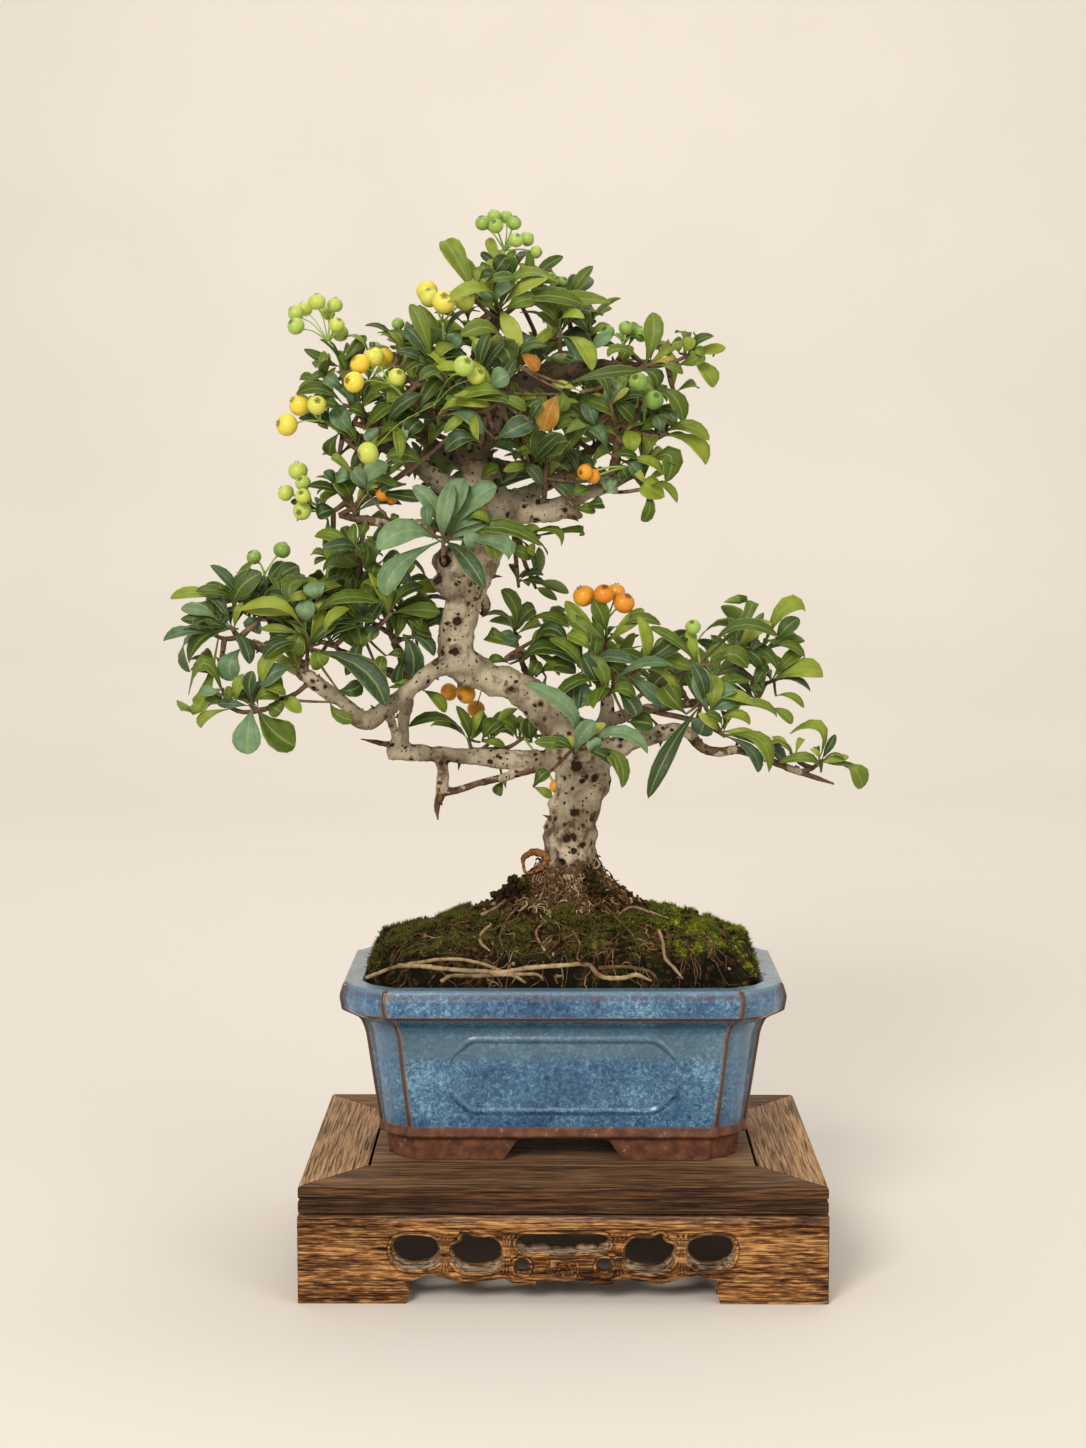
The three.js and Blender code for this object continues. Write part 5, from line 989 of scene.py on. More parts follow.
# Leaves that stand out in the front view: [across, down] of root, middle and tip, then width and tint
LAID_LEAVES = [
    # Crown, upper left
    [474, 283, 457, 260, 445, 238, 10.5, 0.62], [499, 311, 521, 274, 559, 283, 7, 0.62],
    [505, 313, 519, 301, 537, 300, 8, 0.55], [518, 317, 560, 303, 611, 303, 9.5, 0.6],
    [497, 313, 486, 302, 472, 296, 6, 0.62], [496, 305, 487, 294, 478, 285, 9, 0.02],
    [496, 303, 501, 290, 514, 281, 7, 0.04], [492, 278, 499, 266, 507, 256, 8, 0.3],
    [514, 276, 511, 266, 506, 258, 7.5, 0.5], [483, 285, 497, 278, 515, 277, 6, 0.52],
    [479, 281, 485, 274, 493, 274, 5, 0.3], [517, 282, 531, 283, 543, 297, 7.5, 0.48],
    [432, 364, 423, 329, 410, 304, 7, 0.56], [433, 362, 429, 334, 422, 307, 11, 0.58],
    [431, 365, 413, 344, 388, 329, 8, 0.5], [431, 364, 419, 340, 405, 328, 8, 0.2],
    [417, 350, 412, 353, 408, 358, 3.5, 0.4], [432, 368, 418, 361, 400, 374, 7, 0.42],
    [511, 370, 508, 354, 497, 341, 12, 0.45], [502, 338, 484, 327, 461, 336, 7.5, 0.58],
    [463, 333, 456, 339, 450, 347, 8, 0.06], [435, 365, 441, 350, 454, 345, 9, 0.6],
    [508, 399, 487, 390, 455, 399, 8, 0.56], [489, 388, 498, 380, 509, 375, 10, 0.1],
    [519, 353, 530, 360, 538, 371, 7, 1.0],
    # Crown, right
    [590, 336, 583, 322, 573, 316, 11, 0.38], [586, 353, 599, 342, 611, 333, 6.5, 0.05],
    [596, 356, 582, 340, 565, 337, 10, 0.36], [596, 371, 576, 359, 553, 355, 12.5, 0.1],
    [648, 367, 653, 337, 651, 309, 9.5, 0.58], [648, 357, 623, 348, 599, 353, 5, 0.56],
    [619, 368, 624, 355, 632, 346, 8, 0.5], [679, 353, 678, 347, 677, 341, 5, 0.64],
    [683, 353, 688, 345, 692, 337, 6.5, 0.68], [679, 365, 694, 360, 700, 353, 8.5, 0.58],
    [690, 352, 698, 351, 705, 356, 6, 0.64], [685, 368, 706, 371, 715, 389, 9, 0.68],
    [656, 365, 671, 367, 683, 374, 5, 0.56], [655, 388, 675, 398, 683, 422, 8.5, 0.5],
    [640, 371, 654, 374, 657, 388, 9, 0.42], [666, 434, 686, 426, 710, 440, 7.5, 0.62],
    [674, 441, 695, 443, 706, 465, 9.5, 0.72], [653, 410, 667, 414, 675, 430, 7.5, 0.4],
    [638, 433, 648, 425, 661, 423, 6.5, 0.5], [660, 433, 660, 424, 656, 415, 6.5, 0.12],
    [630, 457, 632, 444, 631, 431, 8.5, 0.68], [643, 443, 669, 454, 665, 484, 11, 0.5],
    [619, 465, 645, 460, 664, 475, 6, 0.66], [624, 461, 633, 465, 640, 479, 6.5, 0.12],
    [607, 452, 600, 433, 584, 422, 7.5, 0.12], [617, 422, 606, 407, 585, 400, 7, 0.5],
    [587, 419, 572, 414, 558, 418, 4.5, 0.52], [584, 424, 569, 422, 553, 430, 4.5, 0.52],
    [597, 437, 582, 426, 568, 435, 6.5, 0.54], [596, 427, 591, 415, 587, 402, 8, 0.16],
    [611, 375, 614, 389, 611, 404, 9.5, 0.1], [628, 373, 628, 390, 622, 405, 12, 0.34],
    [565, 385, 602, 374, 641, 371, 6, 0.4], [614, 402, 624, 408, 634, 420, 8, 0.4],
    [558, 394, 550, 410, 543, 431, 10.5, 1.0], [562, 391, 563, 401, 558, 410, 7, 0.52],
    [541, 463, 550, 447, 568, 441, 11, 0.46], [540, 463, 540, 446, 549, 434, 11, 0.36],
    [576, 473, 585, 464, 594, 468, 9, 0.2], [622, 495, 645, 485, 666, 496, 11.5, 0.7],
    [642, 493, 650, 507, 640, 524, 6, 0.5], [612, 493, 609, 485, 606, 477, 10, 0.02],
    [603, 492, 609, 488, 617, 487, 7.5, 0.0], [552, 478, 563, 486, 569, 499, 9.5, 0.1],
    [619, 466, 624, 472, 627, 478, 8, 0.36], [575, 507, 585, 509, 595, 509, 6.5, 0.5],
    [585, 504, 596, 504, 603, 503, 8, 0.36], [568, 522, 576, 529, 582, 537, 4.5, 0.52],
    [540, 526, 553, 529, 562, 547, 4.5, 0.56], [567, 499, 579, 491, 589, 488, 5, 0.5],
    # Crown, middle
    [438, 415, 460, 400, 490, 406, 7.5, 0.68], [517, 414, 500, 397, 464, 397, 7, 0.5],
    [448, 415, 467, 416, 483, 434, 7.5, 0.02], [495, 439, 514, 429, 533, 421, 10, 0.17],
    [529, 421, 535, 411, 540, 402, 5.5, 0.3], [479, 442, 461, 438, 445, 451, 9, 0.2],
    [407, 440, 411, 428, 421, 421, 9, 0.3], [402, 451, 404, 438, 406, 422, 3.5, 0.0],
    [425, 467, 408, 455, 386, 457, 8, 0.5], [413, 470, 401, 463, 388, 466, 5, 0.6],
    [447, 534, 433, 506, 407, 484, 8, 0.05], [449, 527, 455, 500, 463, 478, 12, 0.02],
    [451, 526, 472, 501, 497, 483, 11, 0.05], [448, 536, 494, 527, 541, 546, 8.5, 0.5],
    [464, 527, 470, 537, 474, 547, 8, 0.02], [479, 533, 491, 542, 496, 559, 8, 0.6],
    [491, 534, 500, 543, 502, 559, 7.5, 0.06], [437, 537, 408, 530, 378, 552, 12.5, 0.0],
    [415, 547, 398, 566, 385, 595, 11, 0.06], [443, 542, 463, 554, 480, 581, 8.5, 0.2],
    [467, 522, 477, 514, 489, 522, 5.5, 0.6], [502, 483, 495, 468, 481, 480, 6.5, 0.52],
    [513, 451, 523, 449, 533, 452, 4, 0.6], [523, 437, 530, 442, 536, 448, 5, 0.46],
    [521, 466, 532, 470, 541, 484, 6, 0.15], [507, 552, 519, 551, 531, 559, 6.5, 0.55],
    [524, 548, 530, 549, 535, 551, 6, 0.62], [386, 507, 403, 496, 424, 508, 7.5, 0.32],
    [392, 523, 394, 518, 396, 514, 4, 0.5], [430, 532, 427, 517, 428, 503, 6, 0.1],
    # Crown, left
    [345, 381, 324, 361, 304, 350, 5.5, 0.42], [343, 384, 324, 374, 307, 384, 4.5, 0.5],
    [344, 389, 333, 382, 326, 376, 7, 0.12], [343, 404, 321, 389, 296, 394, 7.5, 0.42],
    [342, 406, 330, 403, 322, 398, 8.5, 0.42], [356, 437, 343, 422, 335, 407, 9.5, 0.1],
    [352, 438, 338, 429, 326, 420, 5, 0.6], [364, 430, 377, 415, 391, 404, 8, 0.5],
    [377, 441, 388, 428, 402, 431, 8, 0.46], [368, 419, 359, 411, 350, 408, 8, 0.4],
    [331, 432, 331, 445, 333, 457, 7, 0.38], [366, 430, 370, 434, 374, 438, 8, 0.08],
    [354, 469, 341, 462, 325, 459, 4.5, 0.64], [368, 493, 371, 475, 388, 465, 10, 0.04],
    [368, 491, 360, 479, 353, 470, 7, 0.08], [350, 501, 347, 489, 338, 479, 12, 0.5],
    [352, 480, 344, 475, 336, 479, 8, 0.08], [336, 484, 331, 477, 326, 470, 6, 0.15],
    [368, 491, 374, 484, 380, 479, 5, 0.7], [406, 484, 391, 485, 376, 491, 5, 0.14],
    [326, 507, 326, 497, 340, 491, 5.5, 0.6], [337, 511, 326, 511, 317, 516, 9, 0.3],
    [328, 520, 334, 544, 357, 565, 13, 0.58], [358, 538, 362, 531, 366, 524, 7, 0.45],
    [364, 567, 368, 554, 365, 541, 11, 0.45], [360, 592, 354, 577, 346, 566, 11, 0.47],
    [371, 579, 373, 571, 375, 564, 10, 0.46], [349, 592, 338, 584, 326, 586, 8, 0.45],
    [379, 600, 373, 591, 378, 583, 10, 0.5],
    # Left pad
    [225, 615, 199, 592, 167, 593, 6.5, 0.68], [218, 620, 201, 610, 181, 609, 6, 0.04],
    [232, 612, 221, 600, 209, 592, 9, 0.08], [233, 610, 240, 588, 262, 573, 11, 0.42],
    [232, 591, 219, 586, 205, 585, 4, 0.46], [267, 586, 282, 574, 299, 563, 8, 0.38],
    [278, 602, 289, 588, 307, 577, 9, 0.5], [256, 597, 259, 588, 265, 579, 7, 0.3],
    [302, 629, 278, 604, 238, 611, 8.5, 0.74], [305, 625, 306, 613, 304, 601, 9, 0.04],
    [317, 601, 315, 592, 315, 583, 10, 0.02], [338, 595, 333, 588, 330, 581, 10, 0.45],
    [312, 618, 340, 598, 379, 602, 8, 0.52], [285, 603, 296, 597, 308, 594, 4.5, 0.64],
    [238, 629, 204, 637, 189, 663, 11, 0.42], [232, 642, 206, 663, 185, 686, 9, 0.54],
    [242, 648, 230, 663, 232, 681, 11, 0.08], [265, 618, 254, 623, 258, 634, 10, 0.12],
    [302, 634, 281, 629, 261, 629, 4.5, 0.6], [302, 633, 297, 642, 292, 652, 10.5, 0.5],
    [270, 633, 276, 643, 279, 652, 10, 0.5], [299, 648, 272, 655, 258, 686, 7, 0.64],
    [293, 668, 275, 672, 260, 686, 11, 0.14], [218, 697, 202, 701, 186, 694, 9, 0.64],
    [223, 688, 211, 692, 200, 688, 5.5, 0.02], [221, 709, 206, 716, 196, 729, 5.5, 0.66],
    [233, 704, 229, 695, 230, 686, 5, 0.56], [237, 704, 237, 688, 244, 674, 5.5, 0.62],
    [252, 702, 249, 686, 253, 671, 6.5, 0.25], [260, 689, 273, 688, 286, 694, 5.5, 0.64],
    [254, 703, 265, 694, 280, 697, 8, 0.5], [270, 702, 289, 702, 302, 713, 7, 0.66],
    [269, 705, 275, 708, 281, 713, 9, 0.48], [244, 713, 248, 732, 255, 755, 13.5, 0.03],
    [259, 712, 274, 732, 294, 748, 15.5, 0.5], [330, 702, 338, 715, 353, 720, 6.5, 0.55],
    [387, 619, 388, 604, 388, 592, 9, 0.44], [398, 597, 408, 590, 418, 582, 6, 0.64],
    [388, 619, 411, 608, 439, 621, 12.5, 0.46], [431, 621, 453, 637, 456, 669, 6, 0.64],
    [412, 625, 421, 630, 430, 631, 9, 0.5], [403, 635, 413, 654, 412, 677, 11, 0.22],
    [404, 636, 424, 640, 434, 656, 7, 0.18], [323, 649, 360, 667, 385, 705, 11.5, 0.22],
    [325, 641, 330, 618, 349, 609, 5, 0.66], [342, 601, 358, 602, 368, 618, 8, 0.12],
    [357, 651, 352, 638, 347, 626, 9, 0.47], [358, 652, 361, 640, 359, 628, 8, 0.5],
    [380, 629, 373, 631, 368, 637, 7.5, 0.08], [380, 620, 373, 611, 368, 603, 8, 0.4],
    [364, 646, 371, 637, 379, 630, 4, 0.68], [382, 680, 380, 668, 383, 656, 6, 0.55],
    [386, 656, 396, 653, 404, 656, 5, 0.42], [386, 678, 397, 676, 409, 680, 6, 0.25],
    [386, 688, 400, 685, 411, 681, 4, 0.62], [422, 690, 436, 698, 446, 712, 7, 0.62],
    [320, 650, 318, 658, 324, 666, 10, 0.55], [338, 690, 351, 690, 362, 684, 8, 0.3],
    # Right pad
    [514, 626, 515, 606, 501, 591, 7.5, 0.48], [518, 624, 526, 613, 532, 604, 8.5, 0.42],
    [524, 622, 547, 616, 566, 626, 5.5, 0.52], [527, 632, 546, 628, 563, 637, 7.5, 0.3],
    [505, 643, 495, 637, 489, 629, 8, 0.5], [521, 637, 511, 639, 499, 633, 8, 0.12],
    [510, 664, 498, 659, 488, 662, 5, 0.46], [520, 662, 540, 648, 564, 655, 11.5, 0.38],
    [583, 676, 572, 651, 549, 639, 6.5, 0.58], [536, 677, 556, 665, 576, 673, 11.5, 0.44],
    [529, 678, 534, 670, 539, 661, 6.5, 0.44], [591, 686, 581, 685, 570, 681, 9.5, 0.54],
    [546, 677, 541, 700, 543, 720, 12, 0.14], [601, 699, 584, 696, 567, 702, 11.5, 0.12],
    [557, 692, 568, 687, 580, 688, 8, 0.22], [573, 756, 571, 711, 523, 682, 8, 0.05],
    [574, 756, 563, 742, 545, 743, 6, 0.4], [576, 752, 582, 735, 595, 721, 8, 0.08],
    [587, 734, 617, 731, 649, 745, 7, 0.05], [589, 736, 593, 742, 596, 750, 8, 0.02],
    [576, 761, 612, 756, 622, 788, 7, 0.56], [586, 750, 601, 754, 614, 762, 7.5, 0.26],
    [606, 633, 602, 616, 593, 599, 8.5, 0.48], [602, 656, 588, 633, 567, 616, 8, 0.52],
    [605, 645, 598, 633, 587, 626, 7, 0.42], [592, 652, 582, 641, 567, 634, 7, 0.64],
    [616, 632, 636, 618, 661, 625, 6, 0.54], [605, 655, 628, 654, 648, 665, 6.5, 0.44],
    [604, 696, 604, 675, 590, 656, 7, 0.52], [600, 690, 592, 673, 583, 656, 8, 0.28],
    [606, 661, 614, 665, 623, 671, 6.5, 0.46], [608, 696, 623, 688, 636, 698, 7, 0.52],
    [611, 697, 630, 702, 636, 722, 8.5, 0.24], [482, 740, 490, 728, 500, 721, 10, 0.46],
    [517, 737, 512, 726, 502, 721, 6, 0.5], [532, 742, 529, 730, 530, 718, 9.5, 0.44],
    [480, 742, 492, 742, 505, 746, 4.5, 0.6], [533, 786, 540, 777, 548, 771, 7, 0.42],
    [533, 787, 543, 791, 552, 797, 4.5, 0.6], [503, 781, 499, 788, 497, 795, 5.5, 0.5],
    [697, 665, 677, 642, 649, 627, 6, 0.5], [707, 651, 740, 625, 778, 637, 7, 0.46],
    [763, 626, 751, 609, 719, 601, 6.5, 0.52], [767, 629, 783, 609, 811, 609, 8.5, 0.68],
    [775, 642, 785, 629, 799, 618, 8.5, 0.42], [770, 647, 790, 645, 805, 657, 6.5, 0.52],
    [781, 683, 801, 669, 828, 665, 11, 0.7], [779, 678, 770, 656, 745, 643, 6, 0.46],
    [776, 696, 791, 696, 804, 708, 4.5, 0.62], [770, 708, 783, 713, 792, 724, 5.5, 0.62],
    [836, 752, 821, 728, 788, 733, 6.5, 0.64], [845, 765, 857, 772, 862, 788, 9.5, 0.62],
    [821, 772, 809, 758, 779, 763, 5.5, 0.56], [725, 735, 760, 740, 769, 772, 9.5, 0.62],
    [732, 741, 751, 750, 756, 772, 6, 0.16], [714, 740, 671, 746, 651, 783, 8, 0.26],
    [602, 749, 620, 760, 622, 788, 6.5, 0.52], [709, 712, 702, 690, 703, 667, 9, 0.02],
    [709, 712, 722, 693, 738, 691, 8, 0.04], [710, 712, 714, 694, 712, 675, 9, 0.64],
    [704, 712, 684, 665, 645, 649, 6.5, 0.56], [686, 714, 672, 699, 664, 687, 12, 0.5],
    [709, 712, 753, 703, 777, 717, 5.5, 0.62], [716, 721, 737, 715, 750, 725, 6, 0.62],
    [709, 712, 722, 704, 736, 701, 7.5, 0.08], [709, 715, 704, 724, 700, 735, 11, 0.16],
    [616, 680, 641, 664, 673, 665, 6.5, 0.12], [652, 694, 656, 682, 667, 674, 10.5, 0.42],
    [627, 676, 647, 688, 665, 708, 7, 0.12], [628, 722, 640, 722, 653, 725, 11, 0.42],
    [734, 649, 754, 654, 762, 667, 8, 0.4], [714, 664, 732, 654, 748, 668, 9, 0.5],
]
# The way that the upper face of a laid leaf looks
LEAF_LIE = Vector((0, -0.85, 0.52))


def take_laid(left, aim):
    """The laid leaf whose tip is at a place of the picture, taken off the list, if there is one."""
    found = next((leaf for leaf in left if abs(leaf[4] - aim[0]) + abs(leaf[5] - aim[1]) < 9), None)
    if found:
        left.remove(found)
    return found


def bow_through(root, middle, tip):
    """Where a curve from a root to a tip has to aim, to pass through a middle point."""
    return middle * 2 - (root + tip) / 2


def seen_at(point):
    """Across and down of a point in the front view."""
    reach = point - EYE
    far = reach.dot(FORWARD)
    return ACROSS + FOCAL * reach.dot(RIGHT) / far, DOWN - FOCAL * reach.dot(UP) / far


def carrier(sprays, across, down):
    """The front twig that is nearest to a place of the picture, and its spray."""
    best = None
    for name, twigs in sprays.items():
        for twig in twigs:
            u, v = seen_at(twig["centre"])
            cost = 0.456 * math.hypot(u - across, v - down) + 0.25 * twig["centre"].y
            if best is None or cost < best[0]:
                best = (cost, name, twig)
    return best[1], best[2]


def lay_leaf(heap, twig, entry, draw):
    """One blade that follows a laid leaf, on a short shoot from the twig that carries it."""
    depth = twig["centre"].y - 2.5
    root = place(entry[0], entry[1], depth)
    middle = place(entry[2], entry[3], depth - 3 - 2 * next(draw))
    tip = place(entry[4], entry[5], depth - 1 + 6 * (next(draw) - 0.5))
    if (root - twig["centre"]).length > 1.2:
        between = twig["centre"].lerp(root, 0.5) + Vector((0, 0.8, -0.6))
        heap.add_tube([twig["centre"], between, root], [0.8, 0.65, 0.5], 2, 6, 0.12, depth, slot=1, **STALK)
    way = (tip - root).normalized()
    roll = Matrix.Rotation((next(draw) - 0.5) * 0.6, 3, way)
    bow = bow_through(root, middle, tip)
    points, faces, numbers = blade(root, tip, roll @ LEAF_LIE, entry[6], draw,
                                   fold=0.16 + 0.2 * next(draw), bow=bow)
    tint = min(1, max(0, entry[7] + 0.05 * (next(draw) - 0.5)))
    heap.add(points, faces, tint=tint, age=0, **numbers)


# Rosettes in front of the crown's wood as [spray, across, down, depth, length]
FILLERS = [
    ["spray_crown_inner_right", 519, 452, -14, 19], ["spray_crown_right_low", 538, 477, -12, 20],
    ["spray_crown_face", 480, 446, -18, 18], ["spray_crown_left_low", 455, 432, -14, 19],
    ["spray_crown_left_low", 432, 446, -10, 18], ["spray_crown_inner_right", 552, 414, -16, 20],
    ["spray_crown_face", 496, 382, -20, 19], ["spray_crown_top", 526, 354, -14, 20],
    ["spray_crown_right_high", 580, 392, -16, 19], ["spray_crown_inner_right", 516, 410, -18, 18],
    ["spray_crown_face", 470, 400, -20, 19], ["spray_crown_right_low", 575, 478, -14, 18],
    ["spray_crown_right_mid", 610, 400, -16, 19], ["spray_left_inner", 392, 612, -10, 22],
    ["spray_left_mid", 330, 640, -12, 22], ["spray_left_mid", 296, 612, -8, 22],
]


def added_twig(origin, middle, centre, axis, number, length):
    """A twig that no packed leaf belongs to."""
    return {"origin": origin, "middle": middle, "centre": centre, "shoot": (centre - middle).normalized(),
            "axis": axis, "seed": 7000 + number, "tips": [], "leaves": 0, "length": length}


def inner_twigs(sprays):
    """Short leafy twigs between neighbouring ones, which fill the crown without widening it."""
    every = [(name, twig) for name, twigs in sprays.items() for twig in twigs]
    taken = [twig["centre"] for _, twig in every]
    added = {name: [] for name in sprays}
    draw = random.Random(404)
    for i, (name, one) in enumerate(every):
        near = sorted(every[i + 1:], key=lambda other: (other[1]["centre"] - one["centre"]).length)[:3]
        for _, other in near:
            if not 13 < (other["centre"] - one["centre"]).length < 46:
                continue
            centre = one["centre"].lerp(other["centre"], draw.uniform(0.4, 0.6))
            centre += jitter(draw, 3) + Vector((0, 3, 0))
            if "right" in name and "crown" not in name or min((centre - spot).length for spot in taken) < 8.5:
                continue
            starts = (one["middle"], other["middle"], one["origin"])
            origin = min(starts, key=lambda spot: (spot - centre).length)
            middle = origin.lerp(centre, 0.55) - Vector((0, 0, 1.5))
            axis = (one["axis"] + other["axis"] + jitter(draw, 0.5)).normalized()
            added[name].append(added_twig(origin, middle, centre, axis, len(taken), draw.uniform(15, 22)))
            taken.append(centre)
    for name, across, down, depth, length in FILLERS:
        centre = place(across, down, depth)
        parent = min(sprays[name], key=lambda twig: (twig["middle"] - centre).length)
        middle = parent["middle"].lerp(centre, 0.6) - Vector((0, 0, 2))
        axis = ((centre - middle).normalized() + Vector((0, -0.5, 0.8))).normalized()
        added[name].append(added_twig(parent["middle"], middle, centre, axis, len(taken), length))
        taken.append(centre)
    return added


def extra_leaves(name, back):
    """How many leaves a twig gets beyond those that were built and laid."""
    if "crown" not in name and not back:
        return 4 if "right" in name else 10
    return 8 if back else 7


def build_spray(name, twigs, corners, spots, left):
    """The blades of a spray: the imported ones, those laid over the picture, and more between them."""
    heap = Heap()
    back = name.endswith("_back") or "_back_" in name
    for twig in twigs:
        draw = draws(twig["seed"] + 4000)
        heap.add_tube([twig["origin"], twig["middle"], twig["centre"]], [1.35, 1.1, 0.75], 2.5, 7, 0.16,
                      twig["seed"], slot=1, **STALK)
        built = find_leaves(twig, corners)
        front = twig["centre"].y < SPLIT_DEPTH
        facing = Vector((0, -0.9 if front else 0.9, 0.5)) + twig["axis"] * 0.4
        extra = len(twig["tips"]) + twig["leaves"]
        notes = {leaf: take_laid(left, twig["tips"][leaf]) for leaf in range(len(twig["tips"]))}
        plan = [(tip, notes.get(leaf), 1.0) for leaf, tip, _ in built]
        numbers = {leaf for leaf, _, _ in built}
        plan += [(place(*aim), notes[leaf], 1.0)
                 for leaf, aim in enumerate(twig["tips"]) if leaf not in numbers]
        for more in range(extra_leaves(name, back)):
            size = 0.62 + 0.42 * next(draw)
            tip = leaf_tip(twig["centre"], twig["axis"], twig["length"] * size, extra + more, 0, twig["seed"])
            shown = not back and tip.y < twig["centre"].y - 1
            if spots.clear(twig["centre"].lerp(tip, 0.7), 2.7) and not shown:
                plan.append((tip, None, size))
        tone = 0.46 + 0.2 * (next(draw) - 0.5) + BRIGHT_SPRAYS.get(name, 0)
        for tip, note, size in plan:
            way = tip - twig["centre"]
            width = min(9.5, max(3.4, way.length * LEAF_WIDTH)) * (0.86 + 0.22 * next(draw))
            width = note[6] if note else width
            root = twig["centre"] - twig["shoot"] * (3.5 * next(draw)) + way.normalized() * 0.6
            roll = Matrix.Rotation((next(draw) - 0.5) * 1.1, 3, way.normalized())
            tint = tone + 0.6 * (next(draw) - 0.5) + (0.14 if size < 0.7 else 0)
            tint = 0.02 + 0.18 * next(draw) if name in BLUE_SPRAYS else tint
            tint = note[7] if note else tint
            bow = bow_through(root, place(note[2], note[3], (root.y + tip.y) / 2 - 2), tip) if note else None
            lie = LEAF_LIE if note else roll @ facing
            fold, arch, curl = 0.16 + 0.3 * next(draw), 0.1 + 0.16 * next(draw), 0.3 * next(draw) ** 2
            points, faces, shares = blade(root, tip, lie, width, draw, fold, arch, curl, bow)
            heap.add(points, faces, tint=min(0.93, max(0.02, tint)), age=0, **shares)
            spots.take(twig["centre"].lerp(tip, 0.7))
    return heap


class Spots:
    """Places already taken by a leaf, so that added leaves keep apart."""

    def __init__(self):
        self.taken = []

    def clear(self, point, far):
        return all((point - other).length > far for other in self.taken[-400:])

    def take(self, point):
        self.taken.append(point.copy())


# Berries, by how ripe a bunch is from 0 to 1
RIPENESS = {
    "berries_apex_green": 0.16, "berries_top_yellow": 0.46, "berries_left_top": 0.26,
    "berries_left_orange": 0.56, "berries_left_yellow": 0.42, "berries_left_green": 0.24,
    "berries_face_green": 0.26, "berries_right_crown": 0.12, "berries_right_high": 0.04,
    "berries_left_pad": 0.06, "berries_orange": 0.92, "berries_right_green": 0.08,
    "berries_fork_orange": 0.9,
}


def spread(berries):
    """The berries of a bunch moved nearer or farther until none touches another."""
    berries = [list(berry) for berry in berries]
    for _ in range(40):
        for i, a in enumerate(berries):
            for b in berries[i + 1:]:
                apart = (place(*a[:3]) - place(*b[:3])).length
                if apart - (a[3] + b[3]) * BERRY_SCALE - 0.7 < 0:
                    push = 0.5 if a[2] < b[2] else -0.5
                    a[2] -= push
                    b[2] += push
    return berries


def add_fruit(heap, centre, radius, away, seed, ripe):
    """One berry: a slightly flat globe with a star of dried sepals round a dimple at its far end."""
    points, faces = ball(13, 15)
    lift = points[:, 2]
    dimple = smooth_step(0.86, 1.0, lift)
    turn = np.arctan2(points[:, 1], points[:, 0])
    flat = points * np.array([1.0, 1.0, 0.93])
    flat[:, 2] -= 0.16 * dimple
    flat[:, 2] += 0.05 * smooth_step(0.9, 1.0, -lift) * 2
    ridge = 1 + 0.012 * np.cos(5 * turn + seed) * (1 - abs(lift))
    flat[:, :2] *= ridge[:, None]
    star = 0.962 + 0.022 * np.cos(5 * turn)
    calyx = smooth_step(0.0, 0.03, lift - star)
    turned = np.array(Vector((0, 0, 1)).rotation_difference(away).to_matrix())
    points = (flat * radius) @ turned.T + np.array(centre)
    sepals, sepal_faces = [], []
    for k in range(5):
        angle = 2 * math.pi * k / 5
        for reach, swing, rise in ((0.2, -0.4, 0.87), (0.2, 0.4, 0.87), (0.06, 0.0, 0.97), (0.27, 0.0, 0.98)):
            spot = np.array([math.cos(angle + swing) * reach, math.sin(angle + swing) * reach, rise])
            sepals.append(spot * radius)
        sepal_faces += [(4 * k, 4 * k + 3, 4 * k + 2), (4 * k + 3, 4 * k + 1, 4 * k + 2)]
    sepals = np.array(sepals) @ turned.T + np.array(centre)
    heap.add(points, faces, ripe=ripe, calyx=calyx)
    heap.add(sepals, sepal_faces, ripe=ripe, calyx=0.85)


# Single berries half hidden in the leaves as [across, down, depth, radius, ripeness, spray]
LONE_BERRIES = [
    [585, 472, -22, 3.6, 0.9, "spray_crown_right_low"], [593, 476, -18, 3.4, 0.94, "spray_crown_right_low"],
    [383, 494, -14, 3.4, 0.94, "spray_crown_left_low"], [391, 499, -10, 3.0, 0.9, "spray_crown_left_low"],
    [478, 345, -20, 3.0, 0.14, "spray_crown_face"], [487, 352, -20, 2.8, 0.1, "spray_crown_face"],
    [398, 324, -6, 2.9, 0.1, "spray_crown_upper_left"], [550, 278, -4, 2.7, 0.04, "spray_crown_top"],
    [563, 281, -4, 2.2, 0.04, "spray_crown_top"], [556, 786, -2, 3.2, 0.9, "spray_under_arch"],
    [397, 378, -10, 2.9, 0.14, "spray_crown_upper_left"], [202, 628, -6, 3.0, 0.1, "spray_left_tip"],
]


def build_lone_berries(sprays, skin):
    heap = Heap()
    draw = draws(909)
    for across, down, depth, radius, ripe, name in LONE_BERRIES:
        centre = place(across, down, depth)
        start = min((twig["centre"] for twig in sprays[name]), key=lambda spot: (spot - centre).length)
        way = (centre - start).normalized()
        stalk = [start, start.lerp(centre, 0.5) + Vector((0, 0, 1.4)), centre - way * radius * 0.8]
        heap.add_tube(stalk, [0.6, 0.46, 0.6], 1.2, 7, 0.1, across, ripe=0.1, calyx=0)
        away = (way + Vector((next(draw) - 0.5, -0.7 * next(draw), next(draw) - 0.2)) * 0.8).normalized()
        add_fruit(heap, centre, radius, away, down, ripe)
    heap.make("fruit_lone", [skin], (), "berry_orange")


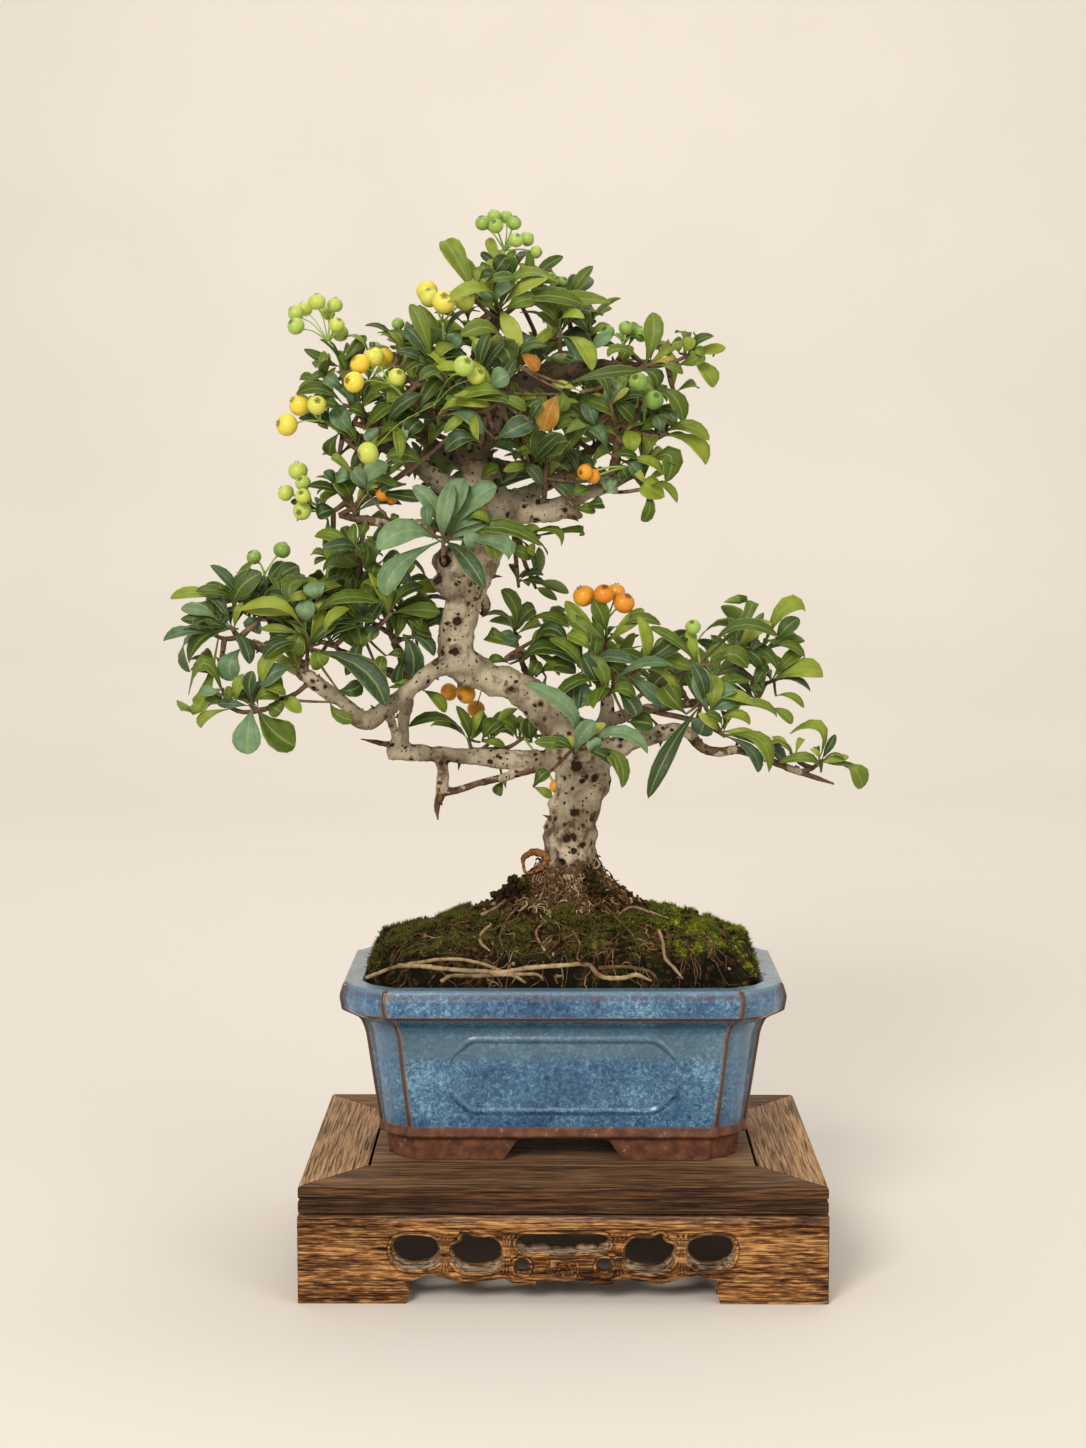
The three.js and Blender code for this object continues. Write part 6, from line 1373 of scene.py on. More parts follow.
def find_neck(bunch_number, start, middle, corners):
    """Where a bunch's stalks part, as it was built."""
    for attempt in range(TWIG_TRIES):
        draw = draws(bunch_number * 53 + attempt + 7)
        neck = start.lerp(middle, 0.45 + 0.05 * attempt * (next(draw) - 0.5))
        neck += Vector(((next(draw) - 0.5) * 1.6 * attempt, (next(draw) - 0.5) * 1.6 * attempt, 0))
        if corners.around(neck, NECK_RADIUS) >= 8:
            break
    return neck


def build_bunch(name, bunch, number, skin):
    heap = Heap()
    start = place(*bunch["from"])
    berries = spread(bunch["berries"])
    centres = [place(*berry[:3]) for berry in berries]
    neck = find_neck(number, start, sum(centres, Vector()) / len(centres), Corners(name))
    ripe = RIPENESS[name]
    stem_ripe = 0.1 if ripe < 0.8 else 0.0
    stem = [start, start.lerp(neck, 0.5) + Vector((0, 0, 0.8)), neck]
    heap.add_tube(stem, [0.8, 0.6, 0.7], 1.5, 8, 0.12, number, ripe=stem_ripe, calyx=0)
    draw = draws(number * 71 + 5)
    for berry, centre in zip(berries, centres):
        radius = berry[3] * BERRY_SCALE
        way = (centre - neck).normalized()
        long = max(1.0, (centre - neck).length / 12)
        bend = Vector((next(draw) - 0.5, next(draw) - 0.5, 0.6)) * 1.2 * long
        stalk = [neck, neck.lerp(centre, 0.5) + bend, centre - way * radius * 0.8]
        heap.add_tube(stalk, [0.56 / long, 0.42 / long, 0.55 / long], 1.2, 7, 0.1, number + berry[0],
                      ripe=stem_ripe, calyx=0)
        away = (way + Vector((next(draw) - 0.5, -0.55 * next(draw), next(draw) - 0.2)) * 0.7).normalized()
        own = ripe + (0.36 if 0.4 < ripe < 0.7 else 0.16) * (next(draw) - 0.5)
        add_fruit(heap, centre, radius, away, number, own)
    slot = "berry_orange" if ripe > 0.8 else ("berry_yellow" if ripe > 0.4 else "berry_green")
    return heap.make("fruit_" + name[8:], [skin], [name], slot)


# Wood, with the root flare as [bearing round the trunk, reach, radius]
VOXEL = 1.1
ROOTS = [(-160, 30, 5), (-118, 26, 4.6), (-75, 24, 5), (-28, 29, 4.6), (25, 29, 4.4), (80, 24, 4),
         (140, 27, 4.4)]
ROOT_CENTRE = (2, 0)
# Heights between which the trunk's foot has curled rootlets, and below which no spur grows
FOOT_LOW, FOOT_HIGH, SPURS_FROM = 164, 183, 176
# Heights between which the bark turns rugged on its way down, and darker on its way up, with painted shade
# for the crown over it
RUGGED_HEIGHTS = (185, 177)
SHADED_HEIGHTS = (340, 372)
LOOP = {"at": (534, 862, -9), "radius": 5.0, "thick": 1.2, "stalk": (556, 852, -4)}
# Knots, hollows and scars of the bark as [across, down, size, rise, hollow]
KNOTS = [
    [446, 560, 8, 1.2, 3.5], [438, 580, 6, 1, 2.5], [458, 622, 6, 0.8, 1.5], [470, 604, 5, 0.8, 0.8],
    [456, 652, 6, 1, 1.2], [490, 548, 5, 0.8, 1.2], [498, 524, 5, 0.6, 1.4], [484, 498, 5, 0.8, 1.0],
    [575, 765, 8, 1.2, 1.6], [596, 778, 6, 1.2, 1.2], [560, 742, 5, 1, 1.2], [540, 704, 4, 0.6, 1],
    [512, 690, 4, 0.6, 1.1], [574, 812, 5, 0.8, 1.4], [566, 838, 5, 0.6, 1.5], [582, 846, 4, 0.5, 1.2],
    [562, 862, 5, 0.8, 1.4], [470, 450, 4, 0.6, 1], [476, 424, 4, 0.8, 0.8], [524, 412, 4, 0.3, 0.4],
    [500, 470, 4, 0.5, 1], [480, 570, 4, 0.6, 1.1],
]
# Roots that lie on the mound, as [radius, shade] and a path of [across, down]
SURFACE_ROOTS = [
    [1.0, 0.1, [[366, 978], [392, 968], [420, 962], [454, 959], [483, 964], [508, 973], [538, 975],
                [543, 981]]],
    [1.3, 0.0, [[398, 966], [420, 966], [445, 969], [477, 971], [504, 972], [527, 968], [554, 966],
                [586, 964], [592, 968], [602, 977], [623, 978], [636, 975], [652, 981]]],
    [1.2, 0.2, [[441, 982], [451, 976], [477, 976], [510, 975], [526, 983]]],
    [0.9, 0.0, [[659, 930], [663, 943], [665, 958], [674, 968], [683, 979]]],
    [0.9, 0.1, [[491, 924], [481, 934], [481, 943], [490, 951]]],
    [0.7, 0.3, [[545, 951], [536, 934], [543, 924], [556, 922], [560, 930]]],
    [0.7, 0.1, [[619, 914], [632, 907], [650, 912], [673, 920]]],
    [1.0, 0.5, [[598, 968], [627, 967], [650, 972], [658, 981]]],
    [0.9, 0.2, [[481, 915], [497, 907], [510, 896], [518, 891]]],
    [0.6, 0.2, [[562, 976], [555, 977], [558, 984]]],
    [0.7, 0.3, [[700, 930], [712, 944], [708, 958]]],
    [0.6, 0.4, [[572, 930], [580, 944], [577, 958], [584, 962]]],
    [0.7, 0.5, [[520, 905], [508, 918], [500, 936], [504, 950]]],
    [0.6, 0.5, [[600, 900], [618, 920], [632, 934], [640, 950]]],
]


def voxel_skin(points, faces, size):
    """One skin round forms that cross each other: its points, faces and outward directions."""
    mesh = bpy.data.meshes.new("rough")
    mesh.from_pydata(points.tolist(), [], faces)
    holder = bpy.data.objects.new("rough", mesh)
    bpy.context.scene.collection.objects.link(holder)
    change = holder.modifiers.new("skin", "REMESH")
    change.mode, change.voxel_size = "VOXEL", size
    holder_now = holder.evaluated_get(bpy.context.evaluated_depsgraph_get())
    done = holder_now.to_mesh()
    co = np.empty(len(done.vertices) * 3)
    done.vertices.foreach_get("co", co)
    ways = np.empty(len(done.vertices) * 3)
    done.vertices.foreach_get("normal", ways)
    new_faces = [tuple(polygon.vertices) for polygon in done.polygons]
    holder_now.to_mesh_clear()
    bpy.data.objects.remove(holder)
    bpy.data.meshes.remove(mesh)
    return co.reshape(-1, 3), new_faces, ways.reshape(-1, 3)


def seen_point(points, ways, across, down):
    """The point of a skin that the front view shows at a place of the picture, and its outward direction."""
    ray = np.array(sight(across, down))
    ray /= np.linalg.norm(ray)
    reach = points - np.array(EYE)
    far = np.linalg.norm(reach - np.outer(reach @ ray, ray), axis=1) + 0.05 * (reach @ ray - 1000)
    far[ways @ ray > -0.1] += 1000
    best = int(np.argmin(far))
    return points[best], ways[best]


def mound_share(share):
    return np.interp(share, [s for s, _ in MOUND_PROFILE], [g for _, g in MOUND_PROFILE])


def dip(x, share):
    """How far the soil's surface lies below the mound's even form."""
    total = sum(depth * math.exp(-((x - at) / wide) ** 2) for at, wide, depth in DIPS)
    return total * min(1, 4 * (1 - min(1, share)))


def mound_height(x, y):
    share = ((abs(x) / MOUND["half_length"]) ** 3 + (abs(y) / MOUND["half_depth"]) ** 3) ** (1 / 3)
    return MOUND["rim"] + MOUND["rise"] * mound_share(min(1, share)) - dip(x, share)


def on_mound(across, down, lift):
    """Where the front view meets the soil at a place of the picture."""
    for step in range(1200):
        spot = place(across, down, -52 + step * 0.1)
        if spot.z <= mound_height(spot.x, spot.y) + lift:
            return spot
    return place(across, down, 0)


def limb_paths():
    paths = []
    for limb in LIMBS:
        paths.append(([place(*station[:3]) for station in limb], [station[3] for station in limb]))
    for bearing, reach, radius in ROOTS:
        turn = math.radians(bearing)
        path = []
        for share, lift in ((0.12, 9), (0.55, 2), (1.05, -3)):
            x = ROOT_CENTRE[0] + math.cos(turn) * reach * share
            y = ROOT_CENTRE[1] + math.sin(turn) * reach * share * 0.8
            path.append(Vector((x, y, mound_height(x, y) + lift)))
        paths.append((path, [radius * 0.95, radius * 0.8, radius * 0.4]))
    return paths


def bark_relief(points, ways):
    """Points of the bark pushed in and out by lumps, ridges and knots, and how old and how pitted each is;
    both numbers paint shade into the dents and the knots' hollows.
    """
    moved = points.copy()
    age, pit = np.zeros(len(points)), np.zeros(len(points))
    for i in range(len(points)):
        spot = Vector(points[i])
        lump = noise.noise(spot * 0.1) * 1.1 + noise.noise(spot * 0.29 + Vector((7, 1, 3))) * 0.6
        ridge = noise.noise(Vector((spot.x * 0.5, spot.y * 0.5, spot.z * 0.16))) * 0.45
        fine = noise.noise(spot * 1.05) * 0.16
        moved[i] += ways[i] * (lump * 0.75 + ridge + fine)
        # Bark pushed inward by a lump counts as older, so its dents turn rugged and darker: partly painted
        # shade
        age[i] = max(0, -lump) * 0.3 + max(0, noise.noise(spot * 0.06 + Vector((3, 9, 2)))) * 0.36
    for across, down, size, rise, hollow in KNOTS:
        centre, way = seen_point(points, ways, across, down)
        far = np.linalg.norm(points - centre, axis=1) / size
        near = far < 1.2
        push = rise * np.exp(-((far - 0.62) / 0.24) ** 2) - hollow * np.exp(-(far / 0.42) ** 2)
        moved[near] += way * push[near][:, None] * (1 - smooth_step(0.9, 1.2, far[near]))[:, None]
        # The knots' hollows are aged and pitted: painted shade, near-black in their middles
        age[near] += 0.3 * np.exp(-(far[near] / 0.6) ** 2) * min(1, hollow)
        pit[near] += np.exp(-(far[near] / 0.34) ** 2) * min(1, 0.66 * hollow)
    wavy = points[:, 2] + 2 * np.sin(points[:, 0] * 0.9) + 2 * np.sin(points[:, 1] * 1.3)
    low = smooth_step(*RUGGED_HEIGHTS, wavy)
    return moved, np.clip(age + 1.1 * low, 0, 1), np.clip(pit, 0, 1)


def build_loop(loop_bark):
    """The ring of dead wood beside the trunk, on its short stalk."""
    centre = place(*LOOP["at"])
    turns = np.arange(25) * 2 * math.pi / 24
    waves = [0.15 * math.sin(2 * t + 0.4) + 0.08 * math.sin(3 * t + 1) + 0.05 * math.sin(5 * t)
             for t in turns]
    ring = [centre + Vector((math.cos(t), 0.1 * math.sin(3 * t), math.sin(t))) * LOOP["radius"] * (1 + wave)
            for t, wave in zip(turns, waves)]
    sizes = LOOP["thick"] * (1.05 + 0.5 * np.sin(turns + 0.5))
    loop = Heap()
    loop.add(*tube(np.array([list(p) for p in ring]), sizes, 9, 0.5, 3, 0.8), age=0.4)
    loop.add_tube([ring[0], place(*LOOP["stalk"])], [LOOP["thick"] * 1.2, LOOP["thick"] * 2], 1.2, 9, 0.25, 5,
                  0.5, age=0.5)
    loop.make("bark_loop", [loop_bark], (), "bark")


def build_wood(bark, twig_bark):
    """The trunk and limbs as one skin, the thin limbs and short spurs over it, and the skin's own points."""
    thick = Heap()
    thin = Heap()
    for i, (path, radii) in enumerate(limb_paths()):
        sides = 20 if i == 0 else 14
        fine, sizes = resample(path, radii, 2.0)
        thick.add(*tube(fine, sizes, sides, 0.2 if max(radii) > 5 else 0.15, i * 3.7 + 1, 0.16))
        keep = sizes < 2.6
        if min(radii) < 2.4 and keep.sum() > 3:
            thin.add(*tube(fine[keep], sizes[keep] * 1.02, 10, 0.2, i * 2.3, 0.5), age=0.25)
    points, faces, ways = voxel_skin(np.concatenate(thick.points), thick.faces, VOXEL)
    moved, age, pit = bark_relief(points, ways)
    # Painted shade: the bark of the limbs high in the crown is darkened, for the leaves' shadow over them
    shade = smooth_step(*SHADED_HEIGHTS, moved[:, 2] + 6 * np.sin(moved[:, 0] * 0.35))
    make("bark_trunk", moved, faces, [bark], ["wood"],
         values={"age": age, "shade": shade, "pit": pit})
    draw = random.Random(31)
    for _ in range(150):
        at = draw.randrange(len(points))
        if points[at][2] < SPURS_FROM:
            continue
        way = Vector(ways[at]) + jitter(draw, 0.5)
        way.normalize()
        base = Vector(moved[at]) - way * 0.6
        length = draw.uniform(1.5, 5.2)
        bend = jitter(draw, 0.6)
        spur = [base, base + way * length * 0.5 + bend * 0.5, base + way * length + bend]
        thin.add_tube(spur, [draw.uniform(0.8, 1.5), 0.6, 0.12], 0.9, 7, 0.3, draw.random() * 9, 0.9,
                      age=draw.uniform(0.1, 0.8))
    thin.make("bark_twigs", [twig_bark], ["wood"], "bark")
    return moved, ways


def foot_point(skin, across, down, lift):
    """The point of the trunk's foot or of the soil, whichever is in front, at a place of the picture."""
    spot, way = seen_point(*skin, across, down)
    return min(on_mound(across, down, lift), Vector(spot + way * lift), key=lambda point: point.y)


def add_curl(heap, draw, centre, facing):
    """One curled rootlet on a surface that faces one way."""
    flat = Vector((0, 0, 1)).rotation_difference(facing.normalized())
    first, sweep, curve = draw.uniform(0, 6.28), draw.uniform(1.4, 5.2), draw.uniform(1.0, 3.6)
    angles = [first + sweep * j / 6 for j in range(7)]
    curl = [centre + flat @ Vector((math.cos(a) * curve, math.sin(a) * curve * 0.8, j * 0.25 * draw.random()))
            for j, a in enumerate(angles)]
    radius = draw.uniform(0.22, 0.55)
    heap.add_tube(curl, [radius * 0.4] + [radius] * 5 + [radius * 0.4], 1.2, 4, 0.25, draw.random() * 9, 0.7,
                  age=draw.choice((0.15, 0.6, 0.9, 1.0)) - draw.uniform(0, 0.15))


def round_foot(turn, far):
    """Across and away of a place round the trunk's foot."""
    return ROOT_CENTRE[0] + math.cos(turn) * far, ROOT_CENTRE[1] + math.sin(turn) * far * 0.8


def add_root_mat(heap, draw, skin):
    """The flare's rootlets, which run down the mound, and the curls over them and on the trunk's foot."""
    for _ in range(190):
        turn = draw.uniform(0, 2 * math.pi)
        start = draw.uniform(9, 15)
        reach = start + draw.uniform(4, 30) * (0.5 + 0.5 * draw.random())
        radius = draw.uniform(0.28, 0.85)
        swing, wave = draw.uniform(-0.5, 0.5), draw.uniform(1, 3)
        lift = draw.uniform(-2, 7)
        tangle = draw.uniform(0.5, 1.8)
        path = []
        for k in range(6):
            share = k / 5
            x, y = round_foot(turn + swing * share + 0.12 * math.sin(wave * 6 * share),
                              start + (reach - start) * share)
            z = mound_height(x, y) + lift * (1 - share) ** 2 - 0.6 + draw.uniform(-0.6, 0.8)
            path.append(Vector((x, y, z - (1.6 if k == 5 else 0))) + jitter(draw, tangle))
        radii = [radius, radius, radius * 0.9, radius * 0.8, radius * 0.6, radius * 0.3]
        heap.add_tube(path, radii, 2, 5, 0.3, draw.random() * 9, 0.7, age=draw.uniform(0.3, 1.0))
    for k in range(600):
        turn = draw.uniform(0, 2 * math.pi) if k % 2 else draw.uniform(-2.6, -0.5)
        far = 11 + 22 * draw.random() ** 1.4
        x, y = round_foot(turn, far)
        z = mound_height(x, y) + draw.uniform(-1, 3.4) * max(0, 1 - (far - 14) / 18)
        facing = Vector((math.cos(turn), math.sin(turn), 0.9)) + jitter(draw, 0.8)
        add_curl(heap, draw, Vector((x, y, z)), facing)
    foot = [i for i, spot in enumerate(skin[0]) if FOOT_LOW < spot[2] < FOOT_HIGH]
    for _ in range(560):
        at = draw.choice(foot)
        way = Vector(skin[1][at])
        facing = way + jitter(draw, 0.5)
        add_curl(heap, draw, Vector(skin[0][at]) + way * draw.uniform(0.1, 0.8), facing)


def add_strands(heap, draw, skin):
    """Long thin roots down the front of the trunk's foot, and loose ones that lie on the soil."""
    for k in range(44):
        across = 537 + 0.78 * k
        path = [foot_point(skin, across + 0.16 * (across - 553) * j + draw.uniform(-1, 1), 875 + 5 * j,
                           0.7 + draw.uniform(-0.2, 0.5)) for j in range(4)]
        radius = draw.uniform(0.26, 0.46)
        heap.add_tube(path, [radius, radius, radius, radius * 0.4], 1.0, 5, 0.2, draw.random() * 9, 0.7,
                      age=draw.choice((0.0, 0.1, 0.5)))
    for _ in range(240):
        spot = on_mound(draw.uniform(385, 745), draw.uniform(896, 976), -0.4)
        if spot.z > mound_height(spot.x, spot.y) + 1:
            continue
        turn = draw.uniform(0, 2 * math.pi)
        path = [spot]
        for _ in range(4):
            turn += draw.uniform(-0.9, 0.9)
            step = draw.uniform(1.5, 4.5)
            x, y = path[-1].x + math.cos(turn) * step, path[-1].y + math.sin(turn) * step * 0.6
            path.append(Vector((x, y, mound_height(x, y) + draw.uniform(-1.2, 1.2))))
        radius = draw.uniform(0.16, 0.36)
        heap.add_tube(path, [radius * 0.4, radius, radius, radius, radius * 0.4], 1.4, 4, 0.2,
                      draw.random() * 9, 0.7, age=draw.uniform(0.2, 1.0))


def build_roots(bark, skin):
    """The long roots that lie on the soil, the mat of rootlets round the trunk's foot, and the strands."""
    heap = Heap()
    draw = random.Random(77)
    for radius, shade, path in SURFACE_ROOTS:
        spots = [on_mound(u, v, 0.2) for u, v in path]
        radius *= 0.82
        heap.add_tube(spots, [radius * 1.1] + [radius] * (len(spots) - 2) + [radius * 0.55], 1.4, 9, 0.28,
                      radius * 9, 0.5, age=shade * 0.8 + 0.1)
    add_root_mat(heap, draw, skin)
    add_strands(heap, draw, skin)
    heap.make("bark_roots", [bark], (), "bark")


# Soil and moss
def mound_point(share, turn):
    """A point of the mound's skin at a share of the way out, with its broad bumps."""
    c, s = math.cos(turn), math.sin(turn)
    reach = (abs(c) ** 3 + abs(s) ** 3) ** (-1 / 3)
    x, y = MOUND["half_length"] * share * reach * c, MOUND["half_depth"] * share * reach * s
    bumps = 1.5 * math.sin(x * 0.17 + 1) * math.cos(y * 0.23) + 0.9 * math.sin(x * 0.41 - y * 0.33)
    ease = min(1, 4 * (1 - share)) * min(1, 3 * share)
    z = MOUND["rim"] + MOUND["rise"] * float(mound_share(share)) + bumps * ease - dip(x, share)
    return Vector((x, y, z))


def soil_height(spot):
    """Small clods added to the mound's own form."""
    return noise.noise(spot * 0.3) * 0.9 + noise.noise(spot * 0.8) * 0.6 + noise.noise(spot * 2) * 0.3 - 1.6


def front_band(share, turn):
    """From 0 to 1, how much a spot belongs to the bare dark strip along the front of the rim."""
    return float(smooth_step(0.88, 0.94, share)) * float(smooth_step(0.3, 0.7, -math.sin(turn)))


# Chips of bark on the soil as [across, down, size]
BARK_CHIPS = [[468, 927, 2.4], [607, 944, 2.4], [577, 903, 2.2], [588, 908, 1.8], [648, 951, 1.4],
              [679, 978, 1.4]]
# Heaps of dark clods at the trunk's foot as [across, down of the top, reach, rise]
CLODS = [[514, 876, 7, 0.5], [505, 889, 7, 0], [592, 870, 5, 0.5], [598, 884, 6, 0], [524, 882, 8, 0]]


def uneven(unit, draw, reach):
    """A unit form whose points are drawn in and out."""
    return unit * np.array([1 + draw.uniform(-reach, reach) for _ in unit])[:, None]


def tumbled(draw, low, high):
    """A random turn about the upright and then one about a level way, from a low to a high angle."""
    first = Matrix.Rotation(draw.uniform(0, 6), 3, "Z")
    return np.array(first @ Matrix.Rotation(draw.uniform(low, high), 3, "X"))


def build_soil(earth):
    """The soil's body from the pot's floor up, with the mound on top."""
    shares = [0.02] + list(np.linspace(0.06, 1.0, 58))
    sides = 190
    rings, deep = [], []
    for share in reversed(shares):
        for j in range(sides):
            turn = 2 * math.pi * j / sides
            spot = mound_point(share, turn)
            spot.z += soil_height(spot) * min(1, 0.15 + 9 * (1 - share))
            rings.append(spot)
            deep.append(front_band(share, turn))
    lower = []
    for height, inset in SOIL_BELOW:
        for j in range(sides):
            rim = mound_point(1, 2 * math.pi * j / sides)
            lower.append(Vector((rim.x * (POT_LENGTH / 2 - inset) / MOUND["half_length"],
                                 rim.y * (POT_DEPTH / 2 - inset) / MOUND["half_depth"], POT_BASE + height)))
    points = lower + rings
    count = len(shares) + 2
    make("soil_mound", points, rings_faces(count, sides) + end_faces(count, sides), [earth], ["soil"],
         values={"chip": np.zeros(len(points)), "deep": [0.0] * len(lower) + deep})
    build_crumbs(earth)


def build_crumbs(earth):
    """Loose crumbs on the mound, the heaps of clods at the trunk's foot, and the chips of bark."""
    heap = Heap()
    draw = random.Random(12)
    unit, unit_faces = ball(3, 6)
    for k in range(3300):
        share, turn = draw.random() ** 0.55, draw.uniform(0, 2 * math.pi)
        if k % 4 == 0:
            share = draw.uniform(0.1, 0.36)
        if share > 0.985:
            continue
        spot = mound_point(share, turn)
        size = 0.4 + (0.9 if k % 4 else 1.7) * draw.random() ** 2
        spot.z += soil_height(spot) + size * 0.2
        if k % 4 == 0:
            spot.z += 0.7 * size + draw.uniform(0, 2.6) * max(0, 1 - share / 0.3)
        stretch = np.array([draw.uniform(0.6, 1.4), draw.uniform(0.6, 1.4), draw.uniform(0.5, 1)]) * size
        lump = uneven(unit, draw, 0.25)
        spin = tumbled(draw, 0, 6)
        shade = draw.random() if k % 4 else 0.55 * draw.random()
        heap.add((lump * stretch) @ spin + np.array(spot), unit_faces, chip=shade,
                 deep=0.8 * front_band(share, turn) * (shade < 0.9))
    for across, down, reach, high in CLODS:
        low = on_mound(across, 900, 0)
        for _ in range(46):
            level = draw.random()
            spot = place(across + reach * (1.1 - 0.5 * level) * draw.uniform(-1, 1), down, low.y + 3)
            spot.y += draw.uniform(-4, 4)
            ground = mound_height(spot.x, spot.y)
            spot.z = ground - 0.5 + level * max(0.5, spot.z + high - ground)
            size = np.array([draw.uniform(0.8, 1.9) for _ in range(3)])
            lump = uneven(unit, draw, 0.25)
            heap.add(lump * size + np.array(spot), unit_faces, chip=0.6 * draw.random(), deep=0.3)
    for across, down, size in BARK_CHIPS:
        stretch = np.array([draw.uniform(0.8, 1.4), draw.uniform(0.5, 0.9), 0.35]) * size
        spin = tumbled(draw, 0.5, 1.3)
        lump = uneven(unit, draw, 0.3)
        spot = on_mound(across, down, 1.2)
        heap.add((lump * stretch) @ spin + np.array(spot), unit_faces, chip=0.87, deep=0)
    heap.make("soil_crumbs", [earth], (), "soil")


def moss_mask(spot, share, turn, side):
    """How thick the moss is, from 0 to 1, at a spot of the mound."""
    patch = noise.noise(spot * 0.07 + Vector((side, 0, 0))) + 0.7 * noise.noise(spot * 0.19)
    cover = float(smooth_step(-0.2, 0.16, patch)) * float(smooth_step(0.24, 0.45, share))
    return cover * (1 - front_band(share, turn)) * float(smooth_step(1.0, 0.97, share))


def build_moss(name, look, turns, low, high, side, replaces, slot, spikes, seed, base_tone):
    """A moss cushion over a fan of the mound, with a coat of short spiky leaves."""
    rows, columns = 52, 84
    draw = random.Random(seed)
    points, tones, thick = [], [], []
    for i in range(rows):
        share = low + (high - low) * i / (rows - 1)
        for j in range(columns):
            turn = turns[0] + (turns[1] - turns[0]) * j / (columns - 1)
            spot = mound_point(share, turn)
            swell = float(smooth_step(0.8, 0.97, abs(math.cos(turn)))) * float(smooth_step(0.84, 0.93, share))
            rim = min(1, 8 * min(i / (rows - 1), (rows - 1 - i) / (rows - 1) + 0.06, j / (columns - 1),
                                 (columns - 1 - j) / (columns - 1)))
            mask = moss_mask(spot, share, turn, side) * rim
            tufts = 1 - min(1, noise.voronoi(spot * 0.3)[0][0] * 1.5)
            clumps = 0.2 + 0.4 * noise.noise(spot * 0.16) + 0.35 * noise.noise(spot * 0.6) + 0.75 * tufts
            lift = -2.4 + mask * (0.8 + 2.8 * max(0.0, clumps))
            spot.z += 1.6 * swell * float(smooth_step(1.0, 0.985, share))
            spot.x *= 1 + 0.025 * swell
            spot.z += lift + 0.35 * noise.noise(spot * 1.3)
            points.append(spot)
            thick.append(mask * min(1, 0.3 + clumps))
            bright = smooth_step(34, 52, spot.x) if side == 40 else 0.35
            tones.append(base_tone - 0.3 + 0.5 * bright + 0.5 * noise.noise(spot * 0.1 + Vector((5, 5, 5)))
                         + 0.7 * (tufts - 0.5))
    faces = rings_faces(rows, columns, closed=False)
    co = np.array([list(p) for p in points])
    grid = co.reshape(rows, columns, 3)
    ways = np.cross(np.gradient(grid, axis=1), np.gradient(grid, axis=0)).reshape(-1, 3)
    ways *= np.sign(ways[:, 2:3] + 1e-9)
    ways /= np.linalg.norm(ways, axis=1)[:, None] + 1e-9
    count = len(points)
    under = co.copy()
    under[:, 2] -= 1.2
    faces += [tuple(i + count for i in reversed(face)) for face in rings_faces(rows, columns, closed=False)]
    heap = Heap()
    tone = np.clip(np.array(tones), 0, 1)
    heap.add(np.vstack([co, under]), faces, tone=np.concatenate([tone, tone]), tip=0)
    where = [i for i in range(count) if thick[i] > 0.3]
    for _ in range(spikes):
        at = draw.choice(where)
        row, column = divmod(at, columns)
        near = grid[min(row + 1, rows - 1), min(column + 1, columns - 1)] - grid[row, column]
        spot = co[at] + near * draw.random() + np.array([draw.uniform(-0.7, 0.7), draw.uniform(-0.7, 0.7), 0])
        way = ways[at] + np.array([draw.uniform(-0.9, 0.9), draw.uniform(-0.9, 0.9), draw.uniform(-0.2, 0.6)])
        way /= np.linalg.norm(way)
        side_way = np.cross(way, (0.3, 0.5, 0.8))
        side_way /= np.linalg.norm(side_way)
        other = np.cross(way, side_way)
        wide, length = draw.uniform(0.16, 0.34), draw.uniform(0.8, 2.6)
        base = spot - way * 0.3
        corners = [base + side_way * wide, base - side_way * wide * 0.5 + other * wide * 0.8,
                   base - side_way * wide * 0.5 - other * wide * 0.8, spot + way * length]
        shade = min(1, max(0, tone[at] + draw.uniform(-0.35, 0.4)))
        heap.add(corners, [(0, 1, 3), (1, 2, 3), (2, 0, 3), (0, 2, 1)], tone=shade, tip=[0.2, 0.2, 0.2, 1])
    heap.make(name, [look], replaces, slot)


def moss_look(name, dark, middle, bright):
    look = Look(name, roughness=0.9, specular=0.15)
    where = look.place()
    mottle = look.noise(look.place((0.35, 0.7, 1)), 520, 4, 0.65)
    stage = look.calc("MULTIPLY_ADD", mottle, 1.1, look.calc("MULTIPLY_ADD", look.value("tone"), 0.75, -0.5))
    # From near-black, painted shade deep in the moss, through its green to bright tips that are partly
    # painted highlight
    body = look.ramp(stage, (0.16, dark), (0.44, middle), (0.74, bright))
    # Painted shade: near-black gaps between the moss's strands
    shaded_gaps = look.ramp(look.noise(where, 240, 4, 0.7, 1.4), (0.42, 0.95), (0.52, 0.0))
    body = look.mix(shaded_gaps, body, (14, 10, 4))
    look.colour(look.mix(look.times(look.value("tip"), 0.3), body, lifted(bright, 30)))
    look.relief(look.noise(where, 900, 3), 0.5)
    return look.material


def soil_look():
    look = Look("soil", roughness=0.95, specular=0.12)
    where = look.place()
    mottle = look.noise(where, 260, 4, 0.65)
    body = look.ramp(mottle, (0.36, (10, 7, 3)), (0.5, (38, 27, 13)), (0.66, (104, 78, 42)))
    chip = look.ramp(look.value("chip"), (0.0, (24, 16, 8)), (0.5, (56, 38, 20)), (0.8, (96, 62, 36)),
                     (0.87, (116, 74, 54)), (0.95, (140, 112, 76)), (1.0, (190, 168, 128)))
    body = look.mix(look.ramp(look.value("chip"), (0.0, 0.0), (0.02, 0.75)), body, chip)
    body = look.mix(look.patches(where, 70, 3, (0.48, 0.0), (0.62, 0.55)), body, (68, 72, 24))
    dark = look.times(look.value("deep"), look.ramp(mottle, (0.5, 0.95), (0.68, 0.5)))
    look.colour(look.mix(dark, body, (14, 10, 5)))
    look.relief(look.noise(where, 800, 4), 0.6)
    return look.material


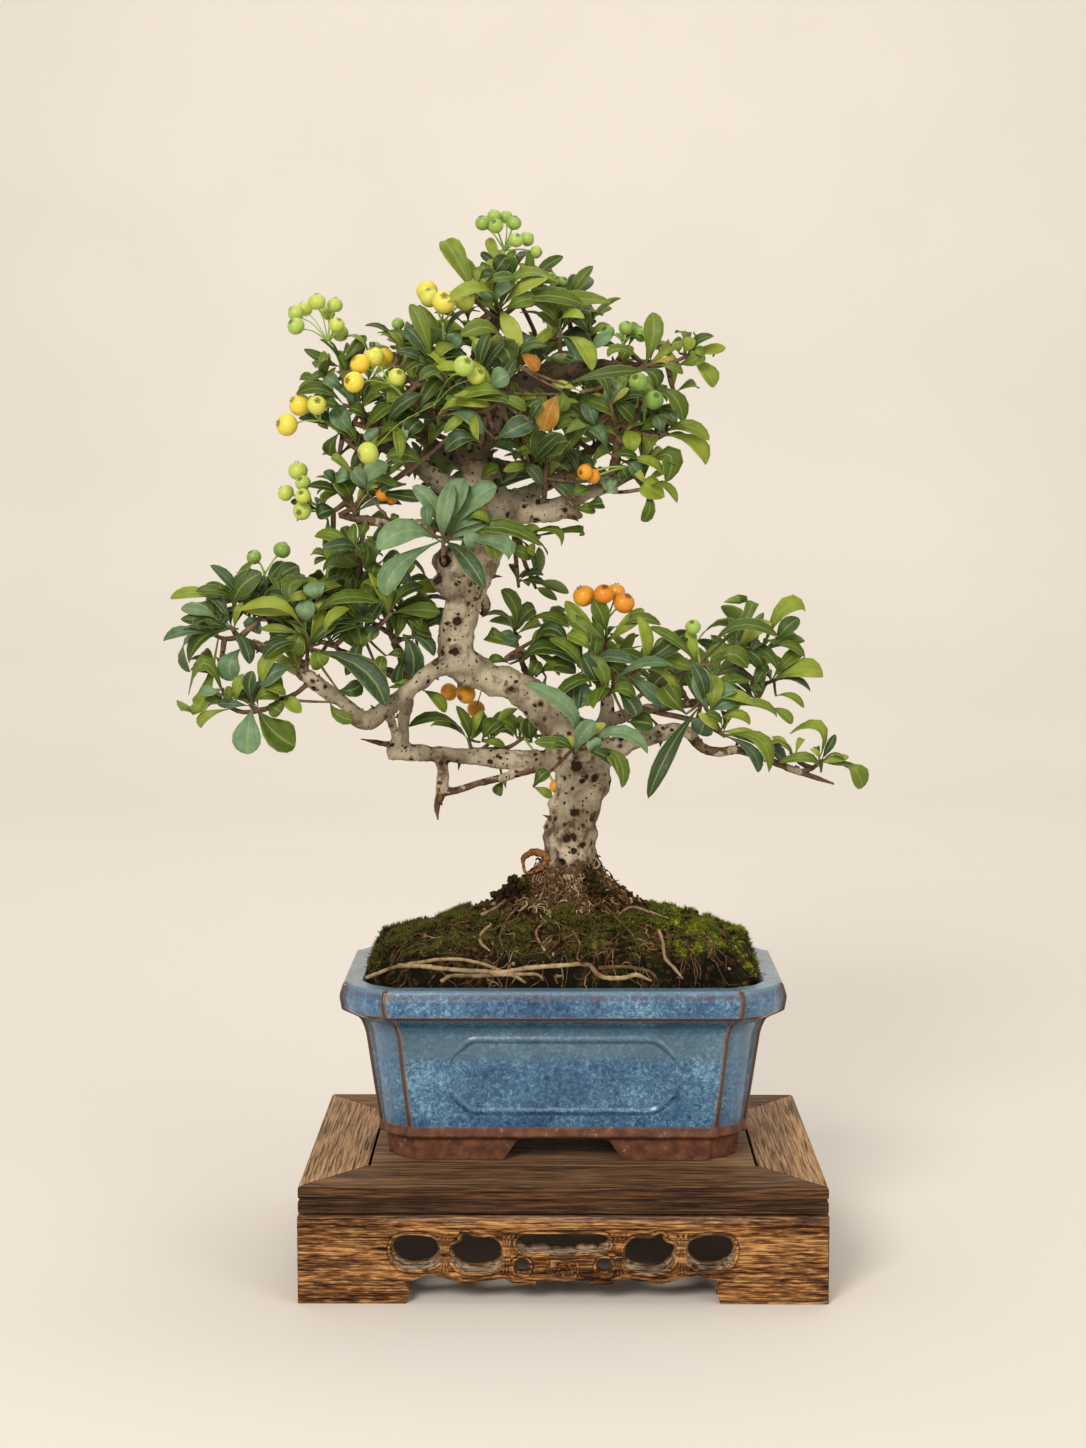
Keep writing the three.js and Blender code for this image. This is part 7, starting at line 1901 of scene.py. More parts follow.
# Pot: its outline and inside as [height, inset, chamfer, step of the corner, rounding]
POT_BASE = 52.3
POT_LENGTH, POT_DEPTH, POT_FLOOR, FOOT = 200, 120, 16, 10.3
POT_OUTSIDE = [[0, 21, 13, 1.5, 0.6], [9.5, 20, 13, 1.5, 0.8], [11.5, 16.5, 13.4, 1.8, 0.8],
               [15.8, 17, 13.6, 1.8, 0.7], [36, 14.2, 14, 2.3, 5], [58, 11.2, 15, 2.6, 3],
               [64, 9, 15.6, 2.6, 2.2], [68.6, 1, 19.6, 2, 0.8],
               [75, 0, 20, 1.8, 1.5], [80.8, 1.8, 19.4, 1.6, 1.3]]
# How far the straight sides keep clear of the rounding of a corner
FLAT_GUARD = 3.4
POT_INSIDE = [[80.8, 10.5, 15, 0.4, 1.3], [66, 14, 13, 0.4, 2], [POT_FLOOR, 23, 10, 0.4, 2]]
# Inset of the wall's face as [height, inset], for the raised frame on it
WALL_LEAN = [[22, 16], [30, 15], [45, 13.2], [60, 10.6]]
# The raised frame: half its width, its rise and cut corners, its middle height and how far it stands out
RIDGE = {"half": 51, "rise": 16.8, "cut": 9.5, "middle": 40.4, "proud": 0.9}
DRAIN_RADIUS, DRAIN_AT, BORE_SIDES = 7, 45, 32
# Body of the soil below the rim as [height in the pot, inset from the pot's outline]
SOIL_BELOW = [(POT_FLOOR + 0.3, 23.5), (66, 14.6)]


def eased(points, radii, closed, steps):
    """A chain of points whose corners are rounded by short curves, all with the same count."""
    points = [np.array(p, dtype=float) for p in points]
    out = []
    for i, point in enumerate(points):
        if not closed and i in (0, len(points) - 1):
            out.append(point)
            continue
        before, after = points[i - 1] - point, points[(i + 1) % len(points)] - point
        reach_in, reach_out = np.linalg.norm(before), np.linalg.norm(after)
        start = point + before * min(0.45, radii[i] / (reach_in + 1e-9))
        end = point + after * min(0.45, radii[i] / (reach_out + 1e-9))
        for k in range(steps + 1):
            t = k / steps
            out.append(start * (1 - t) ** 2 + point * 2 * t * (1 - t) + end * t * t)
    return out


def pot_ring(height, inset, chamfer, step):
    x, y = POT_LENGTH / 2 - inset, POT_DEPTH / 2 - inset
    ring, radii = [], []
    for sx, sy in ((1, 1), (-1, 1), (-1, -1), (1, -1)):
        bow = chamfer * 0.14
        middle = chamfer * 0.5 - bow + step * 0.4
        lobe = [(x - chamfer - FLAT_GUARD, y), (x - chamfer, y), (x - chamfer, y - step),
                (x - middle, y - middle), (x - step, y - chamfer), (x, y - chamfer),
                (x, y - chamfer - FLAT_GUARD)]
        sizes = [0.2, 0.9, 0.7, chamfer * 0.45, 0.7, 0.9, 0.2]
        if sx * sy > 0:
            lobe.reverse()
        ring += [(px * sx, py * sy, height + POT_BASE) for px, py in lobe]
        radii += sizes
    return eased(ring, radii, True, 5)


def carve(points, faces, cutters):
    """What is left of a form after some others are cut out of it."""
    scene = bpy.context.scene.collection
    holders = []
    for shape, shape_faces in [(points, faces), *cutters]:
        mesh = bpy.data.meshes.new("carve")
        mesh.from_pydata([tuple(map(float, p)) for p in shape], [], shape_faces)
        holder = bpy.data.objects.new("carve", mesh)
        scene.objects.link(holder)
        holders.append(holder)
    for cutter in holders[1:]:
        change = holders[0].modifiers.new("cut", "BOOLEAN")
        change.operation, change.solver, change.object = "DIFFERENCE", "EXACT", cutter
    now = holders[0].evaluated_get(bpy.context.evaluated_depsgraph_get())
    done = now.to_mesh()
    left = np.array([tuple(vertex.co) for vertex in done.vertices])
    left_faces = [tuple(polygon.vertices) for polygon in done.polygons]
    now.to_mesh_clear()
    for holder in holders:
        bpy.data.objects.remove(holder)
    return left, left_faces


def prism(outline, low, high, turned=False):
    """A block with an outline of [across, up], from a low to a high place along the other way."""
    ends = []
    for along in (low, high):
        ends += [(along, x, z) if turned else (x, along, z) for x, z in outline]
    count = len(outline)
    faces = [(i, (i + 1) % count, (i + 1) % count + count, i + count) for i in range(count)]
    faces += [tuple(range(count - 1, -1, -1)), tuple(range(count, 2 * count))]
    if turned:
        faces = [tuple(reversed(face)) for face in faces]
    return ends, [tuple(reversed(face)) for face in faces] if outline_turn(outline) < 0 else faces


def outline_turn(outline):
    total = 0
    for (x0, z0), (x1, z1) in zip(outline, outline[1:] + outline[:1]):
        total += (x1 - x0) * (z1 + z0)
    return total


def arch_outline(half, flare):
    low, top = POT_BASE - 1, POT_BASE + FOOT
    corners = [(-half - flare, low), (half + flare, low), (half, top), (-half, top)]
    return [tuple(p) for p in eased(corners, [0.2, 0.2, 3.0, 3.0], True, 5)]


def finish_edges(piece, angle):
    """Sharp shading only where faces meet at more than an angle, and even shading on flats."""
    piece.data.set_sharp_from_angle(angle=math.radians(angle))
    piece.modifiers.new("shading", "WEIGHTED_NORMAL").keep_sharp = True


def eased_stations(stations):
    return eased([station[:4] for station in stations], [station[4] for station in stations], False, 5)


def build_pot(glaze):
    """The pot with its feet, arches and drain holes, and where its edges are worn and its corners pale."""
    outside = eased_stations(POT_OUTSIDE)
    inside = eased_stations([POT_OUTSIDE[-1], *POT_INSIDE])
    rim = eased([outside[-2], POT_OUTSIDE[-1][:4], POT_INSIDE[0][:4]], [1, 1.3, 1], False, 5)[1:-1]
    rings = [pot_ring(*station) for station in outside[:-1] + rim + inside[1:]]
    sides = len(rings[0])
    points = np.concatenate([np.array(ring) for ring in rings])
    faces = rings_faces(len(rings), sides) + end_faces(len(rings), sides)
    hollow = [(-70, POT_BASE - 1), (70, POT_BASE - 1), (70, POT_BASE + FOOT), (-70, POT_BASE + FOOT)]
    cutters = [prism(arch_outline(20, 7.5), -70, 70), prism(arch_outline(12, 6), -110, 110, turned=True),
               prism(hollow, -30, 30)]
    for side in (-1, 1):
        turns = [2 * math.pi * k / BORE_SIDES for k in range(BORE_SIDES)]
        ring = [(side * DRAIN_AT + DRAIN_RADIUS * math.cos(t), DRAIN_RADIUS * math.sin(t)) for t in turns]
        ends = [(x, y, POT_BASE + z) for z in (0, 31) for x, y in ring]
        cutters.append((ends, rings_faces(2, BORE_SIDES) + end_faces(2, BORE_SIDES)))
    points, faces = carve(points, faces, cutters)
    heights = points[:, 2] - POT_BASE
    zs = [s[0] for s in POT_OUTSIDE]
    inset, chamfer = (np.interp(heights, zs, [s[k] for s in POT_OUTSIDE]) for k in (1, 2))
    x, y = abs(points[:, 0]), abs(points[:, 1])
    half_x, half_y = POT_LENGTH / 2 - inset, POT_DEPTH / 2 - inset
    near = np.minimum(np.hypot(x - half_x + chamfer, y - half_y), np.hypot(x - half_x, y - half_y + chamfer))
    edge = 1 - smooth_step(0.9, 2.9, near)
    lobe = smooth_step(0, 1, (x - (half_x - chamfer)) / 2) * smooth_step(0, 1, (y - (half_y - chamfer)) / 2)
    under = np.exp(-((heights - 68.4) / 0.8) ** 2) * 0.95
    edge = np.clip(np.maximum(edge, under), 0, 1)
    pot = make("pot_glazed", points, faces, [glaze], ["pot"],
               values={"edge": edge, "lobe": lobe})
    finish_edges(pot, 50)


def build_ridges(glaze):
    """The raised frame on the front and on the back of the pot."""
    heap = Heap()
    half, high, cut = RIDGE["half"], RIDGE["rise"], RIDGE["cut"]
    corners = [(-half, cut - high), (-half + cut, -high), (half - cut, -high), (half, cut - high),
               (half, high - cut), (half - cut, high), (-half + cut, high), (-half, high - cut)]
    path = eased(corners, [3.5] * 8, True, 6)
    spans = np.linspace(-1.9, 1.9, 11)
    count = len(path)
    for side in (-1, 1):
        rings, marks = [], []
        for i, spot in enumerate(path):
            ahead = path[(i + 1) % count] - path[i - 1]
            ahead /= np.linalg.norm(ahead)
            out = np.array([ahead[1], -ahead[0]])
            for share in [*spans, None]:
                reach = 0 if share is None else share
                rise = -1.2 if share is None else RIDGE["proud"] * math.cos(math.pi * share / 3.8) ** 2 - 0.06
                px, pz = spot + out * reach
                height = pz + RIDGE["middle"]
                wall = POT_DEPTH / 2 - np.interp(height, *zip(*WALL_LEAN))
                rings.append((px, side * (wall + rise), height + POT_BASE))
                marks.append(0.35 * (1 - max(0, rise) / RIDGE["proud"]))
        band = 12
        faces = []
        for i in range(count):
            for j in range(band):
                a, b = i * band + j, i * band + (j + 1) % band
                c, d = ((i + 1) % count) * band + (j + 1) % band, ((i + 1) % count) * band + j
                faces.append((a, b, c, d) if side > 0 else (d, c, b, a))
        heap.add(rings, faces, edge=marks, lobe=0)
    heap.make("pot_ridges", [glaze], (), "pot_glaze")


def glaze_look():
    """Mottled blue glaze, darker and paler in bands by height, with painted shade under the lip and a painted
    highlight along its top, worn at the edges, over bare clay.
    """
    look = Look("glaze", roughness=0.24, specular=0.5, Coat_Weight=0.25, Coat_Roughness=0.12)
    where = look.place()
    height = look.calc("DIVIDE", look.axis(2), MM)
    level = look.calc("DIVIDE", height, 200)
    wisps = look.noise(where, 520, 5, 0.75, 0.8)
    broad = look.noise(where, 40, 3)
    body = look.ramp(look.calc("MULTIPLY_ADD", wisps, 0.72, look.times(broad, 0.32)), (0.36, (10, 36, 66)),
                     (0.45, (32, 74, 112)), (0.54, (62, 106, 140)), (0.68, (136, 176, 198)))
    band = look.ramp(level, (0.488, 0.0), (0.512, 0.62), (0.556, 0.55), (0.57, 0.0))
    body = look.mix(band, body, (78, 104, 116))
    # Painted shade: a dark teal band just under the lip's overhang
    shade = look.ramp(level, (0.557, 0.0), (0.568, 0.7), (0.578, 0.75), (0.59, 0.0))
    body = look.mix(shade, body, (40, 76, 92))
    drips = look.noise(look.place((1, 1, 0.35)), 300, 3, 0.6)
    row = look.ramp(level, (0.632, 0.0), (0.64, 0.85), (0.648, 0.0))
    body = look.mix(look.times(row, look.ramp(drips, (0.5, 0.0), (0.6, 1.0))), body, (26, 52, 102))
    lip = look.ramp(level, (0.643, 0.0), (0.65, 0.9), (0.656, 0.9), (0.66, 0.0))
    body = look.mix(look.times(lip, look.ramp(drips, (0.4, 0.3), (0.55, 1.0))), body, (74, 56, 72))
    # Painted highlight: the lip's top is paler, as lit from above
    body = look.mix(look.ramp(level, (0.654, 0.0), (0.662, 0.7)), body, (100, 128, 144))
    body = look.mix(look.times(look.value("lobe"), 0.35), body, (96, 124, 154))
    specks = look.ramp(look.cells(where, 420).outputs["Distance"], (0.1, 0.85), (0.17, 0.0))
    specks = look.times(specks, look.patches(where, 120, 1, (0.52, 0.0), (0.6, 1.0)))
    body = look.mix(specks, body, (36, 40, 56))
    wear = look.around("edge", look.noise(where, 300, 3), 0.5, 0.25)
    bare = look.ramp(wear, (0.36, (132, 108, 92)), (0.55, (118, 80, 56)), (0.85, (62, 44, 36)))
    body = look.mix(look.ramp(wear, (0.3, 0.0), (0.46, 0.85), (0.7, 0.95)), body, bare)
    uneven_height = look.calc("MULTIPLY_ADD", look.noise(where, 160, 2), 1.1, height)
    clay = look.ramp(look.calc("DIVIDE", uneven_height, 200), (0.3425, 1.0), (0.3455, 0.0))
    earth = look.patches(where, 180, 4, (0.3, (66, 36, 20)), (0.52, (98, 56, 34)), (0.75, (132, 82, 54)))
    earth = look.mix(look.patches(where, 420, 3, (0.64, 0.0), (0.74, 0.5)), earth, (186, 162, 148))
    look.colour(look.mix(clay, body, earth))
    shine = look.patches(where, 90, 2, (0.3, 0.2), (0.7, 0.34))
    look.gloss(look.mix(clay, shine, (0.78, 0.78, 0.78, 1)))
    look.relief(look.calc("MULTIPLY_ADD", wisps, 0.6, look.times(broad, 0.5)), 0.22)
    return look.material


# Stand: half of each apron's lower edge, and its holes, as [across, up]
STAND = {"apron_length": 232.5, "apron_depth": 163.5, "apron_height": 38.8, "apron_thick": 9}
FACE_DROP = 0.9
FRONT_EDGE = [[0, 10], [11.4, 10.4], [11.8, 8.3], [21.3, 8.8], [25.6, 11.2], [42.9, 8.8], [58.5, 13],
              [65.1, 10.4], [69.3, 9.9], [66.3, 5.2], [68.4, 0]]
SIDE_EDGE = [[0, 10], [11.4, 10.4], [11.8, 8.3], [24, 8.8], [34, 12.6], [40.1, 10.4], [44.3, 9.9],
             [41.3, 5.2], [43.4, 0]]
OVAL_HOLE = [[56, 20.5], [61, 18.2], [67, 18], [72, 21], [73.8, 25.5], [71.5, 29], [66, 29.8],
             [60, 29.3], [55.5, 27.5], [54.3, 24]]
CURL_HOLE = [[28, 19.5], [34, 17.1], [42, 17.2], [46.5, 20.5], [48.2, 25], [44, 27.4], [42.5, 30.7],
             [38, 28.8], [31, 28.6], [27.4, 25]]
SLOT_HOLE = [[19.3, 27.5], [17, 30], [8, 30.3], [-8, 30.3], [-17, 30], [-19.3, 27.5], [-15, 24.6],
             [-9, 25.4], [-4, 23.8], [4, 23.8], [9, 25.4], [15, 24.6]]
# The round holes on both sides of the middle as across, up and radius, and how far the bars stand from it
ROUND_HOLE = (17.9, 17, 2.9)
BARS = [51.2, 23.9]
# How deep the underside of a carved line lies in the apron
STROKE_DEPTH = 0.8


def wood_look(name, along, dark, middle, pale, depth, fine, length=0.055, top=None, lip=None):
    """Weathered wood whose open grain runs along one way, a number from 0 to 2; given top colours, the faces
    that look up are painted lighter, as lit from above.
    """
    look = Look(name, roughness=0.66, specular=0.18)
    stretch = tuple(length if k == along else 1.0 for k in range(3))
    long = tuple(0.02 if k == along else 1.0 for k in range(3))
    streaks = look.noise(look.place(stretch), fine, 5, 0.62, 0.35)
    broad = look.noise(look.place(stretch), 90, 3, 0.5, 0.3)
    pores = look.noise(look.place(long), 1500, 3, 0.6)
    stage = look.calc("MULTIPLY_ADD", streaks, 0.7, look.times(broad, 0.36))
    body = look.ramp(stage, (0.42, dark), (0.52, middle), (0.63, pale))
    if top:
        # Painted light: faces that look up take the lighter top colours, as lit from above
        facing = look.parts(look.node("ShaderNodeNewGeometry").outputs["Normal"])
        upper = look.ramp(stage, (0.4, top[0]), (0.52, top[1]), (0.66, top[2]))
        body = look.mix(look.ramp(facing[2], (0.55, 0.0), (0.85, 1.0)), body, upper)
    if lip:
        body = look.mix(look.value("lip"), body, look.ramp(stage, (0.4, lip[0]), (0.62, lip[1])))
        worn = look.ramp(look.calc("DIVIDE", look.axis(2), 0.05), (0.725, 0.0), (0.75, 0.6), (0.775, 0.4))
        worn = look.times(worn, look.ramp(broad, (0.4, 0.3), (0.6, 1.0)))
        body = look.mix(worn, body, (136, 122, 112))
        body = look.mix(look.times(look.value("cut"), 0.8), body, toned(dark, 0.7))
    lines = look.ramp(pores, (0.36, 0.8), (0.46, 0.0))
    look.colour(look.mix(lines, body, toned(dark, 0.55)))
    look.gloss(look.ramp(broad, (0.3, 0.5), (0.7, 0.72)))
    look.relief(look.calc("SUBTRACT", streaks, look.times(lines, 0.5)), depth)
    return look.material


def smooth_ring(points, count):
    """A closed smooth ring through some points, evenly counted."""
    points = np.array(points, dtype=float)
    total = len(points)
    out = []
    for k in range(count):
        at = k * total / count
        i, t = int(at), at - int(at)
        out.append(through(*(points[(i + d) % total] for d in (-1, 0, 1, 2)), t))
    return np.array(out)


def mirrored(points):
    return [[-x, z] for x, z in points][::-1]


def ring_area(ring):
    """Twice a ring's area, below zero where it runs clockwise."""
    return np.sum(ring[:, 0] * np.roll(ring[:, 1], -1) - np.roll(ring[:, 0], -1) * ring[:, 1])


def ring_ways(ring):
    """The outward direction at each point of a ring."""
    ahead = np.roll(ring, -1, axis=0) - np.roll(ring, 1, axis=0)
    ahead /= np.linalg.norm(ahead, axis=1)[:, None]
    ways = np.stack([ahead[:, 1], -ahead[:, 0]], axis=1)
    return ways if ring_area(ring) > 0 else -ways


def lip_width(ways, wide, narrow):
    return narrow + (wide - narrow) * smooth_step(0.1, 0.9, -ways[:, 1])


def flat_shape(rings, thick, bevel):
    """Points and faces of a board with an outline and holes, its edges eased, centred in its thickness."""
    curve = bpy.data.curves.new("board", "CURVE")
    curve.dimensions, curve.fill_mode = "2D", "BOTH"
    curve.extrude, curve.bevel_depth, curve.bevel_resolution = thick / 2 - bevel, bevel, 2
    curve.offset = -bevel
    for ring in rings:
        spline = curve.splines.new("POLY")
        spline.points.add(len(ring) - 1)
        spline.points.foreach_set("co", np.array([(x, z, 0, 1) for x, z in ring]).ravel())
        spline.use_cyclic_u = True
    holder = bpy.data.objects.new("board", curve)
    bpy.context.scene.collection.objects.link(holder)
    now = holder.evaluated_get(bpy.context.evaluated_depsgraph_get())
    done = now.to_mesh()
    points = np.array([(v.co.x, v.co.z, v.co.y) for v in done.vertices])
    faces = [tuple(reversed(polygon.vertices)) for polygon in done.polygons]
    now.to_mesh_clear()
    bpy.data.objects.remove(holder)
    return points, faces


def stroke(path, width, rise):
    """A carved half-round line through places of [across, up], as points with the depth second."""
    path = eased([np.array(p, dtype=float) for p in path], [1.2] * len(path), False, 4)
    ring = []
    count = len(path)
    for i, spot in enumerate(path):
        ahead = path[min(i + 1, count - 1)] - path[max(i - 1, 0)]
        ahead /= np.linalg.norm(ahead) + 1e-9
        out = np.array([-ahead[1], ahead[0]])
        size = width * (0.55 if i in (0, count - 1) else 1)
        for share in np.linspace(-1, 1, 5):
            x, z = spot + out * share * size / 2
            ring.append((x, -rise * (1 - share ** 2), z))
        ring.append((spot[0], STROKE_DEPTH, spot[1]))
    faces = []
    for i in range(count - 1):
        for j in range(6):
            a, b = i * 6 + j, i * 6 + (j + 1) % 6
            faces.append((a, b, b + 6, a + 6))
    faces += end_faces(count, 6)
    return np.array(ring), faces


def collar(ring, thick, wide, narrow, waves=0.0, worn=0.85):
    """The carved edge of a pierced hole: a raised rim, and a dished slope down to the hole."""
    ways = ring_ways(ring)
    width = lip_width(ways, wide, narrow)
    low = smooth_step(0.1, 0.9, -ways[:, 1])
    ripple = waves * np.abs(np.sin(ring[:, 0] * 0.62)) * low
    rows = [(1.0, 1.9, 1.6), (1.0, 1.5, 0.3), (1.0, 0.95, 0.0), (1.0, 0.3, 0.12), (0.93, 0, 0.75),
            (0.7, 0, 1.5), (0.4, 0, 2.3), (0.12, 0, 3.0), (0.0, 0, 3.8)]
    rows += [(a, b, thick - c) for a, b, c in reversed(rows)]
    points, marks, cuts = [], [], []
    for share, extra, depth in rows:
        reach = width * share + extra
        if share < 0.2:
            reach = reach - ripple * 0.9
        spot = ring + ways * reach[:, None]
        points.append(np.column_stack([spot[:, 0], np.full(len(ring), depth), spot[:, 1]]))
        marks.append(low * (worn if 0.1 < share < 0.95 else 0.0))
        cuts.append(np.full(len(ring), 1.0 if extra > 1.4 else (0.35 if share < 0.2 else 0.0)))
    count = len(ring)
    faces = rings_faces(len(rows), count)
    last = (len(rows) - 1) * count
    faces += [(last + j, last + (j + 1) % count, (j + 1) % count, j) for j in range(count)]
    if ring_area(ring) < 0:
        faces = [tuple(reversed(face)) for face in faces]
    return np.concatenate(points), faces, np.concatenate(marks), np.concatenate(cuts)


def motif():
    """Carved lines between the two round holes: bars beside a small fan of arches."""
    lines = []
    for side in (-1, 1):
        for level in (12.6, 14.7, 16.8, 18.9):
            lines.append([[side * 7.2, level], [side * 12.6, level + 0.25 * side]])
        lines.append([[side * 6.2, 12.2], [side * 6.6, 16], [side * 5.8, 19.6]])
        lines.append([[side * 14.2, 21], [side * 8, 21.6], [side * 2.6, 20.6]])
    for radius in (1.3, 2.7, 4.2):
        arc = [[radius * math.cos(t), 12.6 + 1.55 * radius * math.sin(t)] for t in np.linspace(0, math.pi, 9)]
        lines.append(arc)
    return lines


def bars(rings):
    """How far from the middle the bars between an apron's holes stand."""
    return BARS if len(rings) > 1 else BARS[1:]


def side_lines(edge, rings):
    """Carved lines along an apron's lower edge and up the bars between its holes."""
    lines = []
    inner = [[x, z + 1.7] for x, z in edge[2:-3]]
    lines += [inner, mirrored(inner)]
    for x in bars(rings):
        for shift in (-1.1, 0.6, 2.2):
            line = [[x + shift, 13.5], [x + shift * 0.5, 20], [x + shift * 0.6, 27], [x + shift * 1.6, 31.5]]
            lines += [line, [[-px, pz] for px, pz in line]]
    return lines


def build_apron(name, length, depth, edge, rings, turn, wood, mitre):
    """One pierced and carved apron with mitred ends, turned to its side of the stand."""
    half, top, thick = length / 2, STAND["apron_height"], STAND["apron_thick"]
    lower = mirrored(edge) + edge[1:]
    outline = [(-half, 0.0), *[tuple(p) for p in lower], (half, 0.0), (half, top), (-half, top)]
    holes, collars = [], []
    for ring in rings:
        fine = smooth_ring(ring, 64)
        slot_like = abs(fine[:, 0].mean()) < 1
        ways = ring_ways(fine)
        wide = 2.0 if slot_like else 2.9
        holes.append(fine + ways * (lip_width(ways, wide, 1.0) + 1.0)[:, None])
        collars.append(collar(fine, thick, wide, 1.0, 1.0 if slot_like else 0.0))
    x, z, radius = ROUND_HOLE
    for side in (-1, 1):
        turns = np.arange(32) * 2 * math.pi / 32
        ring = np.stack([side * x + radius * np.cos(turns), z + radius * np.sin(turns)], axis=1)
        ways = ring_ways(ring)
        holes.append(ring + ways * (lip_width(ways, 1.1, 0.6) + 0.8)[:, None])
        collars.append(collar(ring, thick, 1.1, 0.6, worn=0.0))
    points, faces = flat_shape([outline, *holes], thick - 2 * FACE_DROP, 0.45)
    points[:, 1] += thick / 2
    heap = Heap()
    heap.add(points, faces, lip=0.0, cut=0.0)
    for shape, shape_faces, marks, cuts in collars:
        heap.add(shape, shape_faces, lip=marks, cut=cuts)
    draw = random.Random(len(rings))
    pearl, pearl_faces = ball(5, 8)
    for x in bars(rings):
        for step in range(14):
            for side in (-1, 1):
                size = draw.uniform(0.5, 0.8)
                across = side * (x + draw.uniform(-1.6, 2.0))
                spot = (across, FACE_DROP + 0.2, 15 + step * 1.05 + draw.uniform(0, 0.8))
                heap.add(pearl * size + np.array(spot), pearl_faces, lip=0.0, cut=0.0)
    for line in [*motif(), *side_lines(edge, rings)]:
        shape, shape_faces = stroke(line, 1.5, FACE_DROP - 0.03)
        shape[:, 1] += FACE_DROP
        cuts = np.tile([0.5, 0.0, 0.0, 0.0, 0.5, 0.5], len(shape) // 6)
        heap.add(shape, shape_faces, lip=0.0, cut=cuts)
    shape = np.concatenate(heap.points)
    inward = shape[:, 1].copy()
    ends = abs(shape[:, 0]) > half - mitre - 0.6
    shape[ends, 0] = np.sign(shape[ends, 0]) * (abs(shape[ends, 0]) - np.clip(inward[ends], 0, mitre) - 0.12)
    shape[:, 1] = -depth / 2 + inward
    shape = shape @ np.array(Matrix.Rotation(math.radians(turn), 3, "Z")).T
    piece = make("carved_" + name[6:], shape, heap.faces, [wood], [name],
                 values=heap.numbers())
    finish_edges(piece, 45)


def dress(name, material):
    """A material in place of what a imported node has."""
    NODES[name].data.materials.clear()
    NODES[name].data.materials.append(material)
    return NODES[name]


def build_stand():
    tones = ((44, 25, 11), (134, 86, 46), (216, 160, 100))
    lip = ((74, 60, 52), (180, 158, 134))
    carving = {"depth": 2.2, "lip": lip, "fine": 760, "length": 0.14}
    along_x = wood_look("apron_wood_x", 0, *tones, **carving)
    along_y = wood_look("apron_wood_y", 1, *tones, **carving)
    long_rings = [OVAL_HOLE, CURL_HOLE, SLOT_HOLE, mirrored(CURL_HOLE), mirrored(OVAL_HOLE)]
    size, depth, mitre = STAND["apron_length"], STAND["apron_depth"], STAND["apron_thick"]
    build_apron("stand_apron_front", size, depth, FRONT_EDGE, long_rings, 0, along_x, mitre)
    build_apron("stand_apron_back", size, depth, FRONT_EDGE, long_rings, 180, along_x, mitre)
    build_apron("stand_apron_right", depth, size, SIDE_EDGE, [SLOT_HOLE], 90, along_y, mitre)
    build_apron("stand_apron_left", depth, size, SIDE_EDGE, [SLOT_HOLE], 270, along_y, mitre)
    rail = ((38, 22, 11), (72, 46, 26), (112, 76, 46))
    # The rails' tops get lighter copies of their wood, painted light from above, less so on the front and
    # back rails
    top = ((108, 80, 54), (168, 128, 90), (204, 166, 124))
    front_lit_top = ((46, 30, 18), (102, 72, 46), (158, 120, 82))
    rail_x = wood_look("rail_wood_x", 0, *rail, top=front_lit_top, depth=0.8, fine=900, length=0.05)
    rail_y = wood_look("rail_wood_y", 1, *rail, top=top, depth=0.8, fine=900, length=0.05)
    panel = wood_look("panel_wood", 0, (84, 60, 40), (128, 96, 68), (160, 126, 92), depth=0.35, fine=520)
    for name, wood in (("stand_rail_front", rail_x), ("stand_rail_back", rail_x),
                       ("stand_rail_left", rail_y), ("stand_rail_right", rail_y), ("stand_panel", panel)):
        node = dress(name, wood)
        node.modifiers.new("join", "WELD").merge_threshold = 0.01 * MM
        bevel = node.modifiers.new("eased", "BEVEL")
        bevel.width, bevel.segments = 0.4 * MM, 2
        bevel.limit_method, bevel.angle_limit = "ANGLE", math.radians(30)
    net = Look("drain_net", roughness=0.6)
    net.colour(net.patches(net.place(), 500, 2, (0.3, (34, 38, 36)), (0.7, (62, 68, 64))))
    for name in ("drain_mesh_left", "drain_mesh_right"):
        dress(name, net.material)


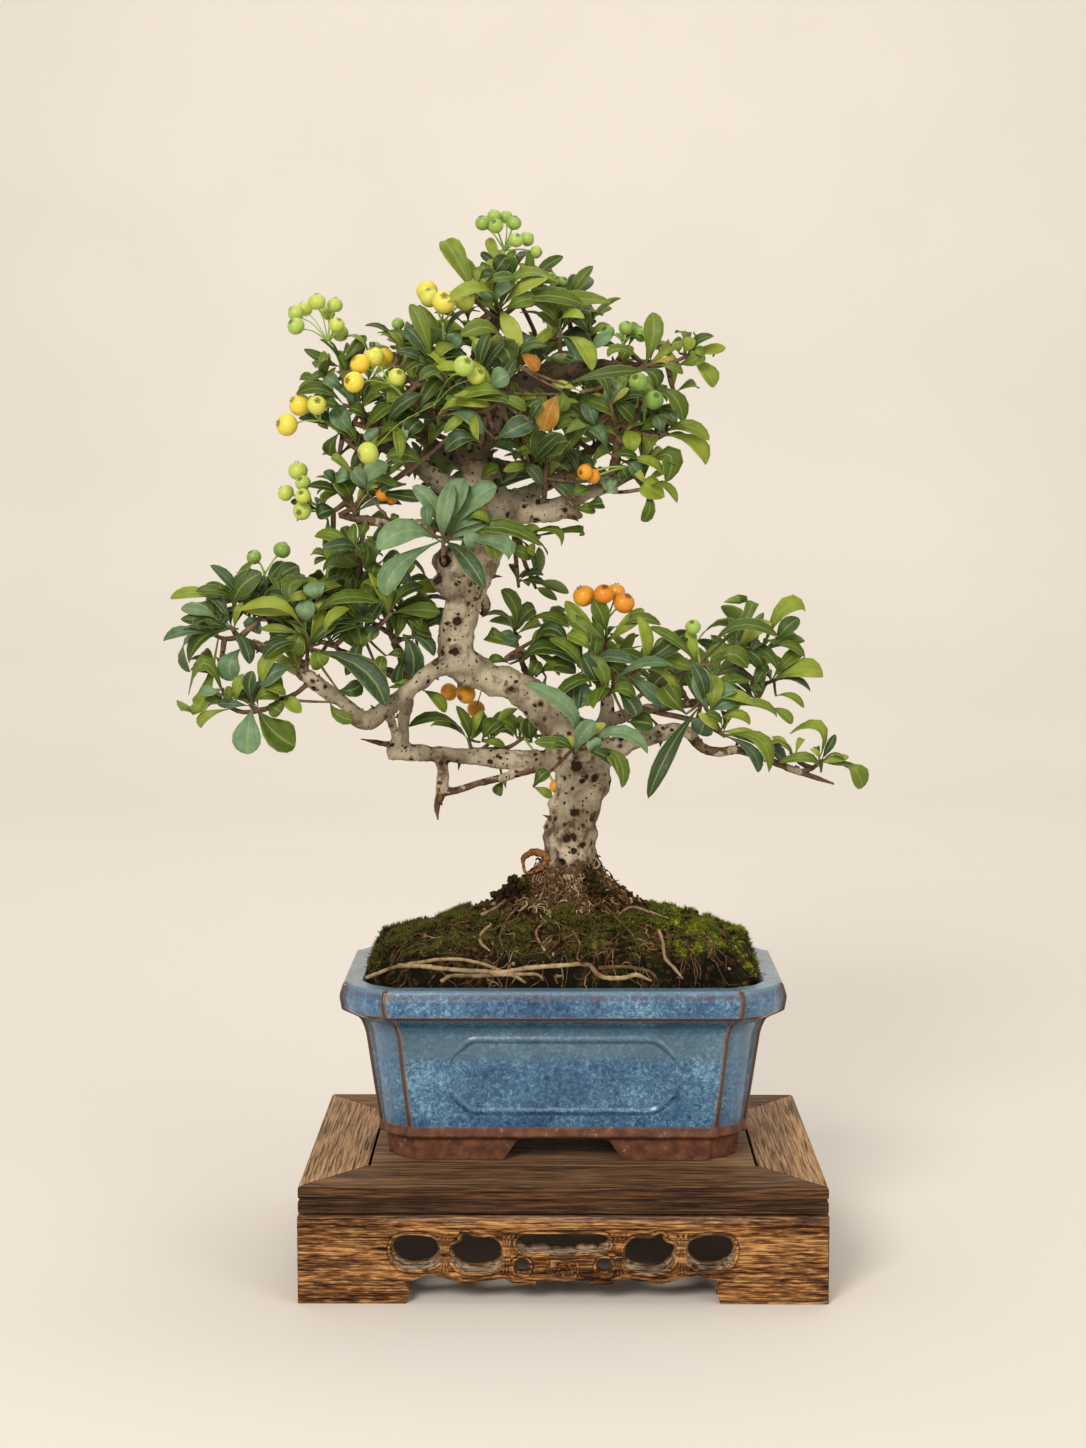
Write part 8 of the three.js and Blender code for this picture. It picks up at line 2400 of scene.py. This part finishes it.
# The whole object
scene = bpy.context.scene
place_camera(scene)
hang_paper(scene)
light_studio(scene)
leaf = leaf_look()
bark = bark_look("bark", (172, 160, 136), (98, 70, 42), (40, 26, 14), 0.54)
twig_bark = bark_look("twig_bark", (118, 96, 72), (84, 56, 36), (38, 24, 14), 0.3)
root_bark = bark_look("root_bark", (178, 156, 118), (96, 61, 30), (50, 36, 22), 0.15)
skin = skin_look()
loop_bark = bark_look("loop_bark", (204, 156, 98), (132, 80, 36), (60, 36, 20), 0.3)
build_loop(loop_bark)
build_roots(root_bark, build_wood(bark, twig_bark))
spots = Spots()
corners = {name: Corners(name) for name in SPRAYS}
sprays = {name: find_twigs(spray, order + 1, corners[name])
          for order, (name, spray) in enumerate(SPRAYS.items())}
added = inner_twigs(sprays)
left = list(LAID_LEAVES)
heaps = {}
for name, twigs in sprays.items():
    heaps[name] = build_spray(name, twigs + added[name], corners[name], spots, left)
draw = draws(5150)
for entry in left:
    name, twig = carrier(sprays, entry[0], entry[1])
    lay_leaf(heaps[name], twig, entry, draw)
for name, heap in heaps.items():
    heap.make("leaves_" + name[6:], [leaf, twig_bark], [name], "leaf")
for order, (name, bunch) in enumerate(BUNCHES.items()):
    build_bunch(name, bunch, order + 1, skin)
build_lone_berries(sprays, skin)
build_soil(soil_look())
olive = moss_look("moss_olive", (14, 10, 3), (66, 58, 18), (146, 142, 50))
green = moss_look("moss_green", (14, 11, 3), (66, 64, 16), (146, 160, 36))
for name, moss, spokes, low, high, side, replaces, slot, spikes, seed, tone in (
        ("moss_cushion_left", olive, (8, 15), 0.42, 1.0, 0, ["moss_left"], "moss_olive", 9000, 5, 0.42),
        ("moss_cushion_right", green, (17, 25), 0.42, 1.0, 40, ["moss_right"], "moss_green", 10000, 6, 0.5),
        ("moss_front", olive, (14.6, 17.6), 0.3, 0.93, 80, (), "moss_olive", 5000, 7, 0.5),
        ("moss_back", olive, (2.6, 8.4), 0.35, 0.97, 60, (), "moss_olive", 3000, 8, 0.45)):
    turns = [2 * math.pi * spoke / MOUND_SPOKES for spoke in spokes]
    build_moss(name, moss, turns, low, high, side, replaces, slot, spikes, seed, tone)
glaze = glaze_look()
build_pot(glaze)
build_ridges(glaze)
build_stand()
